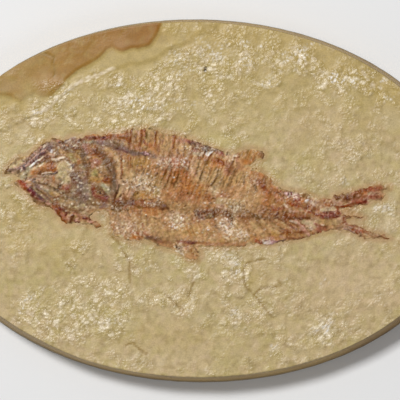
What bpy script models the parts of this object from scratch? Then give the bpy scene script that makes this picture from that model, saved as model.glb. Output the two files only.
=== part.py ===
"""A fossil fish set in the face of an oval slab of pale limestone.

Metres, +Z up. The origin is the centre of the slab's flat base. The slab's long axis is +X, and the fish
lies along it with its snout towards -X and its back towards +Y.

The slab is one sawn oval: a sloping wall all round, a broken lower edge, and a hand-worked face with low
lumps, a raised patch of the bed above at one end, two ledges and two shallow cracks. The fish is one thin
plate of fossil bone that lies in a pocket of its own outline. Its face has the skull's bones, the ribs, the
backbone and the tail's two lobes in relief.

Places on the face are written as points of the photograph, in its own pixels, and on_face() turns them into
metres. At the height of the face, the slab's length spans SLAB_LENGTH_PX pixels and leans by LEAN_DEG.
"""

import math

import bmesh
import bpy
import numpy as np

# Driving dimensions.
SLAB_LENGTH = 0.152
SLAB_WIDTH = 0.102
SLAB_THICKNESS = 0.0095
FISH_THICKNESS = 0.0016
FIT_GAP = 0.0003

# How the photograph's pixels lie on the slab's face, which it shows a little from the right and from below.
SLAB_LENGTH_PX = 544.4
CENTRE_PX = (194.6, 198.0)
LEAN_DEG = 1.3
PIXEL = SLAB_LENGTH / SLAB_LENGTH_PX

# The wall, from the face's rim down to the base: how far each ring lies inside the widest outline, and its
# height as a share of the slab's thickness.
WALL_RINGS = (
    (0.0016, 0.93),
    (0.0005, 0.16),
    (0.0000, 0.06),
    (0.0003, 0.00),
)
RIM_INSET = 0.0019

# The face's mesh, in cells along and across the slab.
FACE_CELLS_X = 42
FACE_CELLS_Y = 28

# The worked face: lumps of two sizes, as (size, height, seed).
LUMPS = (
    (0.0210, 0.00034, 11),
    (0.0085, 0.00022, 23),
)

# What is left of the bed above, which the preparer didn't remove.
UPPER_BED_EDGE = (
    (-20, 93), (9, 95), (20, 99), (30, 92), (45, 96), (55, 89), (66, 78), (78, 67), (94, 60),
    (103, 50), (110, 42), (120, 46), (138, 45), (150, 40), (158, 30), (162, 10), (60, 0), (-20, 60),
)
UPPER_BED_RISE = 0.00050
UPPER_BED_SLOPE = 0.0034

# A ledge below the upper bed, and a second one at the tail's end of the slab.
LEDGE_EDGE = (
    (-20, 135), (30, 118), (47, 104), (58, 92), (72, 80), (90, 72), (110, 67), (150, 60), (210, 30),
    (240, 0), (60, 0), (-20, 60),
)
LEDGE_RISE = 0.00025
LEDGE_SLOPE = 0.0048
TAIL_LEDGE_EDGE = ((400, 94), (379, 97), (375, 112), (379, 130), (390, 150), (440, 170), (480, 100))
TAIL_LEDGE_RISE = 0.00020

# Shallow cracks in the face, as lines down their middles.
CRACKS = (
    ((110, 236), (119, 245), (126, 255), (130, 266), (135, 280)),
    ((264, 259), (253, 260), (246, 265), (244, 276), (248, 288), (256, 297), (264, 305), (271, 317)),
    ((255, 294), (261, 288), (269, 287), (282, 286)),
)
CRACK_DEPTH = 0.00030
CRACK_HALF_WIDTH = 0.0026

# The fish's outline, clockwise in the photograph, from the snout along the back.
BACK_EDGE = (
    (4, 173), (8, 166), (13, 161), (19, 156.5), (30, 150), (38, 144), (45, 141), (50, 137.5), (57, 138),
    (64, 137.5), (72, 134.5), (80, 136), (90, 135), (100, 133.5), (112, 132.5), (126, 129.5), (140, 128),
    (152, 127.5), (160, 130), (174, 131.5), (190, 136), (205, 143), (225, 150.5), (236, 151),
)
DORSAL_FIN_EDGE = ((246, 147.5), (258, 148.5), (265, 151.5), (263, 160.5), (250, 165.5))
BACK_TO_TAIL_EDGE = (
    (260, 169), (269, 175), (276, 183), (284, 188), (298, 192), (312, 195), (322, 199), (334, 198),
)
UPPER_LOBE_EDGE = (
    (336, 195), (350, 190.5), (364, 186.5), (379, 184.5), (390, 187), (383, 191), (384, 198), (371, 200),
    (366, 204), (350, 207), (342, 209),
)
MIDDLE_RAY_EDGE = ((342, 214), (352, 214.5), (364, 218), (352, 220.5), (346, 221.5))
LOWER_LOBE_EDGE = ((358, 226), (374, 232), (388, 239), (372, 239.5), (361, 237), (348, 230.5), (337, 228.5))
TAIL_TO_FIN_EDGE = (
    (330, 230), (316, 234.5), (303, 239), (285, 241.5), (268, 245.5), (250, 246), (235, 248), (214, 247),
    (200, 244.5),
)
PELVIC_FIN_EDGE = ((199, 259.5), (189, 259), (176, 250.5), (164, 247))
BELLY_EDGE = (
    (148, 241.5), (134, 243.5), (121, 239.5), (112, 235.5), (110, 226), (108, 216), (104, 213), (97, 214),
)
THROAT_EDGE = ((93, 217), (99, 221), (102, 226), (97, 228), (86, 223), (76, 223.5), (68, 225.5), (61, 220.5))
LOWER_JAW_EDGE = ((52, 208.5), (44, 207), (31, 201), (22, 192), (11, 184), (19, 179), (13, 175))
FISH_OUTLINE = (
    BACK_EDGE + DORSAL_FIN_EDGE + BACK_TO_TAIL_EDGE + UPPER_LOBE_EDGE + MIDDLE_RAY_EDGE + LOWER_LOBE_EDGE
    + TAIL_TO_FIN_EDGE + PELVIC_FIN_EDGE + BELLY_EDGE + THROAT_EDGE + LOWER_JAW_EDGE
)

# The fish's mesh. Its columns lean with the ribs, and every second one is a rib's crest.
RIB_PITCH = 0.0019
RIB_LEAN = 0.24
COLUMNS_PER_RIB = 2
ROW_PITCH = 0.00125

# Relief of the fish's face.
EDGE_STAND = 0.00020
BODY_SWELL = 0.00045
SWELL_REACH = 0.0040

# Where the ribs and spines show as ridges, and how high they stand.
BACK_RIBS = (
    (124, 135), (160, 132), (200, 146), (240, 164), (264, 180), (264, 208), (200, 207), (150, 200),
    (122, 197),
)
BELLY_RIBS = ((122, 208), (150, 210), (200, 217), (250, 222), (248, 240), (205, 240), (150, 237), (122, 228))
TAIL_SPINES = ((268, 186), (300, 198), (322, 207), (322, 226), (300, 234), (262, 238), (264, 200))
RIBBED_AREAS = (
    (BACK_RIBS, 0.00032),
    (BELLY_RIBS, 0.00020),
    (TAIL_SPINES, 0.00022),
)

# Bones that stand up as bars, each a line with its half width and its height.
BONES = (
    # the snout's roof, and the thin bone in front of it
    (((9, 171), (22, 164), (36, 155), (46, 148), (55, 145)), 0.0016, 0.00050),
    (((5, 172), (11, 164), (18, 158)), 0.0008, 0.00030),
    # the skull's roof
    (((56, 141), (68, 142), (80, 139), (95, 137), (112, 136)), 0.0014, 0.00040),
    # the bone that runs from the skull's roof into the back
    (((97, 143), (112, 146), (126, 150), (140, 154), (155, 156)), 0.0013, 0.00035),
    # the lower jaw
    (((15, 183), (26, 191), (38, 199), (50, 205), (58, 213), (66, 221)), 0.0017, 0.00055),
    # the cheek and the front rim of the gill cover
    (((81, 150), (85, 162), (88, 178), (89, 192)), 0.0013, 0.00032),
    (((32, 174), (44, 169), (56, 169)), 0.0012, 0.00035),
    (((88, 180), (104, 182)), 0.0013, 0.00030),
    # the gill cover's hind rim, with the shoulder bone behind it
    (((96, 152), (106, 158), (111, 170), (113, 184), (115, 196), (109, 203)), 0.0016, 0.00055),
    # the throat
    (((66, 213), (78, 218), (90, 219), (99, 225)), 0.0012, 0.00030),
    # the backbone
    (((118, 203), (150, 205), (175, 209), (205, 213), (240, 216), (280, 218), (318, 217)), 0.0015, 0.00055),
    # the tail's root and its two lobes
    (((318, 216), (330, 215), (340, 212)), 0.0014, 0.00045),
    (((336, 203), (350, 199), (366, 194), (382, 190)), 0.0014, 0.00035),
    (((336, 225), (348, 227), (362, 232), (380, 237)), 0.0010, 0.00030),
)

# Colours and finishes.
STONE_COLOUR = (0.49, 0.38, 0.20, 1.0)
STONE_ROUGHNESS = 0.55
BONE_COLOUR = (0.30, 0.14, 0.07, 1.0)
BONE_ROUGHNESS = 0.40


def on_face(points):
    """Points of the photograph as an array of (x, y) in metres."""
    p = np.array(points, float)
    right = p[:, 0] - CENTRE_PX[0]
    up = CENTRE_PX[1] - p[:, 1]
    lean = math.radians(LEAN_DEG)
    x = right * math.cos(lean) - up * math.sin(lean)
    y = right * math.sin(lean) + up * math.cos(lean)
    return np.stack([x, y], axis=1) * PIXEL


def smooth_step(t):
    t = np.clip(t, 0.0, 1.0)
    return t * t * (3 - 2 * t)


def distance_to_line(x, y, line, closed=False):
    """How far each (x, y) lies from a line through the given points."""
    ends = np.roll(line, -1, axis=0) if closed else line[1:]
    starts = line if closed else line[:-1]
    nearest = np.full(np.shape(x), np.inf)
    for (ax, ay), (bx, by) in zip(starts, ends):
        ux, uy = bx - ax, by - ay
        t = np.clip(((x - ax) * ux + (y - ay) * uy) / (ux * ux + uy * uy), 0.0, 1.0)
        nearest = np.minimum(nearest, np.hypot(x - ax - t * ux, y - ay - t * uy))
    return nearest


def inside(x, y, outline):
    """True where (x, y) lies inside a closed outline."""
    found = np.zeros(np.shape(x), bool)
    for (ax, ay), (bx, by) in zip(outline, np.roll(outline, -1, axis=0)):
        if ay != by:
            crosses = (ay > y) != (by > y)
            found ^= crosses & (x < (bx - ax) * (y - ay) / (by - ay) + ax)
    return found


def depth_inside(x, y, outline):
    """Distance from a closed outline, positive inside it."""
    distance = distance_to_line(x, y, outline, closed=True)
    return np.where(inside(x, y, outline), distance, -distance)


def lumps(x, y, size, seed):
    """Smooth noise from about -1 to 1 whose lumps are about that size."""
    table = np.random.RandomState(seed).uniform(-1, 1, (64, 64))
    u, v = x / size, y / size
    i, j = np.floor(u).astype(int), np.floor(v).astype(int)
    s, t = smooth_step(u - i), smooth_step(v - j)

    def corner(di, dj):
        return table[(i + di) % 64, (j + dj) % 64]

    low = corner(0, 0) * (1 - s) + corner(1, 0) * s
    high = corner(0, 1) * (1 - s) + corner(1, 1) * s
    return low * (1 - t) + high * t


def face_height(x, y):
    """Height of the worked limestone face above the base."""
    z = np.full(np.shape(x), SLAB_THICKNESS)
    for size, height, seed in LUMPS:
        z += height * lumps(x, y, size, seed)
    for edge, rise, slope in (
        (UPPER_BED_EDGE, UPPER_BED_RISE, UPPER_BED_SLOPE),
        (LEDGE_EDGE, LEDGE_RISE, LEDGE_SLOPE),
        (TAIL_LEDGE_EDGE, TAIL_LEDGE_RISE, LEDGE_SLOPE),
    ):
        z += rise * smooth_step(0.5 + depth_inside(x, y, on_face(edge)) / slope)
    for crack in CRACKS:
        away = distance_to_line(x, y, on_face(crack))
        z -= CRACK_DEPTH * smooth_step(1 - away / CRACK_HALF_WIDTH)
    return z


def bar(away, half_width, height):
    """A rounded bar's height at a distance from its middle line."""
    return height * np.sqrt(np.clip(1 - (away / half_width) ** 2, 0.0, 1.0))


def fish_height(x, y):
    """Height of the fish's face above the base."""
    outline = on_face(FISH_OUTLINE)
    depth = np.maximum(depth_inside(x, y, outline), 0.0)
    z = face_height(x, y) + EDGE_STAND + BODY_SWELL * (1 - np.exp(-depth / SWELL_REACH))
    crest = 0.5 + 0.5 * np.cos(2 * math.pi * (x - RIB_LEAN * y) / RIB_PITCH)
    for area, height in RIBBED_AREAS:
        z += height * crest * smooth_step(0.5 + depth_inside(x, y, on_face(area)) / RIB_PITCH)
    raised = np.zeros(np.shape(x))
    for line, half_width, height in BONES:
        raised = np.maximum(raised, bar(distance_to_line(x, y, on_face(line)), half_width, height))
    return z + raised


def add_object(name, mesh):
    obj = bpy.data.objects.new(name, mesh)
    bpy.context.scene.collection.objects.link(obj)
    return obj


def add_mesh(name, bm):
    """A mesh from a bmesh, with its faces turned outwards."""
    bmesh.ops.recalc_face_normals(bm, faces=bm.faces)
    mesh = bpy.data.meshes.new(name)
    bm.to_mesh(mesh)
    bm.free()
    return mesh


def material(name, colour, roughness):
    made = bpy.data.materials.new(name)
    made.use_nodes = True
    shader = made.node_tree.nodes["Principled BSDF"]
    shader.inputs["Base Color"].default_value = colour
    shader.inputs["Roughness"].default_value = roughness
    shader.inputs["Metallic"].default_value = 0.0
    return made


def grid_loop(columns, rows):
    """The border of a grid of points, anticlockwise, as (column, row)."""
    loop = [(i, 0) for i in range(columns)]
    loop += [(columns, j) for j in range(rows)]
    loop += [(i, rows) for i in range(columns, 0, -1)]
    loop += [(0, j) for j in range(rows, 0, -1)]
    return loop


def add_grid(bm, x, y, z, border):
    """A sheet of square faces through a grid of points, and the vertices along its border."""
    columns, rows = x.shape
    face = [[bm.verts.new((x[i, j], y[i, j], z[i, j])) for j in range(rows)] for i in range(columns)]
    for i in range(columns - 1):
        for j in range(rows - 1):
            bm.faces.new((face[i][j], face[i + 1][j], face[i + 1][j + 1], face[i][j + 1]))
    return [face[i][j] for i, j in border]


def add_band(bm, upper, lower):
    """A band of faces between two closed rings of vertices."""
    for k in range(len(upper)):
        n = (k + 1) % len(upper)
        bm.faces.new((upper[k], lower[k], lower[n], upper[n]))


def slab_mesh():
    """The oval slab: a grid squeezed into the face's ellipse, rings down the wall, and a flat base."""
    bm = bmesh.new()
    half_x, half_y = SLAB_LENGTH / 2, SLAB_WIDTH / 2
    u, v = np.meshgrid(
        np.linspace(-1, 1, FACE_CELLS_X + 1), np.linspace(-1, 1, FACE_CELLS_Y + 1), indexing="ij"
    )
    x = (half_x - RIM_INSET) * u * np.sqrt(1 - v * v / 2)
    y = (half_y - RIM_INSET) * v * np.sqrt(1 - u * u / 2)
    z = face_height(x, y)
    border = grid_loop(FACE_CELLS_X, FACE_CELLS_Y)
    ring = add_grid(bm, x, y, z, border)
    for inset, share in WALL_RINGS:
        below = []
        for i, j in border:
            across = x[i, j] / (half_x - RIM_INSET) * (half_x - inset)
            along = y[i, j] / (half_y - RIM_INSET) * (half_y - inset)
            below.append(bm.verts.new((across, along, SLAB_THICKNESS * share)))
        add_band(bm, ring, below)
        ring = below
    bm.faces.new(ring)
    return add_mesh("stone_slab", bm)


def prism_mesh(name, outline, low, high):
    """A closed prism with a flat outline of (x, y) points."""
    bm = bmesh.new()
    base = bm.faces.new([bm.verts.new((px, py, low)) for px, py in outline])
    raised = bmesh.ops.extrude_face_region(bm, geom=[base])["geom"]
    for item in raised:
        if isinstance(item, bmesh.types.BMVert):
            item.co.z = high
    return add_mesh(name, bm)


def grown(outline, distance):
    """A closed outline, clockwise, moved outwards by a distance, with its sharp corners cut short."""
    ahead = np.roll(outline, -1, axis=0) - outline
    ahead /= np.linalg.norm(ahead, axis=1)[:, None]
    normals = np.stack([-ahead[:, 1], ahead[:, 0]], axis=1)
    corner = normals + np.roll(normals, 1, axis=0)
    corner /= np.maximum(np.linalg.norm(corner, axis=1)[:, None], 1e-6)
    reach = 1 / np.maximum((corner * normals).sum(axis=1), 0.5)
    return outline + distance * reach[:, None] * corner


def relief_mesh(low, high_at):
    """A block over the fish's whole box, with its relief on top, in columns that lean with the ribs."""
    outline = on_face(FISH_OUTLINE)
    bottom, top = outline[:, 1].min() - ROW_PITCH, outline[:, 1].max() + ROW_PITCH
    spill = RIB_LEAN * max(-bottom, top) + RIB_PITCH
    column_pitch = RIB_PITCH / COLUMNS_PER_RIB
    first = math.floor((outline[:, 0].min() - spill) / column_pitch)
    last = math.ceil((outline[:, 0].max() + spill) / column_pitch)
    rows = math.ceil((top - bottom) / ROW_PITCH)
    crest, y = np.meshgrid(
        np.arange(first, last + 1) * column_pitch, bottom + ROW_PITCH * np.arange(rows + 1), indexing="ij"
    )
    x = crest + RIB_LEAN * y
    z = high_at(x, y)
    bm = bmesh.new()
    border = grid_loop(last - first, rows)
    ring = add_grid(bm, x, y, z, border)
    below = [bm.verts.new((x[i, j], y[i, j], low)) for i, j in border]
    add_band(bm, ring, below)
    bm.faces.new(below)
    return add_mesh("fish", bm)


def helper(name, mesh):
    """A cutter or a guide, which isn't part of the object."""
    obj = add_object(name, mesh)
    obj.hide_render = True
    obj.display_type = "WIRE"
    return obj


def boolean(obj, operation, other):
    modifier = obj.modifiers.new(operation.lower(), "BOOLEAN")
    modifier.operation = operation
    modifier.object = other
    modifier.solver = "EXACT"


def build_slab(pocket_floor):
    slab = add_object("stone_slab", slab_mesh())
    mouth = grown(on_face(FISH_OUTLINE), FIT_GAP)
    pocket = helper("fish_pocket", prism_mesh("fish_pocket", mouth, pocket_floor, 2 * SLAB_THICKNESS))
    boolean(slab, "DIFFERENCE", pocket)
    slab.data.materials.append(material("limestone", STONE_COLOUR, STONE_ROUGHNESS))


def build_fish(pocket_floor):
    fish = add_object("fossil_fish", relief_mesh(pocket_floor + FIT_GAP, fish_height))
    blank = helper("fish_blank", prism_mesh("fish_blank", on_face(FISH_OUTLINE), 0.0, 2 * SLAB_THICKNESS))
    boolean(fish, "INTERSECT", blank)
    fish.data.materials.append(material("fossil_bone", BONE_COLOUR, BONE_ROUGHNESS))


def main():
    for obj in list(bpy.data.objects):
        bpy.data.objects.remove(obj)
    pocket_floor = SLAB_THICKNESS - FISH_THICKNESS - FIT_GAP
    build_slab(pocket_floor)
    build_fish(pocket_floor)


main()
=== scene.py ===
"""The looks of a fossil fish in an oval slab of pale limestone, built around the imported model.

Two pieces stand for the two CAD nodes. The slab is one closed mesh: a worked, pitted face, a sawn wall and
a sawn base. The fish is one closed plate whose relief rises through the slab's face, so its edge is ragged
where bone thins out into stone. Colour and height are worked out together, point by point, from noise and
from marks.

A mark is a bone, a stain or a patch of stone as it lies in the photograph, in the photograph's pixels.
in_photo() gives the pixel in which a point of the face shows, and on_face() goes the other way.
"""

import math

import bpy
import numpy as np
from mathutils import Matrix, Vector


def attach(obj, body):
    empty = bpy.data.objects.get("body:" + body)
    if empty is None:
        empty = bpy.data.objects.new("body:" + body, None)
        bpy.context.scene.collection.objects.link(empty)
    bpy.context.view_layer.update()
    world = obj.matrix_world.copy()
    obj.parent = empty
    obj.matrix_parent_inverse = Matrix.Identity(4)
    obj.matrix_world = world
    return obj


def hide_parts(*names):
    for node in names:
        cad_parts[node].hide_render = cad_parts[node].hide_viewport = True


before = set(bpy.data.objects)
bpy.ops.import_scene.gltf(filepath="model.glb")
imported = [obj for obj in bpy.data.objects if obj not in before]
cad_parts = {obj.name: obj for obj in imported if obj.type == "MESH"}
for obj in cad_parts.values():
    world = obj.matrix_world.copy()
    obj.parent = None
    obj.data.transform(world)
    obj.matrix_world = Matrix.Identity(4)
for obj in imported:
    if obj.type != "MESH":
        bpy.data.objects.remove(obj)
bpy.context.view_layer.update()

MM = 0.001

# The slab, as the CAD has it, and the height of the fish's underside.
SLAB_LENGTH = 0.152
SLAB_WIDTH = 0.102
SLAB_THICKNESS = 0.0095
FISH_FLOOR = 0.0079

# How the photograph's pixels lie on the face.
SLAB_LENGTH_PX = 544.4
CENTRE_PX = (194.6, 198.0)
LEAN_DEG = 1.3
PIXEL = SLAB_LENGTH / SLAB_LENGTH_PX

# The camera, which looks down from a little right of the slab's middle and a little below it. At its aim,
# the middle of the base shows at BASE_CENTRE_PX, and a pixel is BASE_PIXEL metres wide.
CAMERA_DISTANCE = 1.3
CAMERA_RIGHT_DEG = 4.8
CAMERA_BELOW_DEG = 4.1
FRAME_PX = 400
BASE_CENTRE_PX = (197.4, 200.4)
BASE_PIXEL = 0.00028027
SENSOR_MM = 36.0

# Colours in sRGB.
SRGB = {
    "stone": (189, 168, 124), "stone_smooth": (178, 154, 96), "stone_pale": (207, 189, 151),
    "stone_olive": (176, 160, 102), "stone_pink": (198, 172, 138), "stone_dark": (150, 128, 84),
    "crack": (140, 112, 60), "bed": (150, 108, 48), "bed_pale": (166, 136, 80), "wall": (190, 157, 92),
    "wall_edge": (152, 136, 108), "bone": (172, 127, 86), "tan": (186, 147, 104), "sand": (188, 156, 110),
    "orange": (172, 104, 48), "deep_orange": (160, 86, 30), "ochre": (172, 133, 76), "rust": (126, 68, 34),
    "brown": (98, 60, 38), "red": (146, 60, 40), "dark_red": (90, 36, 30), "plum": (110, 50, 58),
    "rust_pink": (154, 98, 78), "umber": (104, 74, 44), "violet": (98, 74, 76), "mauve": (138, 110, 104),
    "sage": (166, 158, 126), "slate": (110, 92, 78), "grey_brown": (122, 98, 74), "olive": (96, 66, 28),
    "dark": (58, 38, 26), "pink": (194, 150, 128), "lilac": (218, 176, 176), "cream": (234, 216, 190),
    "white": (255, 251, 246), "glint": (252, 238, 212),
}


def linear(srgb):
    c = np.array(srgb, float) / 255
    return np.where(c <= 0.04045, c / 12.92, ((c + 0.055) / 1.055) ** 2.4)


COLOURS = {name: linear(srgb) for name, srgb in SRGB.items()}

# No painted colour is darker than this, after the lacquer's shine is taken off.
DARKEST = 0.004

# The noise and the dots repeat after this many squares.
REPEAT = 64

# How far the sides of a mark waver, in pixels, and how much of a mark's rise the relief has.
WAVER = 0.5
RELIEF = 0.5


def smooth_step(t):
    """0 below 0, 1 above 1, and a smooth rise between them."""
    t = np.clip(t, 0.0, 1.0)
    return t * t * (3 - 2 * t)


def ramp(value, start, width):
    """A smooth rise from 0 at the start to 1 after the width. With a width below 0 it runs the other way."""
    return smooth_step((value - start) / width)


def oval(px, py, middle, radii, edge=1.4, width=1.0):
    """1 in the middle of an oval and 0 outside, with a soft edge."""
    return smooth_step((edge - np.hypot((px - middle[0]) / radii[0], (py - middle[1]) / radii[1])) / width)


def noise(x, y, size, seed):
    """Smooth noise from about -1 to 1 whose lumps are about that size."""
    table = np.random.RandomState(seed).uniform(-1, 1, (REPEAT, REPEAT))
    u, v = x / size, y / size
    i, j = np.floor(u).astype(int), np.floor(v).astype(int)
    s, t = smooth_step(u - i), smooth_step(v - j)

    def corner(di, dj):
        return table[(i + di) % REPEAT, (j + dj) % REPEAT]

    low = corner(0, 0) * (1 - s) + corner(1, 0) * s
    high = corner(0, 1) * (1 - s) + corner(1, 1) * s
    return low * (1 - t) + high * t


def turned_noise(x, y, size, seed):
    """The same noise on axes turned by 37 degrees, so its rows don't show."""
    return noise(0.8 * x - 0.6 * y, 0.6 * x + 0.8 * y, size, seed)


def dots(x, y, size, seed, share):
    """Round soft dots from 0 to 1, in that share of the squares of a grid of that size."""
    table = np.random.RandomState(seed).uniform(0, 1, (REPEAT, REPEAT, 4))
    i, j = np.floor(x / size).astype(int), np.floor(y / size).astype(int)
    found = np.zeros(np.shape(x))
    for di in (-1, 0, 1):
        for dj in (-1, 0, 1):
            aside, up, wide, drawn = np.moveaxis(table[(i + di) % REPEAT, (j + dj) % REPEAT], -1, 0)
            middle_x = (i + di + 0.1 + 0.8 * aside) * size
            middle_y = (j + dj + 0.1 + 0.8 * up) * size
            radius = (0.22 + 0.26 * wide) * size
            dot = smooth_step(1.35 - np.hypot(x - middle_x, y - middle_y) / radius)
            found = np.maximum(found, np.where(drawn < share, dot, 0))
    return found


def on_face(points):
    """Points of the photograph as an array of (x, y) in metres."""
    p = np.array(points, float)
    right = p[:, 0] - CENTRE_PX[0]
    up = CENTRE_PX[1] - p[:, 1]
    lean = math.radians(LEAN_DEG)
    x = right * math.cos(lean) - up * math.sin(lean)
    y = right * math.sin(lean) + up * math.cos(lean)
    return np.stack([x, y], axis=1) * PIXEL


def in_photo(x, y):
    """Points on the face as the photograph's pixels."""
    lean = math.radians(LEAN_DEG)
    right = (x * math.cos(lean) + y * math.sin(lean)) / PIXEL
    up = (-x * math.sin(lean) + y * math.cos(lean)) / PIXEL
    return right + CENTRE_PX[0], CENTRE_PX[1] - up


def distance_to_line(x, y, line, closed=False):
    """How far each (x, y) lies from a line through the given points."""
    line = np.array(line, float)
    ends = np.roll(line, -1, axis=0) if closed else line[1:]
    starts = line if closed else line[:-1]
    nearest = np.full(np.shape(x), np.inf)
    for (ax, ay), (bx, by) in zip(starts, ends):
        ux, uy = bx - ax, by - ay
        t = np.clip(((x - ax) * ux + (y - ay) * uy) / (ux * ux + uy * uy), 0.0, 1.0)
        nearest = np.minimum(nearest, np.hypot(x - ax - t * ux, y - ay - t * uy))
    return nearest


def depth_inside(x, y, outline):
    """Distance from a closed outline, positive inside it."""
    outline = np.array(outline, float)
    found = np.zeros(np.shape(x), bool)
    for (ax, ay), (bx, by) in zip(outline, np.roll(outline, -1, axis=0)):
        if ay != by:
            crosses = (ay > y) != (by > y)
            found ^= crosses & (x < (bx - ax) * (y - ay) / (by - ay) + ax)
    distance = distance_to_line(x, y, outline, closed=True)
    return np.where(found, distance, -distance)


class Surface:
    """Colour and height at points of a face, which marks are painted on."""

    def __init__(self, x, y, ground):
        self.x, self.y = x, y
        px, py = in_photo(x, y)
        self.px = px + WAVER * (noise(x, y, 0.9 * MM, 301) + 0.6 * noise(x, y, 0.4 * MM, 302))
        self.py = py + WAVER * (noise(x, y, 0.9 * MM, 303) + 0.6 * noise(x, y, 0.4 * MM, 304))
        self.rgb = np.tile(COLOURS[ground], (x.size, 1))
        self.rise = np.zeros(x.size)
        self.breaks = 1.0 + 0.25 * noise(x, y, 0.5 * MM, 305) + 0.25 * turned_noise(x, y, 1.2 * MM, 306)

    def tint(self, name, share):
        """Mixes a colour in by a share at each point."""
        self.rgb += np.clip(share, 0, 1)[:, None] * (COLOURS[name] - self.rgb)

    def cloud(self, name, share, lift, gain, size, seed, kind=noise):
        """Mixes a colour in where a noise is high: its lumps are size mm, and it is lifted after the gain."""
        self.tint(name, share * smooth_step(lift + gain * kind(self.x, self.y, size * MM, seed)))

    def near(self, points, reach):
        """The numbers of the surface's points in a box around the given points."""
        points = np.array(points, float)
        low, high = points.min(axis=0) - reach, points.max(axis=0) + reach
        in_columns = (self.px > low[0]) & (self.px < high[0])
        return np.nonzero(in_columns & (self.py > low[1]) & (self.py < high[1]))[0]

    def lay(self, at, share, name, rise=0.0):
        """Mixes a colour in at some of the points, and raises them by so many mm."""
        share = np.clip(share, 0, 1)
        self.rgb[at] += share[:, None] * (COLOURS[name] - self.rgb[at])
        self.rise[at] += RELIEF * rise * MM * share

    def stroke(self, name, share, half_width, line, rise=0.0):
        """A line with soft sides, through points given as x, y, x, y and so on, that rises by so many mm."""
        line = np.reshape(line, (-1, 2))
        at = self.near(line, half_width * 1.4 + 0.5)
        away = distance_to_line(self.px[at], self.py[at], line)
        self.lay(at, share * self.breaks[at] * smooth_step(1.35 - away / half_width), name, rise)

    def grains(self, name, share, half_width, rise, places):
        """Single grains of a colour, each half a pixel long."""
        for px, py in np.reshape(places, (-1, 2)):
            self.stroke(name, share, half_width, (px, py, px + 0.5, py), rise)

    def patch(self, name, share, middle, radii, lean=0):
        """A soft patch of a colour. lean turns its first radius up to the right, in degrees."""
        at = self.near([middle], max(radii) * 1.5)
        a = math.radians(lean)
        right, up = self.px[at] - middle[0], middle[1] - self.py[at]
        along = (right * math.cos(a) + up * math.sin(a)) / radii[0]
        across = (-right * math.sin(a) + up * math.cos(a)) / radii[1]
        self.lay(at, share * smooth_step(1.45 - np.hypot(along, across)), name)


# The upper bed is what is left of a layer above, along the upper left rim. It, a ledge below it and two
# small ledges by the left and the right rim stand a little higher than the rest of the face.
UPPER_BED_EDGE = (
    (-20, 94), (0, 94), (13, 98), (19, 101), (25, 96), (33, 93), (42, 97), (50, 96), (55, 91), (62, 84),
    (66, 79), (76, 70), (86, 64), (94, 60), (102, 54), (106, 49), (111, 46), (118, 50), (127, 50),
    (138, 47), (148, 45), (154, 38), (158, 30), (161, 21), (162, 5), (60, 0), (-20, 60),
)
LEDGE_EDGE = (
    (-20, 138), (10, 128), (33, 114), (43, 110), (51, 106), (57, 97), (69, 89), (76, 82), (89, 76),
    (105, 71), (125, 66), (150, 60), (180, 44), (210, 30), (240, 0), (60, 0), (-20, 60),
)
TAIL_LEDGE_EDGE = (
    (400, 92), (379, 96), (376, 104), (377, 112), (371, 130), (388, 150), (440, 170), (480, 100),
)
LEFT_LEDGE_EDGE = (
    (-30, 246), (0, 248), (4, 252), (6, 271), (8, 289), (10, 302), (10, 316), (6, 330), (-30, 340),
)

# The steps at those edges: height in mm, and the slope's width and the edge's raggedness in pixels.
STEPS = ((UPPER_BED_EDGE, 0.42, 6, 0.6), (LEDGE_EDGE, 0.25, 4, 1), (TAIL_LEDGE_EDGE, 0.18, 3, 1),
         (LEFT_LEDGE_EDGE, 0.12, 2, 0.3))
BED_COLOUR_SLOPE = 2

# A low ridge below the upper bed, fine cracks in the face, and a small hole that is only a painted dark
# spot of shade, as lines down their middles. Their half widths are in pixels.
RIDGE = (
    (30, 115), (38, 112), (45, 109), (52, 104), (57, 98), (63, 92), (70, 88), (76, 83), (88, 78), (104, 72),
    (112, 69),
)
RIDGE_HEIGHT = 0.16 * MM
RIDGE_HALF_WIDTH = 2.2
CRACKS = (
    ((110, 234), (119, 243), (125, 254), (130, 261), (129.5, 269), (131, 282)),
    ((265, 259), (255, 261), (247, 263), (244, 269), (244, 279), (247, 288), (255, 296), (264, 306),
        (273, 317)), ((255, 294), (261, 288), (270, 287), (282, 286), (279, 280)),
    ((127, 345), (134, 343), (140, 349), (148, 354)), ((166, 294), (179, 306), (184, 310)),
    ((189, 297), (192, 289), (194, 282)), ((43, 53), (53, 57.5), (52, 64), (54, 71), (53, 76)),
)
CRACK_DEPTH = 0.13 * MM
CRACK_HALF_WIDTH = 1.3
HOLE_SHADE = (204.3, 67.3, 203.8, 70.7)

# Lumps of the worked face: size in mm, height in mm, seed. Pebbles also say what share of places has one.
LUMPS = ((21, 0.34, 11), (8.5, 0.22, 23))
GRAIN = ((3.2, 0.125, 31), (1.7, 0.075, 37), (0.95, 0.03, 41))
PEBBLES = ((2.1, 0.085, 45, 0.6), (1.4, 0.06, 47, 0.7))

# How rough the face is by itself, and the most roughness that its height and its shine follow.
PLAIN_ROUGHNESS = 0.43
MOST_ROUGHNESS = 0.75

# The most roughness that the materials see.
MOST_PAINTED_ROUGHNESS = 0.8

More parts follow.
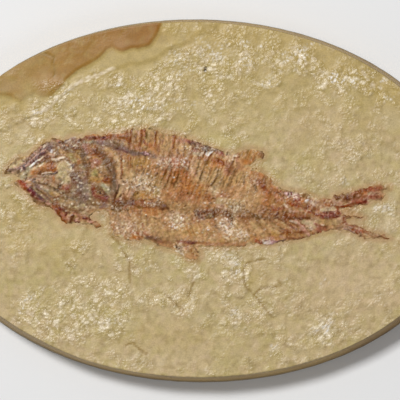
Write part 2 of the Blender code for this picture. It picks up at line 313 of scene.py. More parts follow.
# Parts of the face that were left rough, and parts that were left smooth: middle, radii and share.
ROUGH_PATCHES = (
    ((205, 62), (11, 14), 0.9), ((175, 72), (22, 20), 0.5), ((145, 100), (26, 20), 0.7),
    ((115, 81), (9, 7), 0.6), ((62, 92), (14, 9), 0.7), ((38, 112), (13, 12), 0.6), ((42, 84), (9, 7), 0.5),
    ((215, 96), (9, 15), 0.5), ((242, 46), (16, 9), 0.3), ((288, 60), (24, 12), 0.5),
    ((345, 81), (26, 9), 0.8), ((386, 97), (15, 9), 0.3), ((130, 130), (20, 8), 0.9),
    ((156, 118), (9, 13), 0.6), ((176, 138), (14, 9), 0.5), ((30, 140), (16, 11), 0.3),
    ((235, 72), (13, 20), 0.3), ((265, 82), (11, 7), 0.3), ((230, 131), (7, 9), 0.3),
    ((80, 265), (14, 20), 0.3), ((70, 310), (42, 24), 0.5), ((102, 320), (17, 17), 0.5),
    ((132, 265), (15, 9), 0.4), ((112, 290), (13, 9), 0.4), ((31, 311), (9, 8), 0.6),
    ((165, 296), (26, 8), 0.5), ((182, 307), (10, 8), 0.4), ((195, 281), (8, 12), 0.4),
    ((182, 256), (15, 10), 0.2), ((236, 269), (11, 11), 1), ((222, 252), (24, 8), 0.2),
    ((236, 311), (15, 12), 0.4), ((266, 311), (10, 9), 0.3), ((328, 328), (13, 12), 0.9),
    ((352, 150), (15, 9), 0.3), ((386, 210), (9, 5), 0.8), ((358, 209), (10, 3), 0.4),
    ((276, 346), (10, 8), 0.3), ((20, 215), (24, 24), 0.3), ((90, 120), (30, 10), 0.4),
    ((8, 182), (11, 5), 0.5),
)
SMOOTH_PATCHES = (
    ((45, 228), (52, 20), 0.5), ((130, 56), (42, 15), 0.85), ((148, 40), (22, 15), 0.8),
    ((60, 60), (46, 20), 0.4), ((14, 92), (22, 14), 0.7), ((292, 140), (32, 15), 0.4),
    ((260, 116), (28, 15), 0.3), ((44, 270), (26, 26), 0.6), ((160, 326), (24, 15), 0.6),
    ((180, 350), (42, 17), 0.7), ((250, 346), (30, 11), 0.4), ((345, 275), (52, 22), 0.4),
    ((4, 290), (8, 42), 0.8),
)

# Clouds of colour in the stone: colour, share, lift, gain, size in mm, seed and kind of noise.
STONE_CLOUDS = (
    ("stone_olive", 0.35, 0.5, 0.9, 9, 61, noise), ("stone_pink", 0.22, 0.3, 0.9, 6, 62, turned_noise),
    ("stone_olive", 0.4, 0.1, 1.3, 2.2, 63, turned_noise), ("stone_pink", 0.4, 0.1, 1.3, 1.3, 64, noise),
)

# Soft patches of the stone's colour: colour, share, middle, radii and, where they lean, degrees.
STONE_PATCHES = (
    ("stone_smooth", 0.65, (118, 60), (46, 13), 14), ("stone_smooth", 0.6, (152, 40), (18, 14), 60),
    ("stone_smooth", 0.5, (12, 104), (18, 8)), ("stone_smooth", 0.3, (14, 215), (16, 26)),
    ("stone_smooth", 0.3, (90, 125), (30, 7), 10), ("stone_smooth", 0.25, (160, 335), (50, 16)),
    ("stone_smooth", 0.3, (60, 255), (30, 14)), ("stone_pale", 0.3, (296, 183), (9, 6)),
    ("stone_olive", 0.26, (205, 92), (170, 46)), ("stone_olive", 0.2, (88, 300), (60, 36)),
    ("stone_olive", 0.55, (309, 154), (15, 18)), ("stone_olive", 0.6, (220, 141), (18, 8)),
    ("stone_smooth", 0.55, (42, 137), (14, 7), -20), ("stone_smooth", 0.32, (32, 212), (24, 19), 30),
    ("stone_smooth", 0.35, (57, 221), (9, 11)), ("stone_dark", 0.3, (98, 215), (8, 6)),
    ("stone_dark", 0.3, (30, 152), (10, 3), 38), ("stone_dark", 0.22, (343, 190), (9, 4)),
    ("tan", 0.6, (349, 213), (10, 7)), ("stone_dark", 0.25, (365, 219), (10, 9)),
    ("stone_pale", 0.3, (386, 152), (9, 6)), ("stone_pale", 0.35, (388, 224), (8, 14)),
    ("stone_pale", 0.3, (290, 260), (10, 5)), ("stone_smooth", 0.3, (258, 164), (9, 12)),
    ("stone_smooth", 0.3, (275, 178), (9, 7), 30), ("stone_olive", 0.6, (178, 258), (9, 6)),
    ("stone_olive", 0.5, (122, 250), (8, 10)), ("stone_smooth", 0.35, (255, 274), (16, 14)),
    ("stone_smooth", 0.45, (190, 304), (9, 7)), ("stone_smooth", 0.32, (15, 246), (14, 8)),
    ("stone_smooth", 0.32, (78, 245), (14, 7)), ("stone_smooth", 0.45, (216, 253), (13, 6)),
    ("stone_smooth", 0.28, (40, 108), (16, 12)), ("stone_smooth", 0.28, (190, 126), (14, 8)),
    ("stone_smooth", 0.32, (320, 166), (10, 7)), ("stone_smooth", 0.3, (392, 245), (8, 6)),
    ("stone_smooth", 0.3, (235, 142), (8, 6)), ("stone_pale", 0.38, (150, 104), (12, 7)),
    ("stone_pale", 0.32, (190, 86), (8, 4)), ("stone_pale", 0.45, (210, 56), (7, 5)),
    ("stone_pale", 0.35, (130, 325), (8, 6)), ("stone_pale", 0.28, (391, 196), (6, 5)),
    ("stone_pale", 0.3, (390, 125), (10, 6)), ("stone_dark", 0.32, (52, 212), (5, 9)),
    ("stone_pale", 0.3, (162, 254), (6, 4)), ("stone_pink", 0.3, (345, 290), (46, 30)),
    ("stone_pink", 0.25, (330, 130), (50, 26)), ("stone_pale", 0.45, (207, 108), (13, 8)),
    ("stone_pale", 0.6, (392, 113), (12, 15)), ("stone_smooth", 0.22, (60, 240), (62, 14)),
    ("stone_pale", 0.3, (200, 316), (9, 8)), ("stone_pale", 0.32, (328, 252), (9, 7)),
    ("stone_smooth", 0.2, (124, 28), (30, 8)), ("stone_smooth", 0.42, (6, 151), (8, 9)),
    ("stone_smooth", 0.35, (45, 136), (7, 5)), ("stone_smooth", 0.3, (14, 196), (8, 6)),
    ("stone_smooth", 0.28, (25, 225), (8, 6)), ("stone_smooth", 0.45, (186, 126), (8, 6)),
    ("stone_smooth", 0.28, (366, 125), (8, 6)), ("stone_smooth", 0.3, (196, 135), (7, 5)),
    ("stone_smooth", 0.3, (375, 175), (8, 6)),
)

# Where the upper bed is worn thin, where it is more golden, and a small painted glint on it: colour, share,
# middle, radii.
BED_PATCHES = (
    ("stone", 0.5, (31, 97), (13, 7)), ("stone_smooth", 0.35, (28, 86), (10, 8)),
    ("tan", 0.3, (42, 80), (11, 8)), ("bed", 0.34, (125, 36), (38, 11)), ("ochre", 0.25, (60, 62), (14, 9)),
    ("cream", 0.22, (45, 84), (3, 3)), ("stone_smooth", 0.3, (14, 101), (10, 4)),
    ("tan", 0.28, (110, 43), (16, 9)),
)

# Where glints of the lacquer are painted white: middle, radii, strength.
GLINT_PATCHES = (
    ((332, 77), (7, 5), 1), ((345, 82), (18, 3), 0.9), ((284, 58), (6, 5), 0.9), ((300, 54), (9, 8), 0.7),
    ((243, 44), (6, 4), 0.7), ((261, 45), (4, 3), 0.8), ((312, 45), (7, 3), 0.6),
    ((212, 52), (16, 10), 0.6), ((383, 81), (5, 3), 0.6), ((386, 99), (8, 3), 0.5),
    ((268, 84), (12, 4), 0.5), ((345, 181), (8, 5), 0.3), ((176, 58), (12, 8), 0.5),
    ((175, 74), (8, 4), 0.5), ((190, 68), (8, 6), 0.5), ((140, 103), (20, 9), 0.7),
    ((116, 85), (6, 2), 0.9), ((66, 91), (6, 4), 0.9), ((57, 100), (4, 5), 0.8), ((36, 112), (6, 3), 1),
    ((180, 104), (18, 5), 0.5), ((328, 327), (7, 7), 1), ((316, 329), (6, 4), 0.5),
    ((236, 269), (6, 8), 0.8), ((236, 312), (5, 6), 0.5), ((275, 346), (4, 4), 0.6),
    ((324, 281), (5, 5), 0.4), ((382, 209), (10, 3), 0.8), ((28, 300), (8, 5), 0.6),
    ((22, 310), (5, 4), 0.6), ((110, 322), (12, 4), 0.4), ((226, 256), (10, 5), 0.4),
    ((200, 40), (8, 4), 0.3), ((245, 62), (12, 8), 0.4), ((145, 268), (5, 4), 0.4),
    ((345, 370), (8, 4), 0.3),
)

# The oval's outline in the photograph: its middle and half axes.
FACE_MIDDLE = (197.4, 200.4)
FACE_REACH = (270.2, 181.4)

# How far the stone is stained beside the fish, in pixels.
STAIN_WIDTH = 5.0

# Rings down the sawn wall: metres in from the base's outline, height as a share of the slab's thickness,
# and how dark the layer is.
STONE_RINGS = (
    (0.00172, 0.992, 0.05), (0.0016, 0.968, 0.15), (0.0015, 0.93, 0.3), (0.00137, 0.82, 0.5),
    (0.00121, 0.7, 0.25), (0.00107, 0.59, 0.42), (0.00093, 0.48, 0.18), (0.00079, 0.37, 0.36),
    (0.00066, 0.27, 0.22), (0.00048, 0.15, 0.4), (0.0001, 0.075, 0.15), (0, 0.05, 0.1), (0.00008, 0.02, 0.2),
    (0.0003, 0, 0.2),
)

# Rings above RIM_SHARE follow the lumps of the face's edge and take half of its colour, and rings above
# SHOULDER_SHARE follow them too. Rings below FOOT_SHARE have the colour of the wall's lower edge.
RIM_SHARE = 0.96
SHOULDER_SHARE = 0.9
FOOT_SHARE = 0.1

# Rings farther in than FOOT_INSET are nicked, and the others waver a little.
FOOT_INSET = 0.4 * MM
NICK = 0.10 * MM
NICK_BASE = 0.05 * MM
FOOT_WAVER = 0.04 * MM
WALL_ROUGHNESS = 0.5

# Painted shade: the wall is darker at the lower right, where less light falls. Colour, share, middle, radii.
WALL_PAINTED_SHADE = ("brown", 0.35, (405, 335), (70, 45))

# How far the face's edge lies inside the base's outline, and how much farther out it reaches at the front,
# where the wall is steeper.
STONE_RIM_INSET = 0.0019
FRONT_REACH = 0.72 * MM
STONE_CELLS = (348, 234)

# The light that the lacquer's shine adds, which is taken off the painted colours.
BONE_SHINE = 0.018
STONE_SHINE = 0.034


def roughness_of_face(px, py):
    """How lumpy the worked face is, from 0.08 to 1.6."""
    share = np.full(px.shape, PLAIN_ROUGHNESS)
    for middle, radii, more in ROUGH_PATCHES:
        share += 1.05 * more * oval(px, py, middle, radii, 1.75, 1.3)
    for middle, radii, less in SMOOTH_PATCHES:
        share *= 1 - less * oval(px, py, middle, radii)
    return np.clip(share, 0.08, 1.6)


def stone_height(x, y):
    """The worked face: its height above the base, its roughness, and how far it is the upper bed."""
    px, py = in_photo(x, y)
    z = np.full(np.shape(x), SLAB_THICKNESS)
    for size, height, seed in LUMPS:
        z += height * MM * noise(x, y, size * MM, seed)
    ragged = 1.6 * noise(x, y, 2.4 * MM, 51) + 0.9 * noise(x, y, 0.9 * MM, 52)

    def step_up(edge, width, raggedness):
        return smooth_step(0.5 + (depth_inside(px, py, edge) + raggedness * ragged) / width)

    z += MM * sum(height * step_up(edge, width, raggedness) for edge, height, width, raggedness in STEPS)
    edge, _, width, raggedness = STEPS[0]
    rough = roughness_of_face(px, py) * (1 - 0.45 * step_up(edge, width, raggedness))
    rough *= 0.55 + 0.9 * smooth_step(0.5 + 1.2 * turned_noise(x, y, 2.2 * MM, 85))
    lumpy = np.minimum(rough, MOST_ROUGHNESS)
    for size, height, seed in GRAIN:
        grain = turned_noise(x, y, size * MM, seed) + 0.6 * noise(x, y, 0.8 * size * MM, seed + 1)
        z += lumpy * height * MM * grain
    for size, height, seed, share in PEBBLES:
        shifted = x + 0.2 * size * MM * noise(x, y, 0.7 * MM, seed + 1)
        z += lumpy * height * MM * dots(shifted, y, size * MM, seed, share)
    z += RIDGE_HEIGHT * smooth_step(1.3 - distance_to_line(px + 0.5 * ragged, py, RIDGE) / RIDGE_HALF_WIDTH)
    for crack in CRACKS:
        away = distance_to_line(px + 0.4 * ragged, py - 0.3 * ragged, crack)
        z -= CRACK_DEPTH * smooth_step(1.2 - away / CRACK_HALF_WIDTH)
    return z, rough, step_up(edge, BED_COLOUR_SLOPE, raggedness)


# In the materials the scales of noise are in lumps per metre, and the distances of bumps in metres.


def node_material(name, build):
    """A Principled material, whose nodes a function adds."""
    made = bpy.data.materials.new(name)
    made.use_nodes = True
    tree = made.node_tree
    build(tree, tree.nodes["Principled BSDF"])
    return made


def add_node(tree, kind, settings=None, values=None):
    made = tree.nodes.new(kind)
    for key, value in (settings or {}).items():
        setattr(made, key, value)
    for key, value in (values or {}).items():
        made.inputs[key].default_value = value
    return made


def object_place(tree):
    return add_node(tree, "ShaderNodeTexCoord").outputs["Object"]


def painted(tree):
    """The painted colour, and in its alpha the square of how rough the surface is."""
    return add_node(tree, "ShaderNodeAttribute", {"attribute_name": "tint"}).outputs


def noise_node(tree, place, scale, detail, rough=0.55):
    made = add_node(tree, "ShaderNodeTexNoise", values={"Scale": scale, "Detail": detail, "Roughness": rough})
    tree.links.new(place, made.inputs["Vector"])
    return made.outputs["Fac"]


def range_node(tree, source, low, high, to_low, to_high):
    values = {"From Min": low, "From Max": high, "To Min": to_low, "To Max": to_high}
    made = add_node(tree, "ShaderNodeMapRange", values=values)
    tree.links.new(source, made.inputs["Value"])
    return made.outputs["Result"]


def link_colour(tree, shader, source, low, high):
    """The painted colour, made darker to lighter by a noise."""
    scaled = add_node(tree, "ShaderNodeVectorMath", {"operation": "SCALE"})
    tree.links.new(painted(tree)["Color"], scaled.inputs[0])
    tree.links.new(range_node(tree, source, 0.3, 0.7, low, high), scaled.inputs["Scale"])
    tree.links.new(scaled.outputs["Vector"], shader.inputs["Base Color"])


def roughened(tree, height):
    """A height times the roughness that is painted on the surface."""
    scaled = add_node(tree, "ShaderNodeMath", {"operation": "MULTIPLY"})
    tree.links.new(height, scaled.inputs[0])
    tree.links.new(painted(tree)["Alpha"], scaled.inputs[1])
    return scaled.outputs["Value"]


def bump_chain(tree, shader, layers):
    """Bumps one over another: each is a height output and a distance in metres."""
    before = None
    for height, distance in layers:
        bump = add_node(tree, "ShaderNodeBump", values={"Strength": 1.0, "Distance": distance})
        tree.links.new(height, bump.inputs["Height"])
        if before:
            tree.links.new(before, bump.inputs["Normal"])
        before = bump.outputs["Normal"]
    tree.links.new(before, shader.inputs["Normal"])


def lacquered_stone(tree, shader):
    place = object_place(tree)
    link_colour(tree, shader, noise_node(tree, place, 2600.0, 2.0), 0.88, 1.12)
    shine = range_node(tree, painted(tree)["Alpha"], 0.1, 0.7, 0.42, 0.25)
    tree.links.new(shine, shader.inputs["Roughness"])
    shader.inputs["Specular IOR Level"].default_value = 0.28
    bump_chain(tree, shader, ((roughened(tree, noise_node(tree, place, 1500.0, 1.0, 0.4)), 0.00055),))


def sawn_wall(tree, shader):
    place = object_place(tree)
    stretched = add_node(tree, "ShaderNodeMapping", values={"Scale": (1.0, 1.0, 5.0)})
    tree.links.new(place, stretched.inputs["Vector"])
    lines = noise_node(tree, stretched.outputs["Vector"], 420.0, 5.0, 0.6)
    link_colour(tree, shader, lines, 0.80, 1.18)
    shader.inputs["Roughness"].default_value = 0.55
    bump_chain(tree, shader, ((lines, 0.00012), (noise_node(tree, place, 1900.0, 3.0), 0.00005)))


def sawn_base(tree, shader):
    """The base, with the curved marks of a saw blade."""
    place = object_place(tree)
    kerf = add_node(
        tree, "ShaderNodeTexWave", {"wave_type": "RINGS", "rings_direction": "Z"},
        {"Scale": 130.0, "Distortion": 1.4, "Detail": 3.0, "Detail Scale": 0.6},
    )
    moved = add_node(tree, "ShaderNodeMapping", values={"Location": (0.19, 0.12, 0.0)})
    tree.links.new(place, moved.inputs["Vector"])
    tree.links.new(moved.outputs["Vector"], kerf.inputs["Vector"])
    link_colour(tree, shader, noise_node(tree, place, 60.0, 5.0), 0.86, 1.12)
    shader.inputs["Roughness"].default_value = 0.75
    pits = noise_node(tree, place, 1500.0, 4.0)
    bump_chain(tree, shader, ((kerf.outputs["Fac"], 0.00008), (pits, 0.00006)))


def lacquered_bone(tree, shader):
    place = object_place(tree)
    grain = noise_node(tree, place, 3200.0, 2.0)
    link_colour(tree, shader, grain, 0.88, 1.12)
    tree.links.new(range_node(tree, grain, 0.3, 0.7, 0.28, 0.40), shader.inputs["Roughness"])
    shader.inputs["Specular IOR Level"].default_value = 0.15
    bump_chain(tree, shader, ((noise_node(tree, place, 1500.0, 1.0, 0.4), 0.00012),))


def grid_border(columns, rows):
    """The border of a grid of points, anticlockwise, as (column, row)."""
    border = [(i, 0) for i in range(columns)]
    border += [(columns, j) for j in range(rows)]
    border += [(i, rows) for i in range(columns, 0, -1)]
    border += [(0, j) for j in range(rows, 0, -1)]
    return border


def grid_faces(index):
    """The four corners of each cell of a grid of vertex numbers."""
    return np.stack([index[:-1, :-1], index[1:, :-1], index[1:, 1:], index[:-1, 1:]], axis=-1)


def band(upper, lower):
    """The faces between a ring of vertex numbers and the ring below it."""
    return np.stack([upper, lower, np.roll(lower, -1), np.roll(upper, -1)], axis=1).tolist()


def make_piece(name, verts, faces, rgb, rough, materials, slots):
    """A mesh object with a colour and a roughness at each vertex and a material on each face."""
    mesh = bpy.data.meshes.new(name)
    mesh.from_pydata(verts.tolist(), [], faces)
    tint = mesh.color_attributes.new(name="tint", type="FLOAT_COLOR", domain="POINT")
    rgba = np.concatenate([rgb, np.minimum(rough[:, None], MOST_PAINTED_ROUGHNESS) ** 2.0], axis=1)
    tint.data.foreach_set("color", rgba.astype(np.float32).ravel())
    for name_of_material, build in materials:
        mesh.materials.append(node_material(name_of_material, build))
    mesh.polygons.foreach_set("material_index", np.array(slots, np.int32))
    mesh.polygons.foreach_set("use_smooth", np.ones(len(faces), bool))
    mesh.validate()
    piece = bpy.data.objects.new(name, mesh)
    bpy.context.scene.collection.objects.link(piece)
    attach(piece, "root")
    return piece


def paint_stone(x, y, rough, bed):
    """The stone's colour over its face."""
    s = Surface(x, y, "stone")
    for cloud in STONE_CLOUDS:
        s.cloud(*cloud)
    # Paler where the face is rough: partly the stone's grain, partly a painted sheen on its lumps.
    s.cloud("stone_pale", 0.7 * rough, -0.3, 2.2, 0.8, 65)
    s.cloud("stone_dark", 0.4, -0.3, 2, 1.1, 66)
    for patch in STONE_PATCHES:
        s.patch(*patch)

    # The upper half is smoother and more golden, most of all along its rim.
    out = np.hypot((s.px - FACE_MIDDLE[0]) / FACE_REACH[0], (s.py - FACE_MIDDLE[1]) / FACE_REACH[1])
    s.tint("stone_smooth", 0.62 * ramp(out, 0.78, 0.14) * ramp(s.py, 135, -40))
    s.tint("stone_smooth", 0.4 * ramp(s.py, 175, -110))

    # Bright grains where the face is rough and along the ridge: partly the stone's own pale grains and partly
    # painted glints, each with a painted shade on one side.
    wavy_x = x + 0.3 * MM * noise(x, y, 0.9 * MM, 75)
    wavy_y = y + 0.3 * MM * noise(x, y, 0.9 * MM, 76)
    lively = rough + 0.9 * smooth_step(1.4 - distance_to_line(s.px, s.py, RIDGE) / 3.0)
    strength = np.clip(1.2 * (lively - 0.3), 0, 1)
    painted_shade_side = dots(wavy_x + 0.25 * MM, wavy_y - 0.30 * MM, 1.4 * MM, 73, 0.5)
    s.tint("stone_dark", 0.25 * strength * painted_shade_side)
    s.tint("cream", 0.54 * strength * dots(wavy_x, wavy_y, 1.4 * MM, 73, 0.5))
    s.tint("stone_pale", 0.50 * strength * dots(wavy_x, wavy_y, 1.1 * MM, 74, 0.4))

    # Painted glints: long ones that lean, and white ones in their patches.
    right, up = 0.93 * wavy_x + 0.37 * wavy_y, 0.93 * wavy_y - 0.37 * wavy_x
    s.tint("glint", 0.70 * np.clip(1.4 * (lively - 0.55), 0, 1) * dots(0.5 * right, up, 0.95 * MM, 77, 0.40))
    bright = sum(share * oval(s.px, s.py, middle, radii) for middle, radii, share in GLINT_PATCHES)
    s.tint("white", 0.90 * np.clip(bright, 0, 1) * dots(x, y, 0.80 * MM, 91, 0.58))
    s.tint("bone", 0.42 * smooth_step(1 + depth_inside(s.px, s.py, FISH_OUTLINE) / STAIN_WIDTH))

    # The upper bed.
    s.tint("bed", 0.9 * bed)
    s.tint("bed_pale", 0.6 * bed * ramp(s.px, 70, -50))
    s.tint("olive", 0.16 * bed * ramp(s.px, 95, 30))
    s.cloud("stone_dark", 0.25 * bed, 0.2, 1.4, 5, 67)
    s.tint("stone_pink", 0.10 * bed * smooth_step(0.2 + 1.4 * turned_noise(x, 2.5 * y, 3 * MM, 68)))
    s.tint("deep_orange", 0.22 * bed * ramp(s.px, 85, 40))
    s.cloud("stone_olive", 0.20 * bed, 0.1, 1.4, 1.4, 69, turned_noise)
    for patch in BED_PATCHES:
        s.patch(*patch)

    mottle = 0.05 * noise(x, y, 1.5 * MM, 78) + 0.07 * turned_noise(x, y, 0.95 * MM, 79)
    s.rgb *= 1 + ((1 - 0.6 * bed) * mottle)[:, None]
    for crack in CRACKS:
        s.stroke("crack", 0.65, CRACK_HALF_WIDTH, crack)
    # A painted highlight along the ridge.
    s.stroke("cream", 0.34, 1.5, RIDGE)
    # The small hole is painted as a dark spot of shade, with no hollow under it.
    s.stroke("dark", 1, 1.6, HOLE_SHADE)
    shine = STONE_SHINE * (0.35 + 0.65 * np.minimum(rough[:, None], MOST_ROUGHNESS))
    return np.maximum(s.rgb - shine, DARKEST)


def build_stone():
    """The slab: a grid squeezed into the face's ellipse, rings down the wall, and a flat base."""
    half_x, half_y = SLAB_LENGTH / 2, SLAB_WIDTH / 2
    rim_half_x, rim_half_y = half_x - STONE_RIM_INSET, half_y - STONE_RIM_INSET
    columns, rows = STONE_CELLS
    u, v = np.meshgrid(np.linspace(-1, 1, columns + 1), np.linspace(-1, 1, rows + 1), indexing="ij")
    x = (rim_half_x * u * np.sqrt(1 - v * v / 2)).ravel()
    y = (rim_half_y * v * np.sqrt(1 - u * u / 2)).ravel()
    reach = FRONT_REACH * smooth_step(-1.3 * v.ravel()) * ramp(u.ravel(), -0.85, 0.35)
    z, rough, bed = stone_height(x, y - reach)
    verts = [np.stack([x, y - reach, z], axis=1)]
    tints, roughs = [paint_stone(x, y - reach, rough, bed)], [rough]
    index = np.arange(x.size).reshape(u.shape)
    faces = grid_faces(index).reshape(-1, 4).tolist()
    slots = [0] * len(faces)
    rim = np.array([index[i, j] for i, j in grid_border(columns, rows)])
    ring, count = rim, len(rim)
    for step, (inset, share, dark) in enumerate(STONE_RINGS):
        bx = x[rim] / rim_half_x * (half_x - inset)
        by = y[rim] / rim_half_y * (half_y - inset) - reach[rim] * inset / STONE_RIM_INSET
        if inset > FOOT_INSET:
            nick = NICK * np.clip(noise(bx + 7 * by, by - 5 * bx, 1.1 * MM, 71 + step), -1, 1)
            outward = nick - NICK_BASE
        else:
            outward = -FOOT_WAVER * (1 + noise(bx, by, 2 * MM, 72))
        length = np.hypot(bx, by)
        bx, by = bx * (1 + outward / length), by * (1 + outward / length)
        side = Surface(bx, by, "wall")
        if share > RIM_SHARE:
            bz = z[rim] - (1.0 - share) * SLAB_THICKNESS
            side.rgb = 0.5 * tints[0][rim] + 0.5 * COLOURS["stone_dark"]
        elif share > SHOULDER_SHARE:
            bz = z[rim] * share
        else:
            bz = np.full(count, SLAB_THICKNESS * share)
        if share < FOOT_SHARE:
            side.rgb[:] = COLOURS["wall_edge"]
        # Painted shade at the lower right of the wall.
        side.patch(*WALL_PAINTED_SHADE)
        side.tint("olive", dark * (0.8 + 0.5 * noise(bx + by, by - bx, 9 * MM, 81 + step // 2)))
        below = np.arange(count) + sum(map(len, verts))
        verts.append(np.stack([bx, by, bz], axis=1))
        tints.append(side.rgb)
        roughs.append(np.full(count, WALL_ROUGHNESS))
        faces += band(ring, below)
        slots += [1] * count
        ring = below
    faces.append(ring[::-1].tolist())
    slots.append(2)
    tints[-1][:] = COLOURS["stone"]
    materials = (
        ("lacquered_limestone", lacquered_stone), ("sawn_wall", sawn_wall), ("sawn_base", sawn_base)
    )
    rgb, rough = np.concatenate(tints), np.concatenate(roughs)
    piece = make_piece("slab_stone", np.concatenate(verts), faces, rgb, rough, materials, slots)
    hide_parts("stone_slab")


# The fish's outline, clockwise in the photograph, from the snout along the back.
FISH_OUTLINE = (
    # back
    (2.6, 174.8), (3.4, 170), (6.4, 165.6), (10.4, 161.6), (15.5, 157.4), (20.5, 156), (25, 155),
    (31, 150.6), (37, 145), (43.5, 141.4), (49, 140.5), (50.5, 137.5), (55, 137.5), (62, 140), (67, 137),
    (72, 135.5), (80, 136.5), (88, 134.5), (103, 134), (110, 132), (118, 131), (126, 129.5), (134, 128.5),
    (142, 127.5), (150, 127), (155, 129.5), (160, 131.5), (168, 132), (176, 133.5), (185, 136),
    (192, 137.5), (198, 141), (204, 143), (211, 145.5), (218, 149), (224, 151), (229, 151.5), (236, 151.5),
    # dorsal fin
    (241, 149.5), (246, 147.5), (252, 148), (258, 149.5), (263, 150.5), (265.5, 154), (264, 159),
    (260, 161.5), (254, 163.5), (249, 166), (251, 168), (257, 168.5),
    # back, on to the tail
    (263, 171.5), (268, 175), (272, 179), (276, 184), (282, 187.4), (289, 189.6), (297, 190.6),
    (304, 191.6), (310, 194), (316, 197), (323, 197.6), (330, 197.6), (332.4, 194.6), (335, 193.8),
    # upper lobe of the tail
    (341, 192.8), (347, 191.6), (353, 189.6), (361, 187.4), (369, 185.8), (374, 184), (379, 183.4),
    (382.4, 186), (390.4, 185.6), (390, 189.2), (384, 191.4), (383.4, 193), (385, 194), (385.4, 199),
    (380, 201.4), (370, 201.4), (368.4, 205), (357, 207), (350, 209.4), (342, 210), (342.6, 212.6),
    # middle rays of the tail
    (346, 213.6), (353, 213.8), (360, 215.6), (365, 217.4), (360, 219.6), (353, 218.8), (347, 221),
    # lower lobe of the tail
    (352, 222.6), (361, 225.8), (369, 230), (376, 232.6), (384, 233.8), (385.6, 236.4), (391, 238.4),
    (386, 240.4), (378, 239.4), (369, 239.4), (364.6, 240.4), (361, 237.6), (355, 235), (348, 232.5),
    (342, 231.5),
    # belly, on to the pelvic fin
    (335, 230.6), (328, 231.8), (320, 233.5), (312, 236), (305, 239), (295, 240.5), (285, 242),
    (277, 243.5), (268, 245.5), (260, 245.5), (250, 245), (243, 246.5), (236, 248), (226, 248),
    (216, 248.5), (208, 247.5), (202.5, 247),
    # pelvic fin
    (201.5, 250), (201.5, 256), (199, 261.5), (190, 261), (183, 257), (176, 252), (169, 250.5),
    # belly
    (161, 248.5), (153, 244), (146, 241), (141, 242), (133, 243), (125, 240), (117, 237.5), (111, 235),
    (109, 228), (107.5, 220), (106.5, 214), (102, 212), (98, 212.5),
    # throat
    (93, 215), (91, 217), (95, 219.5), (100, 222.5), (103, 226.5), (99.5, 229.5), (94, 228), (88, 225.5),
    (80, 223.5), (76, 224), (71, 226), (66, 225.5), (61.5, 221.5), (57.5, 216), (53.5, 211), (49, 207.5),
    # lower jaw
    (44, 207), (38, 206.5), (31.5, 202), (25.5, 196), (19.5, 189.5), (14.5, 185.5), (11.5, 183), (15, 180),
    (18.5, 178), (14, 176), (10, 174),
)

# The line of the backbone, from the head to the tail.
BACKBONE = (
    (100, 202), (118, 204), (134, 203), (165, 206), (205, 213), (230, 214), (250, 217), (300, 219),
    (322, 216),
)

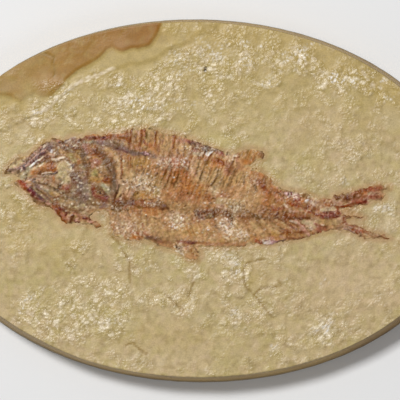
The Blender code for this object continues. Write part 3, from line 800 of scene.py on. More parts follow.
# Broad patches of the fish's ground: colour, share, middle, radii and, where they lean, degrees.
GROUND_PATCHES = (
    # head
    ("grey_brown", 0.75, (70, 190), (26, 22)), ("violet", 0.5, (37, 155), (19, 6), 42),
    ("mauve", 0.5, (68, 144), (13, 5)), ("violet", 0.45, (36, 195), (18, 4), -42),
    ("grey_brown", 0.45, (94, 150), (14, 6)), ("stone", 0.8, (25, 175), (7, 6), 30),
    ("stone", 0.8, (63, 170), (8, 10)), ("tan", 0.6, (66, 155), (12, 7)),
    ("olive", 0.25, (72, 160), (10, 14)), ("stone_pink", 0.55, (45, 182), (13, 9)),
    ("rust", 0.4, (92, 146), (9, 5)), ("rust_pink", 0.45, (94, 163), (8, 7)),
    ("stone_olive", 0.7, (94, 173), (5, 4)), ("tan", 0.5, (104, 162), (5, 6)),
    ("tan", 0.6, (116, 166), (4, 14)), ("stone", 0.6, (104, 188), (5, 5)),
    ("grey_brown", 0.6, (82, 204), (18, 8)), ("sage", 0.3, (80, 203), (12, 5)),
    ("sage", 0.35, (80, 194), (10, 8)), ("stone", 0.5, (50, 190), (9, 5), -30),
    ("brown", 0.4, (88, 150), (6, 6)), ("umber", 0.35, (104, 152), (8, 4), -20),
    ("umber", 0.35, (106, 170), (5, 10), 20),
    # shoulder and trunk
    ("tan", 0.5, (248, 157), (14, 8)), ("rust", 0.45, (116, 136), (16, 4)),
    ("sand", 0.55, (134, 138), (10, 8)), ("stone", 0.6, (150, 135), (5, 8)),
    ("sand", 0.6, (161, 140), (6, 12)), ("tan", 0.6, (166, 146), (8, 12)),
    ("rust_pink", 0.35, (182, 142), (8, 4), -10), ("sand", 0.6, (184, 148), (7, 7)),
    ("rust", 0.25, (134, 148), (8, 4)), ("ochre", 0.6, (140, 163), (10, 5)),
    ("tan", 0.6, (137, 170), (14, 5)), ("sand", 0.75, (131, 177), (8, 6)),
    ("stone_pink", 0.6, (122, 186), (7, 9)), ("stone_pink", 0.75, (143, 184), (12, 8)),
    ("stone_pink", 0.6, (153, 189), (8, 4)), ("ochre", 0.7, (158, 178), (4, 4)),
    ("sand", 0.6, (162, 184), (5, 5)), ("ochre", 0.75, (145, 195), (10, 5)),
    ("pink", 0.55, (130, 194), (4, 4)), ("stone_olive", 0.55, (157, 193), (4, 4)),
    ("pink", 0.55, (172, 163), (20, 7)), ("stone_pink", 0.5, (160, 160), (8, 4), -20),
    ("orange", 0.6, (180, 177), (15, 8)), ("rust", 0.25, (172, 172), (9, 4)),
    ("tan", 0.55, (180, 184), (6, 4)), ("orange", 0.65, (191, 190), (14, 7), -8),
    ("ochre", 0.45, (200, 190), (7, 5)), ("rust_pink", 0.4, (184, 198), (14, 6)),
    ("tan", 0.4, (168, 198), (8, 8)), ("orange", 0.3, (203, 198), (10, 6)),
    ("tan", 0.6, (197, 165), (6, 8)), ("pink", 0.45, (194, 173), (6, 5)),
    ("sand", 0.65, (204, 179), (9, 6)), ("sand", 0.6, (217, 177), (7, 10)),
    ("orange", 0.65, (216, 163), (9, 6)), ("ochre", 0.5, (209, 166), (6, 6)),
    ("stone_pink", 0.6, (230, 155), (6, 5), -30), ("rust_pink", 0.4, (228, 171), (7, 5)),
    ("ochre", 0.5, (225, 180), (8, 6)), ("ochre", 0.55, (239, 180), (7, 6)),
    ("tan", 0.6, (245, 190), (14, 10)), ("stone_pale", 0.5, (214, 191), (6, 5)),
    ("rust_pink", 0.45, (222, 194), (4, 6)), ("stone", 0.65, (222, 202), (9, 4)),
    ("stone", 0.6, (236, 206), (11, 6), -10), ("sand", 0.5, (182, 206), (12, 4)),
    ("grey_brown", 0.4, (120, 204), (10, 7)), ("grey_brown", 0.45, (164, 207), (7, 5)),
    ("grey_brown", 0.4, (206, 214), (14, 6)), ("grey_brown", 0.35, (228, 215), (9, 6)),
    ("rust_pink", 0.3, (200, 220), (10, 4)), ("tan", 0.6, (122, 214), (14, 3)),
    ("stone_pink", 0.5, (122, 227), (11, 10)), ("pink", 0.4, (132, 228), (7, 6)),
    ("orange", 0.4, (144, 212), (14, 5)), ("sand", 0.6, (146, 224), (16, 8)),
    ("orange", 0.3, (156, 213), (6, 5)), ("stone_pink", 0.65, (174, 217), (9, 6)),
    ("stone_pink", 0.5, (182, 222), (8, 6)), ("ochre", 0.5, (192, 231), (18, 7)),
    ("tan", 0.5, (206, 228), (12, 8)), ("stone_pink", 0.7, (227, 226), (10, 8)),
    ("mauve", 0.3, (226, 222), (7, 5)), ("stone_pink", 0.6, (240, 235), (10, 5)),
    ("sand", 0.5, (236, 228), (6, 4)), ("tan", 0.5, (262, 226), (18, 10)),
    ("rust_pink", 0.35, (152, 235), (10, 4)), ("rust_pink", 0.35, (182, 239), (14, 3)),
    ("ochre", 0.45, (250, 155), (12, 5)), ("tan", 0.7, (248, 170), (8, 5)),
    # tail stalk
    ("orange", 0.5, (270, 199), (14, 12)), ("tan", 0.6, (258, 197), (6, 8)),
    ("ochre", 0.4, (276, 206), (10, 6)), ("ochre", 0.45, (292, 234), (12, 4)),
    ("stone_pink", 0.8, (314, 203), (8, 5), -20), ("stone_pink", 0.8, (312, 224), (9, 7)),
    ("tan", 0.6, (300, 212), (14, 4)), ("rust_pink", 0.3, (300, 205), (18, 9)),
    # tail
    ("stone_pink", 0.85, (334, 206), (12, 9)), ("stone_olive", 0.7, (332, 222), (14, 4)),
    ("stone_pink", 0.85, (350, 218), (16, 9)), ("stone_pink", 0.8, (362, 200), (26, 14), 14),
    ("stone_pink", 0.7, (366, 232), (26, 9), -18), ("tan", 0.5, (346, 202), (9, 4), 10),
    ("rust_pink", 0.45, (358, 197), (13, 5), 16),
    # pelvic fin
    ("tan", 0.7, (188, 252), (12, 8), -20), ("stone_pink", 0.6, (180, 250), (5, 5)),
)

# Bones and stains of the head, among them white, cream and pink marks that are partly painted highlights:
# colour, share, half width, rise in mm, and then x and y of the line's points.
HEAD_MARKS = (
    ("umber", 0.55, 3.4, 0.1, 99, 152, 106, 159, 110, 168, 112.6, 179, 113.4, 192),
    ("slate", 0.45, 2.4, 0.05, 108, 164, 111.6, 172, 113, 184),
    # snout
    ("olive", 0.95, 1.84, 0.15, 4.6, 173, 6, 171, 8, 167.5, 9, 166.2),
    ("umber", 0.78, 1.15, 0.1, 9, 166.2, 11.5, 163.8, 14, 161.6, 16.5, 159.6, 19.5, 158),
    ("stone", 0.9, 2.5, 0, 10.5, 168, 14, 164.6, 19, 161.4),
    ("stone", 0.85, 2.4, 0, 18, 164.6, 22, 161, 25.4, 158.6),
    ("ochre", 0.55, 1.6, 0, 21, 158.4, 26, 155, 32, 151), ("rust", 0.4, 1.8, 0, 27, 160, 31, 156.5),
    ("umber", 0.62, 1.03, 0, 16.5, 179, 18, 176.5, 19, 174.5),
    # bone of the forehead, with a painted highlight as a white line below it
    ("mauve", 0.85, 3, 0.2, 10, 171, 15, 171, 20, 169.5, 26, 166.5, 30, 161.5),
    ("mauve", 0.75, 4.6, 0.25, 30, 161.5, 35, 157, 41, 152, 46, 148.5, 50, 148.5),
    ("violet", 0.5, 3.4, 0.05, 31, 160.5, 36, 156.4, 42, 151.4, 47, 148),
    ("rust", 0.45, 2.4, 0.05, 25, 160.5, 28, 158, 32, 154.5, 37, 151.5, 40, 148.5),
    ("pink", 0.55, 0.6, 0.05, 24, 165.4, 29, 161.8, 34, 157.4, 39, 153.4, 44, 150.4),
    ("umber", 0.6, 0.8, 0.05, 26, 162.4, 32, 156.8, 38, 151.8, 44, 147.2),
    ("umber", 0.56, 1.15, 0.05, 23, 161.5, 27, 159, 31, 155, 35, 151),
    ("stone_pale", 0.6, 1.2, 0, 12.5, 166.5, 15, 167),
    ("grey_brown", 0.7, 1.9, 0.1, 9.5, 171.8, 12, 170.6, 16, 170.6),
    ("umber", 0.72, 1.9, 0.1, 14.5, 173.4, 17, 172, 19, 171),
    ("violet", 0.78, 1.38, 0.05, 20, 168.3, 23, 167, 25, 164),
    ("violet", 0.84, 2.18, 0.05, 24, 168.8, 26.5, 168, 27.5, 170),
    ("pink", 0.75, 1, 0.1, 25, 166.3, 27, 164.6, 29, 163.5),
    ("cream", 0.75, 0.9, 0.1, 20.5, 171, 20.8, 169.5), ("cream", 0.75, 0.9, 0.1, 26.8, 171.8, 27.8, 171),
    ("dark_red", 0.95, 1.95, 0.1, 30.5, 162.5, 34, 160.3, 37, 157.2, 41, 154, 44, 152.2),
    ("violet", 0.67, 2.07, 0, 34, 159, 38, 155.5, 43, 152),
    ("pink", 0.8, 0.6, 0.1, 31, 159.6, 33, 157.6, 36, 155, 38.6, 153.2),
    ("umber", 0.84, 1.15, 0.1, 40.5, 146, 43, 144, 46.5, 142.6, 50, 142.8, 53.5, 144.3),
    ("violet", 0.95, 2.3, 0.1, 48, 145, 50.5, 146.5, 50, 150),
    ("umber", 0.5, 1.38, 0, 45, 151, 48, 149, 49.5, 151.5),
    ("pink", 0.85, 0.9, 0.1, 40.3, 147.6, 40.8, 146.6), ("cream", 0.8, 0.8, 0.1, 43.2, 147.4, 44.2, 145.4),
    ("pink", 0.6, 0.8, 0.1, 45.8, 148, 46.5, 146.6), ("pink", 0.55, 1, 0.1, 41, 151.5, 43, 150.5),
    ("white", 0.95, 1.2, 0.15, 50.3, 152.2, 51.5, 150.8),
    ("cream", 0.85, 0.9, 0.1, 52.5, 149.8, 53.5, 150.5), ("cream", 0.9, 1, 0.1, 53.8, 153.4, 54.6, 153),
    ("sage", 0.8, 1.9, 0, 21, 178, 23, 174.5, 26.5, 171, 29, 168, 31, 166),
    ("white", 0.85, 1.1, 0.15, 29.6, 166.7, 31.6, 165.6, 33.2, 163.7),
    ("white", 0.9, 0.9, 0.15, 32, 164.4, 35, 162, 37.4, 160.5),
    ("cream", 0.95, 0.9, 0.12, 37.4, 160.6, 40, 158.6, 42.6, 157),
    ("cream", 0.85, 1, 0.05, 22.8, 174.8, 23.6, 173.8), ("dark", 0.67, 1.03, 0, 27, 169.5, 28, 168.3),
    ("dark", 0.56, 0.92, 0, 30.8, 168, 32.5, 166.4),
    # below the forehead
    ("rust", 0.7, 2.4, 0.1, 42.5, 160, 46, 157.5, 50, 157, 54, 158),
    ("violet", 0.45, 1.72, 0, 44, 158.5, 49, 156),
    ("dark_red", 0.67, 1.15, 0.05, 36, 163.5, 38.5, 162.3, 41, 160.5),
    ("umber", 0.84, 1.38, 0.05, 35, 165.5, 38, 164.4, 42, 161.8, 48, 161.6, 53, 162, 58, 161.2),
    ("pink", 0.7, 0.7, 0.1, 43.5, 156.5, 46, 154.6, 49, 154.5, 52.5, 154.6),
    ("cream", 0.8, 1, 0.1, 54.6, 159.8, 57.5, 160, 60.5, 159, 64.5, 157.3),
    ("umber", 0.56, 1.84, 0.05, 55, 157, 57.5, 154, 60, 156),
    ("ochre", 0.6, 1.6, 0, 57, 149.5, 62, 152.5, 66, 154),
    ("cream", 0.7, 0.8, 0.05, 58.3, 149, 58.5, 147.5),
    ("umber", 0.67, 1.38, 0.05, 60, 160.5, 64, 160, 69, 161),
    # orange bone in front of the eye
    ("orange", 0.72, 3.5, 0.15, 33, 172, 39, 169.5, 46, 167.5, 53, 167.5),
    ("tan", 0.5, 1.8, 0.05, 34, 169.6, 39, 168.4, 43, 167), ("tan", 0.45, 1.5, 0, 36, 171, 39, 170.4),
    ("orange", 0.55, 2.6, 0.1, 48, 170, 54, 169.8, 55.5, 170.5),
    ("rust", 0.45, 2.2, 0.05, 49, 165.5, 53, 166.5, 54.5, 169),
    ("brown", 0.45, 1.6, 0.05, 34, 174, 37, 173.6, 40, 172.4),
    ("pink", 0.4, 1.2, 0.05, 35, 170.5, 39, 169.5),
    ("sand", 0.75, 1.3, 0.05, 33.5, 169.8, 37, 166.6, 41, 164.4, 44.5, 162.8),
    ("cream", 0.9, 0.9, 0.1, 39, 166.8, 40.8, 165.2, 42.5, 163.8),
    ("brown", 0.85, 1.7, 0, 39, 174.2, 40.3, 172.4), ("rust", 0.9, 1, 0, 51.3, 162.5, 51.6, 164.4),
    ("rust", 0.92, 1.4, 0, 51.2, 168.2, 51.5, 171.6),
    ("brown", 0.78, 1.03, 0, 54, 172, 56.5, 172.3, 57.5, 170.5),
    ("cream", 0.75, 0.7, 0.08, 41.5, 174.3, 45, 173.3, 48, 172.5, 51, 172.3),
    ("dark", 0.84, 0.8, 0, 42, 175.2, 46, 174.8, 50, 174, 54, 173.8, 57.5, 172.9),
    ("dark", 0.84, 1.38, 0.05, 26.2, 174.8, 25.4, 177.6, 24.8, 179.6),
    ("rust_pink", 0.55, 1.7, 0.05, 28, 178, 32, 177.4, 35, 176.6),
    ("pink", 0.9, 1.5, 0.1, 28.4, 180.6, 31.4, 180), ("cream", 0.5, 0.9, 0, 28.8, 180.6, 31, 180),
    ("dark", 0.73, 0.92, 0, 32.8, 179.3, 35.2, 179.6),
    # cheek in front, with a small ring of bone
    ("pink", 0.65, 1, 0.1, 38.8, 181, 40, 178, 43, 177, 45.3, 178.6, 45.6, 182),
    ("ochre", 0.5, 1.2, 0, 42, 181, 43.2, 181.2),
    ("umber", 0.73, 0.92, 0, 37.5, 181, 38.5, 183.5, 41.5, 184.6),
    ("rust", 0.9, 1.1, 0.05, 43.5, 184.6, 46.3, 184.9), ("rust", 0.75, 0.8, 0.05, 47.6, 180.5, 47.5, 183.5),
    ("umber", 0.5, 0.92, 0, 45.7, 178, 46, 180), ("orange", 0.55, 1.8, 0.1, 53, 177.5, 53.6, 182),
    ("pink", 0.55, 1, 0.05, 49.5, 180, 51.5, 183.5, 54.5, 184.5),
    ("umber", 0.84, 1.03, 0, 47.5, 184.8, 50, 186.5, 53, 188.2, 56, 190.2),
    ("brown", 0.85, 1.4, 0.05, 43.6, 184.3, 46.4, 184.7), ("rust", 0.75, 1.8, 0.05, 47.6, 169.6, 51, 170.6),
    ("stone", 0.45, 3.6, 0, 60, 167, 62.6, 173, 64, 178.6),
    ("dark", 0.73, 1.15, 0, 53.5, 188.4, 56.2, 190.4), ("olive", 0.95, 1.72, 0, 58, 188.2, 59.2, 186),
    ("brown", 0.62, 0.92, 0, 56.2, 183.5, 57.5, 185),
    ("mauve", 0.55, 1.6, 0.05, 34, 182, 35.5, 186, 39, 189), ("sage", 0.6, 2.2, 0, 43, 188.5, 47, 191),
    ("pink", 0.45, 1.6, 0.05, 39, 186.5, 44, 187, 48, 189),
    ("ochre", 0.75, 1.6, 0.05, 51.5, 193.5, 53, 196), ("sand", 0.6, 1.6, 0.05, 56, 192, 57, 195.5),
    ("rust", 0.5, 1.4, 0.05, 54, 197.5, 58, 197, 62, 196),
    ("rust_pink", 0.85, 3.2, 0.15, 64.5, 187.5, 68.5, 186.5), ("plum", 0.67, 1.49, 0, 66, 188.6, 68, 188),
    ("orange", 0.4, 1.2, 0.05, 64, 185.5, 67, 184), ("cream", 0.85, 0.9, 0.08, 62, 183, 63.4, 182.4),
    ("brown", 0.84, 1.15, 0.05, 60, 193.5, 63, 192.4, 68, 192.3, 71, 191),
    ("umber", 0.56, 2.07, 0.05, 56.5, 200.6, 62, 200, 66, 198.5),
    ("sage", 0.6, 1.4, 0, 49.5, 201.5, 51, 203), ("cream", 0.7, 0.9, 0.05, 54, 199.8, 55.2, 199.5),
    ("cream", 0.7, 0.9, 0.05, 54, 202.8, 55.6, 202.4),
    # lower jaw
    ("dark", 0.95, 1.26, 0.1, 12.8, 182.6, 14, 183, 15.6, 184.4),
    ("umber", 0.78, 1.03, 0.05, 16.5, 186, 18, 187.5),
    ("rust", 0.85, 1.5, 0.15, 17, 181.2, 19.5, 181.8, 22, 181.2),
    ("red", 0.78, 2.7, 0.2, 19, 182.8, 22.5, 184.8, 25, 187.5),
    ("rust", 0.75, 1.3, 0.05, 21.8, 188, 24.5, 189.6, 26.5, 188),
    ("rust_pink", 0.85, 1.1, 0.1, 23, 182, 25.8, 183), ("pink", 0.55, 1, 0.05, 18, 184.3, 20, 186.8),
    ("pink", 0.8, 1, 0.1, 28, 187.2, 29.6, 186.2),
    ("dark_red", 0.95, 2.42, 0.2, 28.2, 190.2, 31.5, 190.3, 33.5, 193, 35.3, 195),
    ("plum", 0.73, 2.07, 0.05, 29, 190, 33.5, 193.5, 35, 195.5),
    ("dark", 0.84, 1.26, 0, 30.2, 187.6, 31.6, 187.4, 33, 189.5),
    ("dark_red", 0.9, 1.38, 0.05, 30.8, 195, 33.5, 197.2, 37.5, 199.2, 40, 199.6),
    ("pink", 0.85, 0.7, 0.08, 30.3, 193.6, 30.7, 192.4), ("pink", 0.85, 0.8, 0.08, 35.2, 197, 36.2, 196.2),
    ("umber", 0.95, 1.61, 0.1, 35.5, 188, 37, 190.6, 40, 192.6, 42.5, 193.8, 45, 194.5),
    ("violet", 0.8, 2.4, 0.2, 36.5, 193, 39, 196.6, 43, 199, 47, 201),
    ("rust_pink", 0.35, 1.4, 0, 43, 199.8, 48, 201.4),
    ("dark", 0.45, 1.38, 0, 37.5, 195, 41.5, 197.6, 45, 198),
    ("mauve", 0.85, 0.9, 0.1, 42, 195.6, 45, 196.2, 48, 198.6, 50, 200.6),
    ("pink", 0.55, 0.8, 0.05, 41.3, 201.4, 43.5, 203),
    ("umber", 0.84, 1.95, 0.1, 33.5, 200.5, 37, 202.3, 41, 203.6, 45, 203.4),
    ("sand", 0.75, 1.5, 0.05, 30.5, 200.2, 32.5, 203, 35, 205.2),
    ("stone_pink", 0.75, 1.8, 0, 23, 192, 26.5, 196, 30, 198.5),
    ("umber", 0.5, 0.8, 0, 28, 200.5, 30.5, 201.5, 31, 204),
    ("pink", 0.65, 1.2, 0.08, 45.5, 203.8, 49.5, 204.2),
    ("umber", 0.95, 1.15, 0.05, 44.6, 205.4, 47, 206.2, 49.8, 207, 51.6, 208.6),
    ("pink", 0.55, 1, 0.05, 40.5, 206.5, 43.5, 206.2),
    # throat
    ("rust_pink", 0.92, 3, 0.2, 54, 206.8, 57.5, 206.6, 56, 209, 59, 211),
    ("rust", 0.55, 2.4, 0, 53.6, 205.4, 57, 206, 60, 211),
    ("rust", 0.8, 1.2, 0.1, 53, 203.8, 57.5, 203.6, 59.8, 205.8, 59.4, 210),
    ("umber", 0.84, 1.15, 0.05, 51.4, 209, 52.3, 212, 54.6, 214.6),
    ("pink", 0.75, 1.3, 0.05, 54.6, 211.4, 56, 212.8),
    ("rust", 0.92, 1.7, 0.15, 57, 211, 59, 214.5, 61, 218, 63, 221, 65.5, 223),
    ("deep_orange", 0.6, 1.6, 0.05, 62.5, 219.6, 66.2, 222.6),
    ("olive", 0.56, 1.03, 0, 59.5, 213, 60.5, 217, 63, 221),
    ("dark_red", 0.9, 1.84, 0.1, 60.5, 209, 64.5, 210.2, 66.2, 213.5, 65, 216),
    ("brown", 0.84, 1.38, 0.05, 64, 209.6, 66, 211.4),
    ("rust_pink", 0.8, 1.8, 0.1, 62, 213.5, 64, 217.5, 67, 219.5),
    ("cream", 0.65, 0.8, 0.05, 61.4, 203.4, 61.5, 207),
    ("pink", 0.75, 1, 0.05, 69.6, 216.2, 72, 215, 74.6, 214.8),
    ("pink", 0.45, 1.2, 0.05, 68, 216, 68.6, 221), ("dark_red", 0.67, 1.38, 0.05, 67, 212, 70, 212.6),
    ("umber", 0.67, 1.38, 0.05, 69, 207, 70, 209.5, 73, 211.5),
    ("brown", 0.95, 1.84, 0.15, 73, 216, 71.6, 219, 70, 223.6),
    ("dark_red", 0.95, 1.26, 0.1, 75.4, 221, 76.6, 222.6, 79.5, 222),
    ("pink", 0.8, 0.9, 0.1, 76, 221, 77.6, 218.8, 79.6, 218),
    ("rust_pink", 0.6, 1.4, 0.05, 73, 213, 77, 214, 80, 215.5),
    ("rust_pink", 0.9, 1.9, 0.15, 79.5, 217, 84, 217.6, 88, 219.4, 92, 221.4, 95, 221.6),
    ("dark_red", 0.84, 1.26, 0.1, 84, 218.6, 87, 218.6, 90.2, 217),
    ("dark_red", 0.9, 1.15, 0.05, 89.6, 220, 91, 219.6),
    ("dark_red", 0.78, 1.03, 0.05, 94.6, 219.6, 95.6, 222, 91, 223.6),
    ("pink", 0.75, 0.7, 0.08, 87.5, 221.5, 90.5, 222.4, 94, 220.6),
    ("pink", 0.75, 0.8, 0.05, 84, 216, 86.6, 215.6),
    ("umber", 0.62, 1.15, 0.05, 80, 224.4, 84, 224.6, 88, 225.4),
    ("rust", 0.92, 1.9, 0.2, 97, 226.4, 99.5, 225.8, 101, 227),
    ("pink", 0.75, 1, 0.08, 93.6, 224.3, 96, 224),
    ("dark", 0.9, 1.15, 0.05, 91, 215.8, 93.4, 213.8, 95.6, 212.4, 98.2, 212),
    ("umber", 0.67, 0.69, 0, 99.3, 211, 99.4, 213.5), ("orange", 0.4, 2, 0.05, 84, 209, 90, 211, 96, 209),
    # skull roof
    ("olive", 0.95, 1.38, 0.1, 50.8, 137.8, 53, 138.8, 55.5, 138.2),
    ("rust_pink", 0.65, 2, 0.1, 56, 140.5, 60, 141.5),
    ("dark_red", 0.9, 1.03, 0.05, 57.6, 142.6, 59.4, 142.4),
    ("rust", 0.9, 1.4, 0.15, 61.5, 141, 63, 143.6, 61, 145),
    ("violet", 0.84, 1.49, 0.1, 64.4, 142.5, 65.4, 140, 68, 139),
    ("umber", 0.95, 1.26, 0.1, 63.5, 138.6, 67.8, 138.2), ("mauve", 0.7, 2, 0.05, 68, 136.8, 74, 138.6),
    ("cream", 0.8, 1.8, 0.1, 70, 133.6, 73, 135, 75, 136.4),
    ("cream", 0.55, 1.1, 0.12, 67.8, 141, 69.4, 140.4, 69.6, 138.4),
    ("cream", 0.8, 1.1, 0.12, 65.4, 142.6, 66.2, 141.8),
    ("cream", 0.85, 1.1, 0.12, 61.6, 145.8, 63.6, 145.8),
    ("orange", 0.7, 1, 0.05, 65.2, 145.6, 66.8, 145.8),
    ("rust", 0.85, 1, 0.05, 63.5, 148, 66, 147.2, 68, 147.2),
    ("brown", 0.95, 1.95, 0.2, 69, 145.4, 70.5, 147.6, 74, 148.6, 78.5, 148.6),
    ("violet", 0.56, 1.38, 0.05, 69, 144.5, 72, 147.6), ("umber", 0.73, 1.03, 0.05, 72, 143, 73.5, 143.4),
    ("cream", 0.75, 0.9, 0.1, 73, 146.6, 75.4, 145, 76.6, 146.2),
    ("cream", 0.75, 0.9, 0.1, 66.6, 148.8, 69, 150.2, 71.2, 150.6),
    ("umber", 0.67, 1.38, 0.05, 66, 150.6, 72, 152.4, 79, 150.6),
    ("dark_red", 0.95, 1.15, 0.15, 75, 142.4, 78, 140.8, 80.6, 139, 83, 137.8, 85, 137),
    ("plum", 0.5, 1.61, 0.05, 78, 141.5, 81, 139.5), ("pink", 0.95, 1.1, 0.12, 76.6, 143, 79.4, 142.4),
    ("white", 0.8, 0.7, 0.05, 77.2, 142.8, 78, 142.5),
    ("rust_pink", 0.8, 1.8, 0.15, 81, 137, 86, 137, 92, 136.6, 97, 137.6),
    ("dark_red", 0.66, 1.9, 0.05, 80.4, 139.8, 84, 138, 90, 138.8, 97, 138.4, 104, 138.6, 109.4, 138),
    ("dark_red", 0.95, 1.15, 0.1, 88, 139.8, 89, 138.4, 92, 138, 95, 137),
    ("umber", 0.6, 1.4, 0.05, 56, 145.6, 60, 147.6, 65, 148.6),
    ("umber", 0.55, 1.6, 0.05, 58, 143.4, 62, 142, 66, 143.6),
    ("red", 0.35, 1.4, 0, 98, 139.6, 104, 139.8, 110, 140.2),
    ("dark_red", 0.67, 1.03, 0.05, 92.5, 139.6, 95, 139.2),
    ("rust", 0.75, 1.8, 0.15, 97.5, 138.4, 103, 138, 109, 137.6),
    ("dark_red", 0.95, 1.15, 0.05, 102.5, 137.6, 104.4, 137.2),
    ("rust_pink", 0.85, 1.1, 0.1, 106, 138.2, 108, 137.8, 109.6, 136.6),
    ("umber", 0.62, 1.03, 0.05, 104, 134.6, 107, 134.6),
    ("orange", 0.5, 1.6, 0.05, 82, 134.8, 92, 134.4, 103, 134.8, 112, 133.4),
    ("sage", 0.7, 1.5, 0, 83.5, 142, 87, 142.4, 91, 142), ("slate", 0.78, 1.72, 0.05, 93, 142.4, 97, 142.6),
    ("rust_pink", 0.55, 2.6, 0.05, 84, 146, 85.4, 150, 86.4, 154),
    ("mauve", 0.55, 2, 0.05, 84, 146, 85, 150, 86, 153.5), ("ochre", 0.6, 2.6, 0.05, 89, 147, 92, 147.5),
    ("rust", 0.5, 1.4, 0.05, 94, 146, 97, 147.5), ("pink", 0.8, 0.8, 0.08, 93.5, 149.4, 95.6, 149),
    ("cream", 0.8, 1, 0.08, 102.4, 145.2, 103.8, 145.6),
    # cheek behind the eye
    ("umber", 0.9, 2.4, 0.05, 81.2, 149, 82, 154, 83, 159, 84.4, 164, 86, 168, 87, 173),
    ("brown", 0.56, 1.26, 0, 81.5, 152, 83, 158), ("rust", 0.8, 1.1, 0.05, 86.6, 170, 87.6, 173.5),
    ("ochre", 0.55, 2.4, 0, 78, 152, 78.6, 158), ("umber", 0.56, 1.26, 0, 77.4, 152.5, 77.6, 154.5),
    ("umber", 0.56, 1.26, 0, 77, 159.4, 78.4, 158.6), ("orange", 0.45, 1.8, 0.05, 78, 161, 78.4, 164),
    ("stone_olive", 0.7, 3, 0, 70, 156, 73.5, 160),
    ("cream", 0.8, 0.9, 0.08, 66.6, 162.8, 69, 164.6, 71, 165),
    ("violet", 0.78, 2.53, 0.1, 72, 166.4, 74, 170), ("cream", 0.8, 1, 0.12, 71, 167.4, 71, 169.6),
    ("cream", 0.9, 1, 0.1, 72, 171.6, 73.6, 171.4), ("pink", 0.65, 0.9, 0.08, 73.2, 169.2, 75, 168.8),
    ("umber", 0.62, 1.26, 0, 67.6, 174.5, 67.8, 177.5), ("sage", 0.5, 2.4, 0, 80.5, 166, 83, 168.5),
    ("dark_red", 0.84, 1.26, 0.05, 70.6, 176.6, 74, 177.4, 77, 176.6, 79.5, 178.6),
    ("mauve", 0.75, 1.8, 0.1, 76.5, 175.5, 78, 179), ("cream", 0.7, 0.8, 0.1, 76.6, 178.8, 77.4, 178),
    ("cream", 0.7, 0.8, 0.1, 78, 181.6, 79, 180.8), ("slate", 0.67, 3.4, 0.05, 80, 182.5, 80, 188, 78, 194),
    ("umber", 0.62, 1.15, 0, 82, 172.4, 83, 173), ("pink", 0.7, 1, 0.08, 85.4, 174.4, 86.4, 175.2),
    ("cream", 0.85, 0.9, 0.1, 78.3, 185.2, 78.3, 187), ("cream", 0.6, 0.9, 0.1, 82.4, 189, 83.6, 188.8),
    ("cream", 0.7, 1.4, 0.1, 73, 195, 75, 193.8), ("cream", 0.8, 0.9, 0.1, 90, 199.4, 90.8, 199),
    ("grey_brown", 0.67, 2.8, 0.05, 76, 196, 84, 199, 90, 197),
    ("brown", 0.56, 1.38, 0, 75.5, 191.5, 79.5, 195),
    ("brown", 0.56, 1.15, 0, 73.6, 200.6, 75.4, 203, 77.6, 207.4),
    ("sand", 0.6, 2.4, 0, 72, 206.6, 77, 204.5, 84, 206), ("umber", 0.56, 1.15, 0, 84.5, 200.6, 88, 203.5),
    ("umber", 0.56, 1.38, 0.05, 73, 210, 78, 212, 84, 208.6),
    # gill cover
    ("dark_red", 0.95, 1.26, 0.05, 92.2, 151.2, 96, 151),
    ("pink", 0.85, 0.7, 0.08, 92.6, 153.4, 94.8, 153.2), ("rust", 0.85, 1, 0.05, 91, 155, 94.6, 154.8),
    ("brown", 0.95, 1.61, 0.1, 95.6, 153, 99, 153.4, 101.6, 154.4),
    ("pink", 0.75, 0.6, 0.08, 99.4, 155.6, 102.6, 155), ("dark", 0.73, 1.03, 0, 98, 156.4, 101.6, 157.8),
    ("rust", 0.5, 2, 0.1, 104, 154.5, 108, 157, 112, 161.5, 114.6, 167, 115.5, 172),
    ("olive", 0.9, 2.7, 0.05, 102.4, 157.6, 105, 159.4, 107.4, 161.4),
    ("umber", 0.85, 3, 0.08, 107.6, 161.8, 110.2, 166.4, 111.4, 171),
    ("brown", 0.6, 2.2, 0.05, 106.6, 159, 109.6, 163, 110.8, 167.4, 111.4, 171),
    ("umber", 0.67, 2.3, 0, 105, 160.5, 109.5, 164.5, 110.6, 169),
    ("grey_brown", 0.85, 3.8, 0.15, 111.6, 168, 113, 174, 113.8, 181, 113.6, 188, 112.8, 194),
    ("slate", 0.85, 2.5, 0.15, 112.6, 172, 114, 178, 114.6, 184, 114, 189, 113.4, 193.6),
    ("umber", 0.56, 1.61, 0.05, 115.6, 176, 116.6, 182), ("dark", 0.56, 1.03, 0, 112.2, 176, 113, 180.5),
    ("rust_pink", 0.75, 3.2, 0.05, 94, 161.5, 98.5, 162.6),
    ("pink", 0.7, 1.4, 0.08, 92.4, 164.8, 93, 166.6), ("ochre", 0.5, 1, 0, 91, 158.8, 95, 157.6, 99.5, 159),
    ("umber", 0.67, 1.61, 0.05, 88, 160, 89.4, 166), ("stone_olive", 0.75, 2.2, 0, 94.8, 171, 95, 175.4),
    ("cream", 0.6, 0.8, 0.08, 100, 167.6, 101.6, 167.2),
    ("cream", 0.7, 0.8, 0.08, 103, 164.6, 103.8, 163.8),
    ("cream", 0.55, 0.8, 0.08, 109.4, 172.6, 109.6, 174.6),
    ("pink", 0.7, 0.8, 0.08, 104, 175, 105.2, 174.8), ("umber", 0.62, 1.15, 0, 99, 172.4, 103, 174),
    ("olive", 0.67, 0.92, 0, 96, 176.2, 99, 177.4, 102, 176.8),
    ("ochre", 0.7, 1.6, 0.05, 90, 178.5, 96, 179.6, 102, 178.6),
    ("olive", 0.73, 2.07, 0.05, 105, 177, 108.5, 176.6), ("rust", 0.92, 3.2, 0.15, 106, 180.4, 109, 180),
    ("deep_orange", 0.75, 2.2, 0.05, 109.8, 177.6, 110, 183),
    ("orange", 0.6, 1.4, 0.1, 94, 181.6, 99, 181.6, 103, 180.8),
    ("rust", 0.7, 2, 0.05, 102.6, 181.6, 106, 182.4, 110, 182.6),
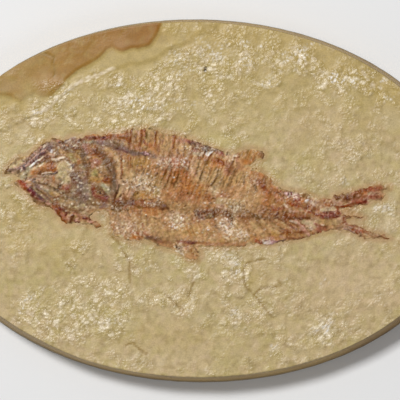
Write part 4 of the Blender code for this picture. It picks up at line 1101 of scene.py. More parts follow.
    ("umber", 0.78, 1.03, 0, 89.4, 181.2, 89.5, 183.2), ("brown", 0.62, 1.03, 0.05, 94, 183.6, 97, 183.2),
    ("pink", 0.75, 1.3, 0.08, 93, 185, 94.6, 184),
    ("plum", 0.9, 2.3, 0.1, 92.4, 187, 94.2, 190.4, 93.4, 194), ("red", 0.5, 1.2, 0, 94.6, 188.6, 95, 192),
    ("umber", 0.56, 1.38, 0.05, 97.5, 186, 98, 192, 97, 195),
    ("plum", 0.9, 1.84, 0.1, 95.6, 196.6, 99, 197.4, 103, 198.4, 106.5, 198.4),
    ("dark_red", 0.9, 1.26, 0.05, 102.4, 195.8, 105.6, 196.4, 109, 197.2),
    ("pink", 0.75, 0.8, 0.08, 93.5, 195.8, 95.6, 195.4),
    ("umber", 0.78, 2.53, 0.05, 101.5, 187.6, 104, 190.4, 107.5, 193.4),
    ("sage", 0.85, 1.5, 0.12, 102.4, 185.6, 106, 187, 108.8, 189.4, 109.2, 191.6),
    ("cream", 0.5, 0.7, 0, 103.4, 185.8, 106, 187, 108, 188.8),
    ("dark", 0.9, 1.26, 0, 100.2, 191.8, 100.4, 194), ("stone", 0.7, 1.7, 0.05, 104.4, 189.4, 107.4, 190.6),
    ("pink", 0.65, 0.9, 0.08, 103, 194.6, 104, 193.8), ("pink", 0.6, 1.1, 0.08, 110.6, 196.6, 112.4, 194),
    ("violet", 0.75, 3, 0.1, 102.6, 202.4, 106.6, 201.8, 104.6, 205),
    ("dark", 0.35, 1.26, 0, 102, 201.2, 106.2, 201.4, 105.2, 204.8),
    ("mauve", 0.75, 1.6, 0.1, 100.5, 207.4, 105, 206.6, 108, 206),
    ("cream", 0.9, 1.2, 0.12, 97.4, 202.6, 98.8, 204),
    ("cream", 0.6, 0.8, 0.08, 100.4, 202.2, 101.6, 202.6),
    ("umber", 0.67, 1.61, 0.05, 93.5, 200.5, 96, 205, 96, 209),
    ("umber", 0.84, 1.03, 0.1, 112.4, 198.5, 113.4, 203, 114.6, 206.4),
    ("dark_red", 0.9, 1.84, 0.1, 112.6, 194.6, 115, 196.5, 116, 194),
    ("pink", 0.8, 0.9, 0.12, 116.6, 184, 116.4, 181, 118.2, 179.6, 119.6, 181.4, 119, 184.4),
    ("pink", 0.7, 0.8, 0.1, 117.4, 184.6, 117.2, 189),
    ("dark", 0.75, 1.5, 0.05, 119.4, 185, 119, 188, 117.9, 191.4, 116.2, 193.6, 114.6, 195.4),
    ("sand", 0.75, 1.1, 0.1, 121, 187.6, 120.2, 192, 118.2, 196, 116.6, 198.8),
    ("umber", 0.7, 1, 0.05, 119.6, 196.8, 121, 195.4), ("pink", 0.7, 1.4, 0.1, 119.4, 200, 121.2, 199.2),
    ("brown", 0.67, 1.84, 0.1, 115.5, 202, 119, 203, 122.6, 202.6),
    ("sand", 0.85, 2.2, 0.15, 106, 149.6, 110, 149, 114, 151.4, 117, 155, 118.6, 158.5),
    ("ochre", 0.75, 1, 0.05, 110.4, 150.6, 112.6, 153, 114.4, 156),
    ("cream", 0.55, 0.9, 0.05, 115, 153.6, 116.4, 156),
    ("stone_pink", 0.55, 1.8, 0.05, 118, 160, 119.2, 166, 119, 172),
    ("umber", 0.73, 1.15, 0.05, 116, 162.5, 116.6, 165.4),
    ("umber", 0.67, 1.26, 0.05, 120.6, 156.5, 121.4, 159.6),
    ("rust", 0.5, 1.1, 0.1, 121.6, 160, 122.2, 166, 122.1, 172, 121, 178.4),
    ("rust", 0.45, 1.4, 0.05, 117, 172, 118, 177), ("cream", 0.85, 0.9, 0.08, 123.4, 160.6, 124, 162),
    ("cream", 0.8, 0.7, 0.08, 117.2, 160.2, 117.5, 161.6),
    ("brown", 0.6, 2.8, 0.05, 103.4, 157.6, 107.6, 162, 110.4, 167.5, 112, 172),
    ("umber", 0.5, 1.2, 0, 81.8, 150, 83.8, 157, 85.8, 164, 87, 171, 87.6, 177),
    ("dark_red", 0.45, 1.4, 0, 91.6, 187, 92.6, 191, 95, 195),
    ("violet", 0.2, 2, 0, 105, 142, 111, 143.6, 115, 145),
    # bone that runs from the skull into the back
    ("mauve", 0.7, 3, 0.15, 98, 142.6, 104, 143.4, 110, 144.2, 117, 146.5),
    ("slate", 0.62, 3.4, 0.12, 106, 143.6, 112, 145.2, 118, 147.6, 126, 150.4, 134, 153),
    ("slate", 0.6, 1.8, 0.1, 106, 143.6, 112, 144.8, 118, 147.2, 126, 150, 134, 153.2, 141, 154.8),
    ("violet", 0.62, 1.61, 0.1, 116, 146, 124, 149.4, 132, 152),
    ("plum", 0.45, 1.84, 0.05, 122, 149.8, 128, 151.8),
    ("mauve", 0.7, 0.7, 0.08, 119, 147.6, 123, 148.6, 128, 150),
    ("violet", 0.9, 1.84, 0.1, 133, 153.8, 141, 154, 148, 154.5),
    ("dark", 0.5, 1.15, 0, 106.5, 143.2, 108.4, 143.8), ("dark", 0.5, 1.15, 0, 110.6, 146.2, 113.4, 146.4),
    ("stone_pale", 0.85, 0.9, 0.05, 110.8, 141.2, 111.4, 142.8),
    ("plum", 0.45, 1.61, 0.05, 143, 153.5, 151, 155.5),
)

# The trunk's dark streaks below the back, its ribs and its belly. Its white and cream marks are partly
# painted highlights.
TRUNK_MARKS = (
    # edge of the back, and the streaks below it
    ("umber", 0.45, 0.9, 0.05, 112, 131.8, 119, 131.6),
    ("stone_pink", 0.7, 1, 0.05, 110, 133.4, 117, 133, 124, 133.2),
    ("rust", 0.6, 1.5, 0.12, 110, 136, 116, 136, 121, 137, 126, 137.6),
    ("orange", 0.4, 1.3, 0.05, 114, 134.6, 120, 134.8, 126, 134),
    ("rust", 0.8, 1.3, 0.12, 126.3, 130, 126.5, 135, 127, 139.6, 128, 143),
    ("pink", 0.6, 1, 0.05, 128.4, 133.4, 128.4, 137),
    ("umber", 0.75, 1.5, 0.12, 132, 130, 131, 133, 130.6, 136),
    ("rust", 0.92, 1.5, 0.18, 131.4, 131, 130.5, 135, 129.8, 139, 129.4, 144),
    ("dark_red", 0.55, 1, 0.05, 130, 138, 129.6, 142),
    ("stone_pink", 0.75, 1.2, 0.08, 133.2, 131, 132.8, 137, 133, 143),
    ("olive", 0.75, 1.2, 0.15, 135.4, 134, 136, 138, 136, 142),
    ("ochre", 0.5, 1.1, 0.05, 138.2, 137, 138, 143),
    ("pink", 0.7, 1.1, 0.08, 136, 131.6, 138.4, 133, 138.2, 135),
    ("rust", 0.92, 1.5, 0.18, 141.6, 130.5, 141, 136, 140, 140.6, 139.6, 144.6),
    ("olive", 0.45, 0.9, 0.05, 141, 134, 140, 142), ("rust_pink", 0.6, 1.2, 0.05, 143.6, 129.6, 143.8, 136),
    ("rust", 0.7, 1, 0.1, 144.6, 127.8, 144.4, 131.6), ("olive", 0.7, 1, 0.12, 145.4, 133, 145.8, 138.4),
    ("rust", 0.85, 1.5, 0.12, 143, 139.6, 144, 143.4, 146.4, 145),
    ("olive", 0.8, 1.1, 0.05, 148.8, 141.8, 150, 141),
    ("rust_pink", 0.5, 1.6, 0.05, 146.4, 144, 150, 145.6),
    ("umber", 0.75, 0.9, 0.05, 148, 128.6, 149.4, 128.3),
    ("umber", 0.6, 1.1, 0.05, 151.6, 129.6, 153.2, 128), ("orange", 0.4, 2.4, 0.05, 150, 145, 154, 150),
    ("rust", 0.95, 1.5, 0.2, 156.4, 131.6, 155, 135, 154.7, 140, 155, 144, 155, 147),
    ("olive", 0.5, 1, 0.05, 155.8, 132, 154.8, 138),
    ("rust", 0.7, 1.1, 0.1, 155.2, 147, 155.4, 151, 155.6, 157),
    ("rust_pink", 0.55, 1.6, 0.05, 158, 145, 158.2, 151),
    ("rust", 0.6, 1.1, 0.08, 159.4, 150.6, 158.4, 154.4),
    ("pink", 0.55, 1.1, 0.08, 161.4, 143.6, 163, 140.6), ("umber", 0.4, 1, 0.05, 159, 138, 159.6, 144),
    ("umber", 0.45, 1.3, 0.05, 166, 141, 166.6, 145), ("sand", 0.6, 0.9, 0.08, 167, 136, 167, 141),
    ("umber", 0.45, 0.8, 0.08, 168.4, 134.6, 168.6, 141), ("sand", 0.6, 0.9, 0.08, 164, 134, 163.6, 139),
    ("umber", 0.5, 0.9, 0.08, 163.4, 150.6, 163, 155), ("rust", 0.75, 2.6, 0.12, 173, 135.4, 175, 137),
    ("rust", 0.92, 1.6, 0.18, 174, 137, 173.5, 142, 172.7, 147),
    ("olive", 0.6, 1.1, 0.05, 172.9, 145, 172.7, 147.6), ("rust", 0.35, 1.1, 0.05, 172.4, 149, 172, 157),
    ("pink", 0.65, 1, 0.08, 176, 140.4, 176.8, 142), ("rust_pink", 0.5, 2.2, 0.05, 178.6, 141, 186, 141.6),
    ("umber", 0.6, 0.9, 0.05, 169.4, 132.4, 171.8, 132.3),
    ("umber", 0.45, 0.9, 0.05, 178.8, 133.6, 181, 133.2),
    ("umber", 0.65, 1, 0.05, 184.4, 136.4, 187, 136.2),
    ("umber", 0.6, 0.9, 0.05, 189.6, 137.2, 193.4, 138.2), ("brown", 0.6, 1.5, 0.1, 177.4, 150, 178, 153.6),
    ("rust", 0.55, 1, 0.08, 176.4, 154, 176.6, 158), ("umber", 0.85, 1, 0.05, 184.2, 148, 184, 150),
    ("umber", 0.65, 0.8, 0.05, 183.6, 154.4, 183.4, 155.8),
    # below the grey band
    ("rust", 0.55, 0.9, 0.1, 129.4, 146, 129.8, 150),
    ("pink", 0.7, 1, 0.1, 130.6, 144, 131.6, 147, 132, 149.4),
    ("rust", 0.55, 0.9, 0.1, 133.8, 146, 134.4, 150), ("pink", 0.7, 0.9, 0.1, 135.6, 148, 136.8, 149.8),
    ("rust", 0.55, 0.8, 0.1, 138.4, 146, 138.8, 149.4), ("pink", 0.55, 0.9, 0.1, 140, 148, 140.8, 150.4),
    ("umber", 0.65, 0.9, 0.1, 142.4, 147.6, 142.6, 151.6),
    ("olive", 0.65, 1.1, 0.05, 145.6, 149, 146.6, 148.2),
    ("grey_brown", 0.75, 3.2, 0.1, 106, 142.8, 112, 143.8, 118, 146, 124, 148.6),
    ("mauve", 0.6, 1.8, 0.05, 106, 143.6, 112, 144.4),
    ("umber", 0.5, 1.9, 0.05, 112.6, 143.4, 118, 144.6, 122.6, 146),
    ("violet", 0.45, 2, 0.05, 112, 147, 118, 149.4, 123, 150.8, 127.4, 152),
    ("mauve", 0.65, 2.2, 0.05, 120, 148, 124, 148.4, 127.6, 149.6),
    ("plum", 0.5, 1.1, 0.05, 125, 148, 128, 148.3),
    ("dark_red", 0.4, 0.9, 0.05, 121.6, 150, 125, 151.6, 127.6, 152.8),
    ("slate", 0.6, 2.2, 0.1, 129.6, 153, 133, 153.8, 138, 154, 143, 154.4),
    ("mauve", 0.5, 1.6, 0.05, 131, 154.6, 137, 155),
    ("umber", 0.55, 1.1, 0.05, 134, 151.2, 138, 151.6, 138.6, 153.4),
    ("plum", 0.4, 1.9, 0.08, 144, 153.6, 147, 155.2, 151, 154.8),
    ("violet", 0.6, 1.3, 0.05, 150.6, 154, 153.4, 155.6),
    ("grey_brown", 0.6, 1.6, 0.05, 148, 157.2, 154, 157.6),
    ("sand", 0.75, 0.9, 0.08, 121.4, 142, 123.6, 143.6, 126.6, 144),
    # streaks between the gill cover and the ribs
    ("brown", 0.5, 1.2, 0.1, 121.2, 155.6, 121.8, 161, 121.4, 167, 121.9, 171, 121, 176),
    ("sand", 0.7, 1.2, 0.08, 123.6, 165, 124.6, 170, 125.8, 175),
    ("umber", 0.35, 1.5, 0.05, 126.4, 162, 127.2, 166, 127.8, 170),
    ("orange", 0.55, 1, 0.1, 127.6, 156, 127.8, 161), ("pink", 0.6, 0.8, 0.1, 129.5, 157, 129.6, 161),
    ("rust", 0.7, 1, 0.1, 130.6, 157.4, 130.8, 162, 130.3, 168),
    ("sand", 0.6, 0.9, 0.1, 132.4, 160, 132.6, 165),
    ("ochre", 0.6, 1.8, 0.1, 136, 158, 135.6, 164, 134, 168),
    ("umber", 0.45, 0.9, 0.1, 138.6, 158, 138.4, 162), ("umber", 0.45, 0.9, 0.1, 142.6, 158.6, 142.4, 162),
    ("orange", 0.4, 1.4, 0.08, 140.6, 163, 140, 168),
    ("rust", 0.65, 0.9, 0.1, 137.4, 166.6, 136.6, 171, 135.8, 173),
    ("rust", 0.7, 1.1, 0.1, 141.6, 165.6, 141.8, 169.6),
    ("umber", 0.65, 0.9, 0.1, 144.4, 169.6, 143.4, 173, 142, 176.4, 141, 178.6),
    ("umber", 0.55, 1, 0.1, 150.8, 171.6, 149.6, 175, 148.6, 178),
    ("umber", 0.65, 0.9, 0.1, 153.5, 165.6, 152.8, 169.6),
    ("umber", 0.6, 0.9, 0.1, 158.6, 166, 158.4, 170.6, 157.2, 174.6),
    # ribs, from front to back
    ("olive", 0.6, 1.2, 0.12, 155.8, 174, 155.3, 179, 154.4, 184.6),
    ("rust", 0.85, 1.6, 0.15, 165.4, 171.4, 164, 175),
    ("olive", 0.65, 1.1, 0.12, 164.4, 173, 163.2, 177.4, 162, 180.6),
    ("rust", 0.7, 1.1, 0.12, 171.6, 169.6, 170.6, 174, 168.9, 177.6, 168, 181.4),
    ("umber", 0.64, 1, 0.14, 168, 181, 167, 184, 165.8, 186.4),
    ("umber", 0.6, 1.2, 0.12, 177.6, 175, 176.2, 180, 174.8, 183.4, 173.4, 186.6),
    ("rust", 0.6, 1, 0.12, 178.4, 166, 178.2, 172, 177.6, 178),
    ("rust", 0.65, 0.9, 0.12, 181.8, 165.6, 180.8, 171, 180.4, 174),
    ("rust", 0.65, 1, 0.12, 187.8, 168, 187, 174, 186.4, 179, 185.5, 183),
    ("umber", 0.5, 1.1, 0.1, 188.6, 166, 187.8, 171),
    ("rust", 0.65, 1.4, 0.12, 191.6, 150, 191.3, 154, 190.8, 159),
    ("umber", 0.65, 0.9, 0.1, 189.6, 160.6, 189.4, 166.6),
    ("umber", 0.74, 1.05, 0.14, 199.6, 160, 198.6, 164, 197.5, 168),
    ("rust", 0.45, 1, 0.1, 196.4, 169, 195.6, 173, 194.3, 177),
    ("umber", 0.76, 1.05, 0.14, 205.6, 161, 204.2, 166, 203, 170.6, 201.4, 175),
    ("umber", 0.74, 1.05, 0.14, 200.5, 176, 199.6, 180, 198, 182.6),
    ("umber", 0.74, 1.05, 0.14, 210.6, 170.6, 209, 175, 207, 179.4, 205.8, 182),
    ("umber", 0.74, 1.05, 0.14, 218, 171, 216.8, 175.6, 215.2, 180, 213.8, 182.6, 211.6, 185.4),
    ("umber", 0.64, 1, 0.14, 223.4, 177, 222, 179.6, 220.4, 182.4, 219, 186),
    ("umber", 0.74, 1.05, 0.14, 235, 168.6, 233.4, 173, 231, 176.6, 229.2, 181, 227.8, 185, 226.6, 187.4),
    ("umber", 0.74, 1.05, 0.14, 238, 175.6, 236.6, 180, 236, 182.6),
    ("umber", 0.74, 1.05, 0.14, 244.4, 176.6, 244, 181, 243.4, 184.6),
    ("rust", 0.6, 1.1, 0.12, 248.6, 176.4, 250.8, 179.6, 252.4, 184),
    ("umber", 0.6, 0.9, 0.1, 129.6, 187.4, 128.6, 190.6, 128, 193, 127, 194.6),
    ("olive", 0.65, 0.9, 0.1, 137.4, 190, 135, 193, 133, 196, 130.8, 198.6),
    # plates along the edge of the back
    ("rust_pink", 0.6, 1.8, 0.1, 186, 140, 190, 141.6), ("plum", 0.55, 1.6, 0.1, 188, 142, 190.4, 144),
    ("brown", 0.9, 1.2, 0.15, 192.6, 139.8, 191.8, 142.4, 193.8, 144.4),
    ("dark", 0.6, 1, 0.05, 190.4, 144.8, 192.2, 146.6),
    ("umber", 0.7, 1.6, 0.12, 193.4, 144, 196, 146, 199.6, 147.4),
    ("brown", 0.85, 1.1, 0.12, 195.4, 141.4, 197.6, 142.8, 200.6, 144),
    ("rust", 0.92, 1.9, 0.15, 192.4, 148.6, 195, 149.6, 198.4, 149.4),
    ("dark_red", 0.6, 1.1, 0.05, 193, 148.2, 196.4, 149),
    ("brown", 0.8, 1.3, 0.12, 198.4, 146.4, 201.6, 148, 204, 151),
    ("brown", 0.85, 1.1, 0.12, 203, 145, 205.4, 146.4, 208, 147.2),
    ("mauve", 0.85, 1.9, 0.12, 203, 149.4, 206.6, 149.6, 208.4, 149.4),
    ("dark", 0.8, 0.9, 0.05, 208.6, 149.4, 210.6, 150.6),
    ("slate", 0.75, 1.5, 0.12, 209.4, 148.4, 213, 149.6, 216, 150.6),
    ("umber", 0.85, 1.1, 0.12, 210, 147.4, 214, 147.6, 217, 149, 220, 150.4, 222.4, 151.4),
    ("pink", 0.6, 1.1, 0.05, 207.6, 145, 212.4, 145.6),
    ("rust_pink", 0.75, 1.9, 0.12, 216.6, 152.4, 220.6, 153.4),
    ("rust_pink", 0.8, 1.7, 0.12, 219.8, 154, 223, 155.6),
    ("plum", 0.6, 1.5, 0.08, 220.6, 152.8, 222.4, 153.6),
    ("umber", 0.85, 0.9, 0.1, 222.6, 151, 226.6, 151.1, 227.8, 151.8, 227.2, 153.6, 226.2, 155),
    ("cream", 0.75, 1.7, 0.12, 198, 153.4, 201.6, 154),
    ("stone_pink", 0.85, 2.8, 0.05, 195, 154, 199, 154.6),
    ("pink", 0.75, 1.3, 0.08, 194, 151.6, 199, 151.8), ("stone_pink", 0.8, 2, 0.05, 207, 154, 209.6, 153.6),
    ("white", 0.92, 1, 0.15, 206.2, 151, 206.6, 152.8, 205.8, 154.6, 207.4, 155.8),
    ("white", 0.95, 1.2, 0.15, 211.6, 151.6, 210.2, 153, 209, 154.8),
    ("cream", 0.85, 0.9, 0.1, 201.8, 152.6, 203, 152.4),
    ("brown", 0.85, 1.1, 0.15, 205, 150.8, 204, 154.6, 203, 157.6),
    ("rust", 0.8, 1.8, 0.12, 198.6, 157.4, 201.6, 158.8),
    ("pink", 0.7, 1.3, 0.08, 206.4, 157.4, 204.6, 160),
    ("rust", 0.88, 1.2, 0.15, 211, 154.6, 209.4, 157.4, 207, 160.8),
    ("rust", 0.7, 2.6, 0.12, 213, 160, 217, 161, 221, 162.6),
    ("olive", 0.9, 1.7, 0.05, 217, 158.4, 218, 160.6),
    ("rust", 0.92, 2.2, 0.15, 218, 160, 222.6, 162, 223, 164),
    ("dark_red", 0.45, 1.6, 0, 222.2, 162.4, 222.8, 164.2),
    ("pink", 0.65, 0.8, 0.1, 225.4, 161, 225.4, 164.4),
    ("rust", 0.65, 1, 0.1, 227.2, 163.6, 227.4, 166.4, 227.8, 172),
    ("brown", 0.9, 1.2, 0.15, 232.8, 161.6, 231.4, 165.4, 229.6, 168.4),
    ("rust", 0.5, 2.2, 0.08, 230.6, 165, 232.4, 168),
    ("rust_pink", 0.8, 2.2, 0.1, 237, 161.6, 238.4, 166.8),
    ("rust", 0.65, 0.8, 0.05, 236.2, 160.8, 236.6, 166.6),
    ("rust", 0.85, 0.9, 0.1, 234.2, 157.4, 237, 158.5, 239.6, 157.4),
    ("cream", 0.9, 1.1, 0.12, 234, 156.2, 235.8, 156.4), ("rust", 0.55, 1, 0.05, 236, 152.4, 238.6, 154),
    ("rust_pink", 0.45, 2.6, 0.05, 226, 170, 229.4, 174.6),
    # dorsal fin
    ("umber", 0.7, 1, 0.1, 261, 151.2, 263.2, 152, 263.6, 155, 262.6, 158),
    ("grey_brown", 0.5, 1.8, 0, 261.5, 154, 262, 157),
    ("ochre", 0.5, 2, 0.05, 242, 153.6, 249, 152.4, 256, 152),
    ("rust", 0.35, 1.6, 0.08, 241, 160, 247, 160.6, 253, 161.6),
    ("orange", 0.55, 2.4, 0.05, 243, 162, 249, 162.6),
    ("orange", 0.45, 0.9, 0.1, 245, 164, 249, 156, 251, 150),
    ("orange", 0.45, 0.9, 0.1, 250, 164, 254.6, 157, 257.4, 152),
    ("umber", 0.7, 0.8, 0.05, 253, 168.4, 257.5, 168.6),
    # golden patch and arc in front of the backbone
    ("orange", 0.45, 2.8, 0.05, 142, 194, 149, 196), ("umber", 0.4, 2, 0.05, 134.6, 197, 138, 197.4),
    ("umber", 0.4, 1.6, 0.05, 146.6, 193.6, 149, 193.4),
    ("umber", 0.6, 1, 0.1, 138.4, 200, 141, 199.2, 144, 200.6, 147, 199.6, 151, 200.4, 152.6, 201.8),
    ("dark", 0.6, 1, 0.08, 156.6, 202.8, 158.8, 200.6, 160.4, 200.4),
    # backbone, with crowded joints
    ("rust", 0.6, 2.6, 0.2, 113, 201, 119, 200.6, 126, 199),
    ("brown", 0.6, 2.4, 0.2, 112, 205, 118, 204, 124, 204.6),
    ("umber", 0.65, 1.6, 0.1, 112.6, 210, 118, 210.6, 123, 209.8, 128, 209.6),
    ("rust", 0.85, 1.1, 0.15, 113.6, 198.6, 114.6, 200.6, 112.8, 203, 114.4, 205),
    ("dark_red", 0.85, 1.5, 0.15, 114.6, 195.6, 115.2, 198),
    ("dark_red", 0.8, 1.1, 0.1, 116.8, 202, 118.6, 201.6),
    ("dark_red", 0.9, 1.2, 0.12, 121.4, 202.6, 123, 202.2),
    ("dark_red", 0.85, 1.1, 0.12, 125.6, 203.4, 127.8, 204),
    ("rust_pink", 0.8, 1.7, 0.12, 124.6, 206, 127.6, 206),
    ("violet", 0.75, 1.7, 0.15, 129.4, 203.2, 132.4, 202),
    ("mauve", 0.75, 1.4, 0.12, 130.2, 203, 131, 205.2),
    ("dark_red", 0.95, 1.7, 0.2, 132.8, 204, 135.4, 204.6),
    ("brown", 0.8, 1.2, 0.1, 133, 200.6, 134.4, 202),
    ("rust", 0.75, 2.4, 0.15, 136.6, 202.6, 140, 201.6, 143, 201.8),
    ("rust_pink", 0.55, 1.8, 0.05, 137.6, 203, 142, 203),
    ("rust", 0.95, 2.1, 0.2, 137, 206, 141, 206.4, 145, 206.6),
    ("olive", 0.75, 1.4, 0.05, 138.6, 206.8, 142.4, 207.4),
    ("rust", 0.55, 1.6, 0.12, 146, 207.4, 151, 207, 156, 207.6),
    ("umber", 0.75, 3.2, 0.2, 161.6, 205, 165.6, 206),
    ("brown", 0.75, 1.5, 0.1, 160.6, 208.6, 164, 209.6, 168.4, 208.6),
    ("umber", 0.7, 1.3, 0.05, 162, 202.2, 164, 202.4), ("mauve", 0.55, 1.6, 0.05, 162.4, 206, 165, 206.4),
    ("umber", 0.55, 1.4, 0.08, 169, 211, 171.6, 213), ("umber", 0.45, 1.2, 0.08, 172.6, 200, 173, 203.4),
    ("sand", 0.75, 0.7, 0.08, 176, 206.4, 181.4, 206), ("sand", 0.7, 0.7, 0.08, 184.6, 207.8, 189.6, 207.3),
    ("umber", 0.4, 1, 0.08, 182, 208.6, 181.8, 214), ("umber", 0.4, 1.1, 0.08, 188.6, 209, 188.2, 214.6),
    ("rust", 0.65, 1.4, 0.1, 188, 209.6, 191, 209.8),
    ("brown", 0.75, 2.9, 0.25, 197, 213, 202, 213, 208, 212.6, 213, 212.4),
    ("umber", 0.7, 2.4, 0.2, 206, 217, 211, 217, 215, 215.4),
    ("violet", 0.6, 2, 0.1, 198, 215.6, 203, 217.6), ("mauve", 0.6, 1.6, 0.1, 199, 218.6, 204, 218.8),
    ("rust", 0.6, 1.4, 0.1, 207.6, 206, 206.8, 209.6), ("sage", 0.5, 1.4, 0.05, 209.4, 214, 210.6, 215.6),
    ("umber", 0.55, 2.2, 0.15, 217, 210, 221, 210.4, 224, 214),
    ("brown", 0.85, 2.8, 0.25, 227.6, 214.4, 230, 217.6), ("brown", 0.7, 1.4, 0.12, 232.4, 218, 232, 222.6),
    ("umber", 0.55, 1.8, 0.12, 225, 211.6, 228, 212), ("rust", 0.7, 2, 0.18, 239, 218, 244, 217, 249, 218),
    ("rust", 0.6, 1.8, 0.12, 241, 221.6, 246, 221, 249.6, 224),
    ("umber", 0.65, 1.3, 0.12, 246, 213.8, 249, 212.6, 252, 214),
    ("brown", 0.7, 1.4, 0.2, 250, 213, 255, 216, 260, 218.5),
    ("rust", 0.6, 0.9, 0.08, 246.4, 224, 248, 227, 249.6, 231),
    ("umber", 0.65, 0.9, 0.08, 127.6, 210, 128.6, 212.6, 129.4, 215.2, 131.2, 216.8),
    ("olive", 0.85, 1.1, 0.1, 212.8, 198.6, 215.4, 198.3),
    ("rust", 0.6, 2.3, 0.1, 208.6, 197, 209.6, 199.4),
    ("umber", 0.55, 0.9, 0.08, 209.6, 203.8, 211.8, 203.2),
    ("rust_pink", 0.65, 1.9, 0.1, 221.6, 191, 222, 196.4),
    ("pink", 0.65, 2.1, 0.08, 217.4, 206, 222.6, 206.6),
    # belly
    ("rust", 0.4, 1.2, 0.05, 133, 211, 139, 211.4, 145, 211, 148, 213),
    ("rust", 0.4, 1, 0.05, 137, 213.6, 143, 214.4),
    ("sand", 0.75, 0.7, 0.08, 153.6, 216.6, 157, 218, 160, 216.2, 160.2, 212.6),
    ("umber", 0.55, 0.8, 0.05, 153.4, 217.8, 157, 219.4, 161, 218),
    ("rust_pink", 0.6, 0.9, 0.05, 143, 223.6, 143.4, 228),
    ("ochre", 0.55, 1.1, 0.05, 113, 222, 114.6, 225, 112.6, 228.4, 111.6, 232, 110.6, 236),
    ("deep_orange", 0.4, 1.8, 0.05, 112.4, 226, 113.4, 227.6),
    ("ochre", 0.6, 1.9, 0.05, 116.4, 235.4, 118.4, 237.4),
    ("orange", 0.55, 3, 0.08, 132.6, 237.4, 139, 238),
    ("deep_orange", 0.5, 1.6, 0.05, 134.6, 237.6, 138.6, 238.4),
    ("rust", 0.85, 1.1, 0.12, 135, 233.2, 139, 234.2, 142.4, 236.4),
    ("rust_pink", 0.55, 1.2, 0.05, 135, 232.6, 139, 232.8),
    ("rust", 0.9, 1.5, 0.12, 139.4, 238, 141.4, 239), ("stone_pink", 0.6, 2.2, 0, 133, 241.6, 138, 241.8),
    ("rust_pink", 0.5, 1.7, 0.08, 144.6, 232.6, 147, 235.6),
    ("violet", 0.75, 2.4, 0.15, 147.4, 238, 151.6, 237.6, 156, 239, 160, 240),
    ("brown", 0.6, 1.6, 0.08, 151, 239.6, 155, 241, 158, 243),
    ("dark_red", 0.8, 1.1, 0.05, 149.6, 237.2, 151, 237.6),
    ("dark_red", 0.75, 1.1, 0.05, 155.4, 239.8, 159, 239.4),
    ("brown", 0.7, 1.4, 0.08, 157.2, 236.4, 158.6, 237.4),
    ("brown", 0.75, 1.3, 0.1, 160.4, 239.6, 162.4, 237.4),
    ("brown", 0.75, 1.3, 0.1, 164.4, 238.6, 166.4, 237.6),
    ("rust_pink", 0.7, 2, 0.1, 160, 242, 165, 242, 171, 242.4),
    ("rust", 0.55, 0.8, 0.08, 160, 244.6, 165, 245.4, 171, 246.2, 175, 246.6),
    ("rust", 0.6, 0.8, 0.08, 162.4, 243, 165, 241.6, 168, 242.8, 165, 243.8),
    ("umber", 0.65, 1, 0.05, 167, 240.6, 170, 240.2, 175, 240.6),
    ("umber", 0.4, 0.8, 0.05, 169, 236, 178, 236), ("ochre", 0.5, 2.6, 0.05, 167, 233, 175, 233.6),
    ("rust", 0.8, 1.5, 0.12, 175.8, 241, 180, 241.2, 184, 240.8),
    ("red", 0.8, 1.8, 0.15, 182, 241.6, 187, 242.4, 192, 243),
    ("brown", 0.9, 1.5, 0.12, 188.4, 242.4, 190.8, 241.8),
    ("dark_red", 0.75, 1.3, 0.1, 192.4, 243.6, 194.4, 243.2),
    ("rust_pink", 0.7, 1.6, 0.1, 194.6, 241.4, 197.6, 242.4),
    ("pink", 0.75, 1, 0.1, 180, 243.6, 183, 242.6), ("umber", 0.9, 1.2, 0.12, 199, 241.2, 200.4, 242),
    ("umber", 0.9, 1, 0.12, 202.8, 242.4, 204, 242.6),
    ("rust", 0.75, 1, 0.12, 199, 241.8, 204, 242.2, 209, 242.6),
    ("rust_pink", 0.65, 1.6, 0.12, 207, 244.6, 213, 245, 219, 245),
    ("brown", 0.75, 1, 0.08, 212.4, 245.2, 213.8, 245.4),
    ("rust", 0.5, 1.6, 0.12, 219, 244.6, 227, 244.4, 235, 244.6),
    ("rust_pink", 0.55, 1.8, 0.08, 223, 244, 231, 244.6, 243, 244.8),
    ("rust", 0.65, 1.6, 0.12, 235, 244.8, 240, 245.8, 245, 245.6),
    ("ochre", 0.75, 2, 0.05, 220.6, 240, 223.6, 241.4), ("umber", 0.55, 1, 0.05, 219.6, 243.4, 222, 243.8),
    ("umber", 0.7, 1.3, 0.05, 216, 226.4, 217, 228.4), ("rust", 0.5, 1, 0.05, 206.8, 232, 206.6, 235.4),
    ("stone_pink", 0.75, 1.2, 0.05, 210.6, 237.4, 212.6, 240),
    ("mauve", 0.4, 1.4, 0.05, 213, 237, 214.6, 239.4),
    # pelvic fin
    ("grey_brown", 0.45, 2.6, 0.1, 178, 246.6, 181, 249.6),
    ("stone_pale", 0.7, 1.6, 0.05, 178, 251, 182, 252), ("rust_pink", 0.45, 3, 0.1, 187, 246.6, 191, 249),
    ("ochre", 0.6, 1.9, 0.12, 190.6, 248, 192, 251, 193, 255.6),
    ("rust", 0.45, 1.2, 0.08, 191.4, 249, 193, 255), ("rust", 0.7, 0.9, 0.08, 193.4, 253.8, 194, 254.4),
    ("umber", 0.4, 0.8, 0.08, 194, 246, 196.4, 249.4, 198.4, 252.4),
    ("dark", 0.75, 0.8, 0.05, 196.6, 249.3, 197.1, 249.8),
    ("dark", 0.7, 0.8, 0.05, 198.2, 251.8, 198.8, 252.2),
    ("dark", 0.65, 0.8, 0.05, 197.3, 255.3, 197.8, 255.8),
    ("dark", 0.65, 0.8, 0.05, 191.8, 246.2, 192.3, 246.6),
    ("umber", 0.55, 0.9, 0.05, 196.8, 255, 198.2, 255.8), ("brown", 0.5, 1, 0.05, 187.6, 257.4, 189, 258.6),
    ("bone", 0.7, 3.2, 0, 188, 256.6, 193, 258.6, 198, 258),
    ("dark", 0.85, 1.1, 0.05, 176, 243.6, 176.2, 247), ("dark", 0.9, 1.1, 0.05, 177.8, 248.6, 179.4, 248.3),
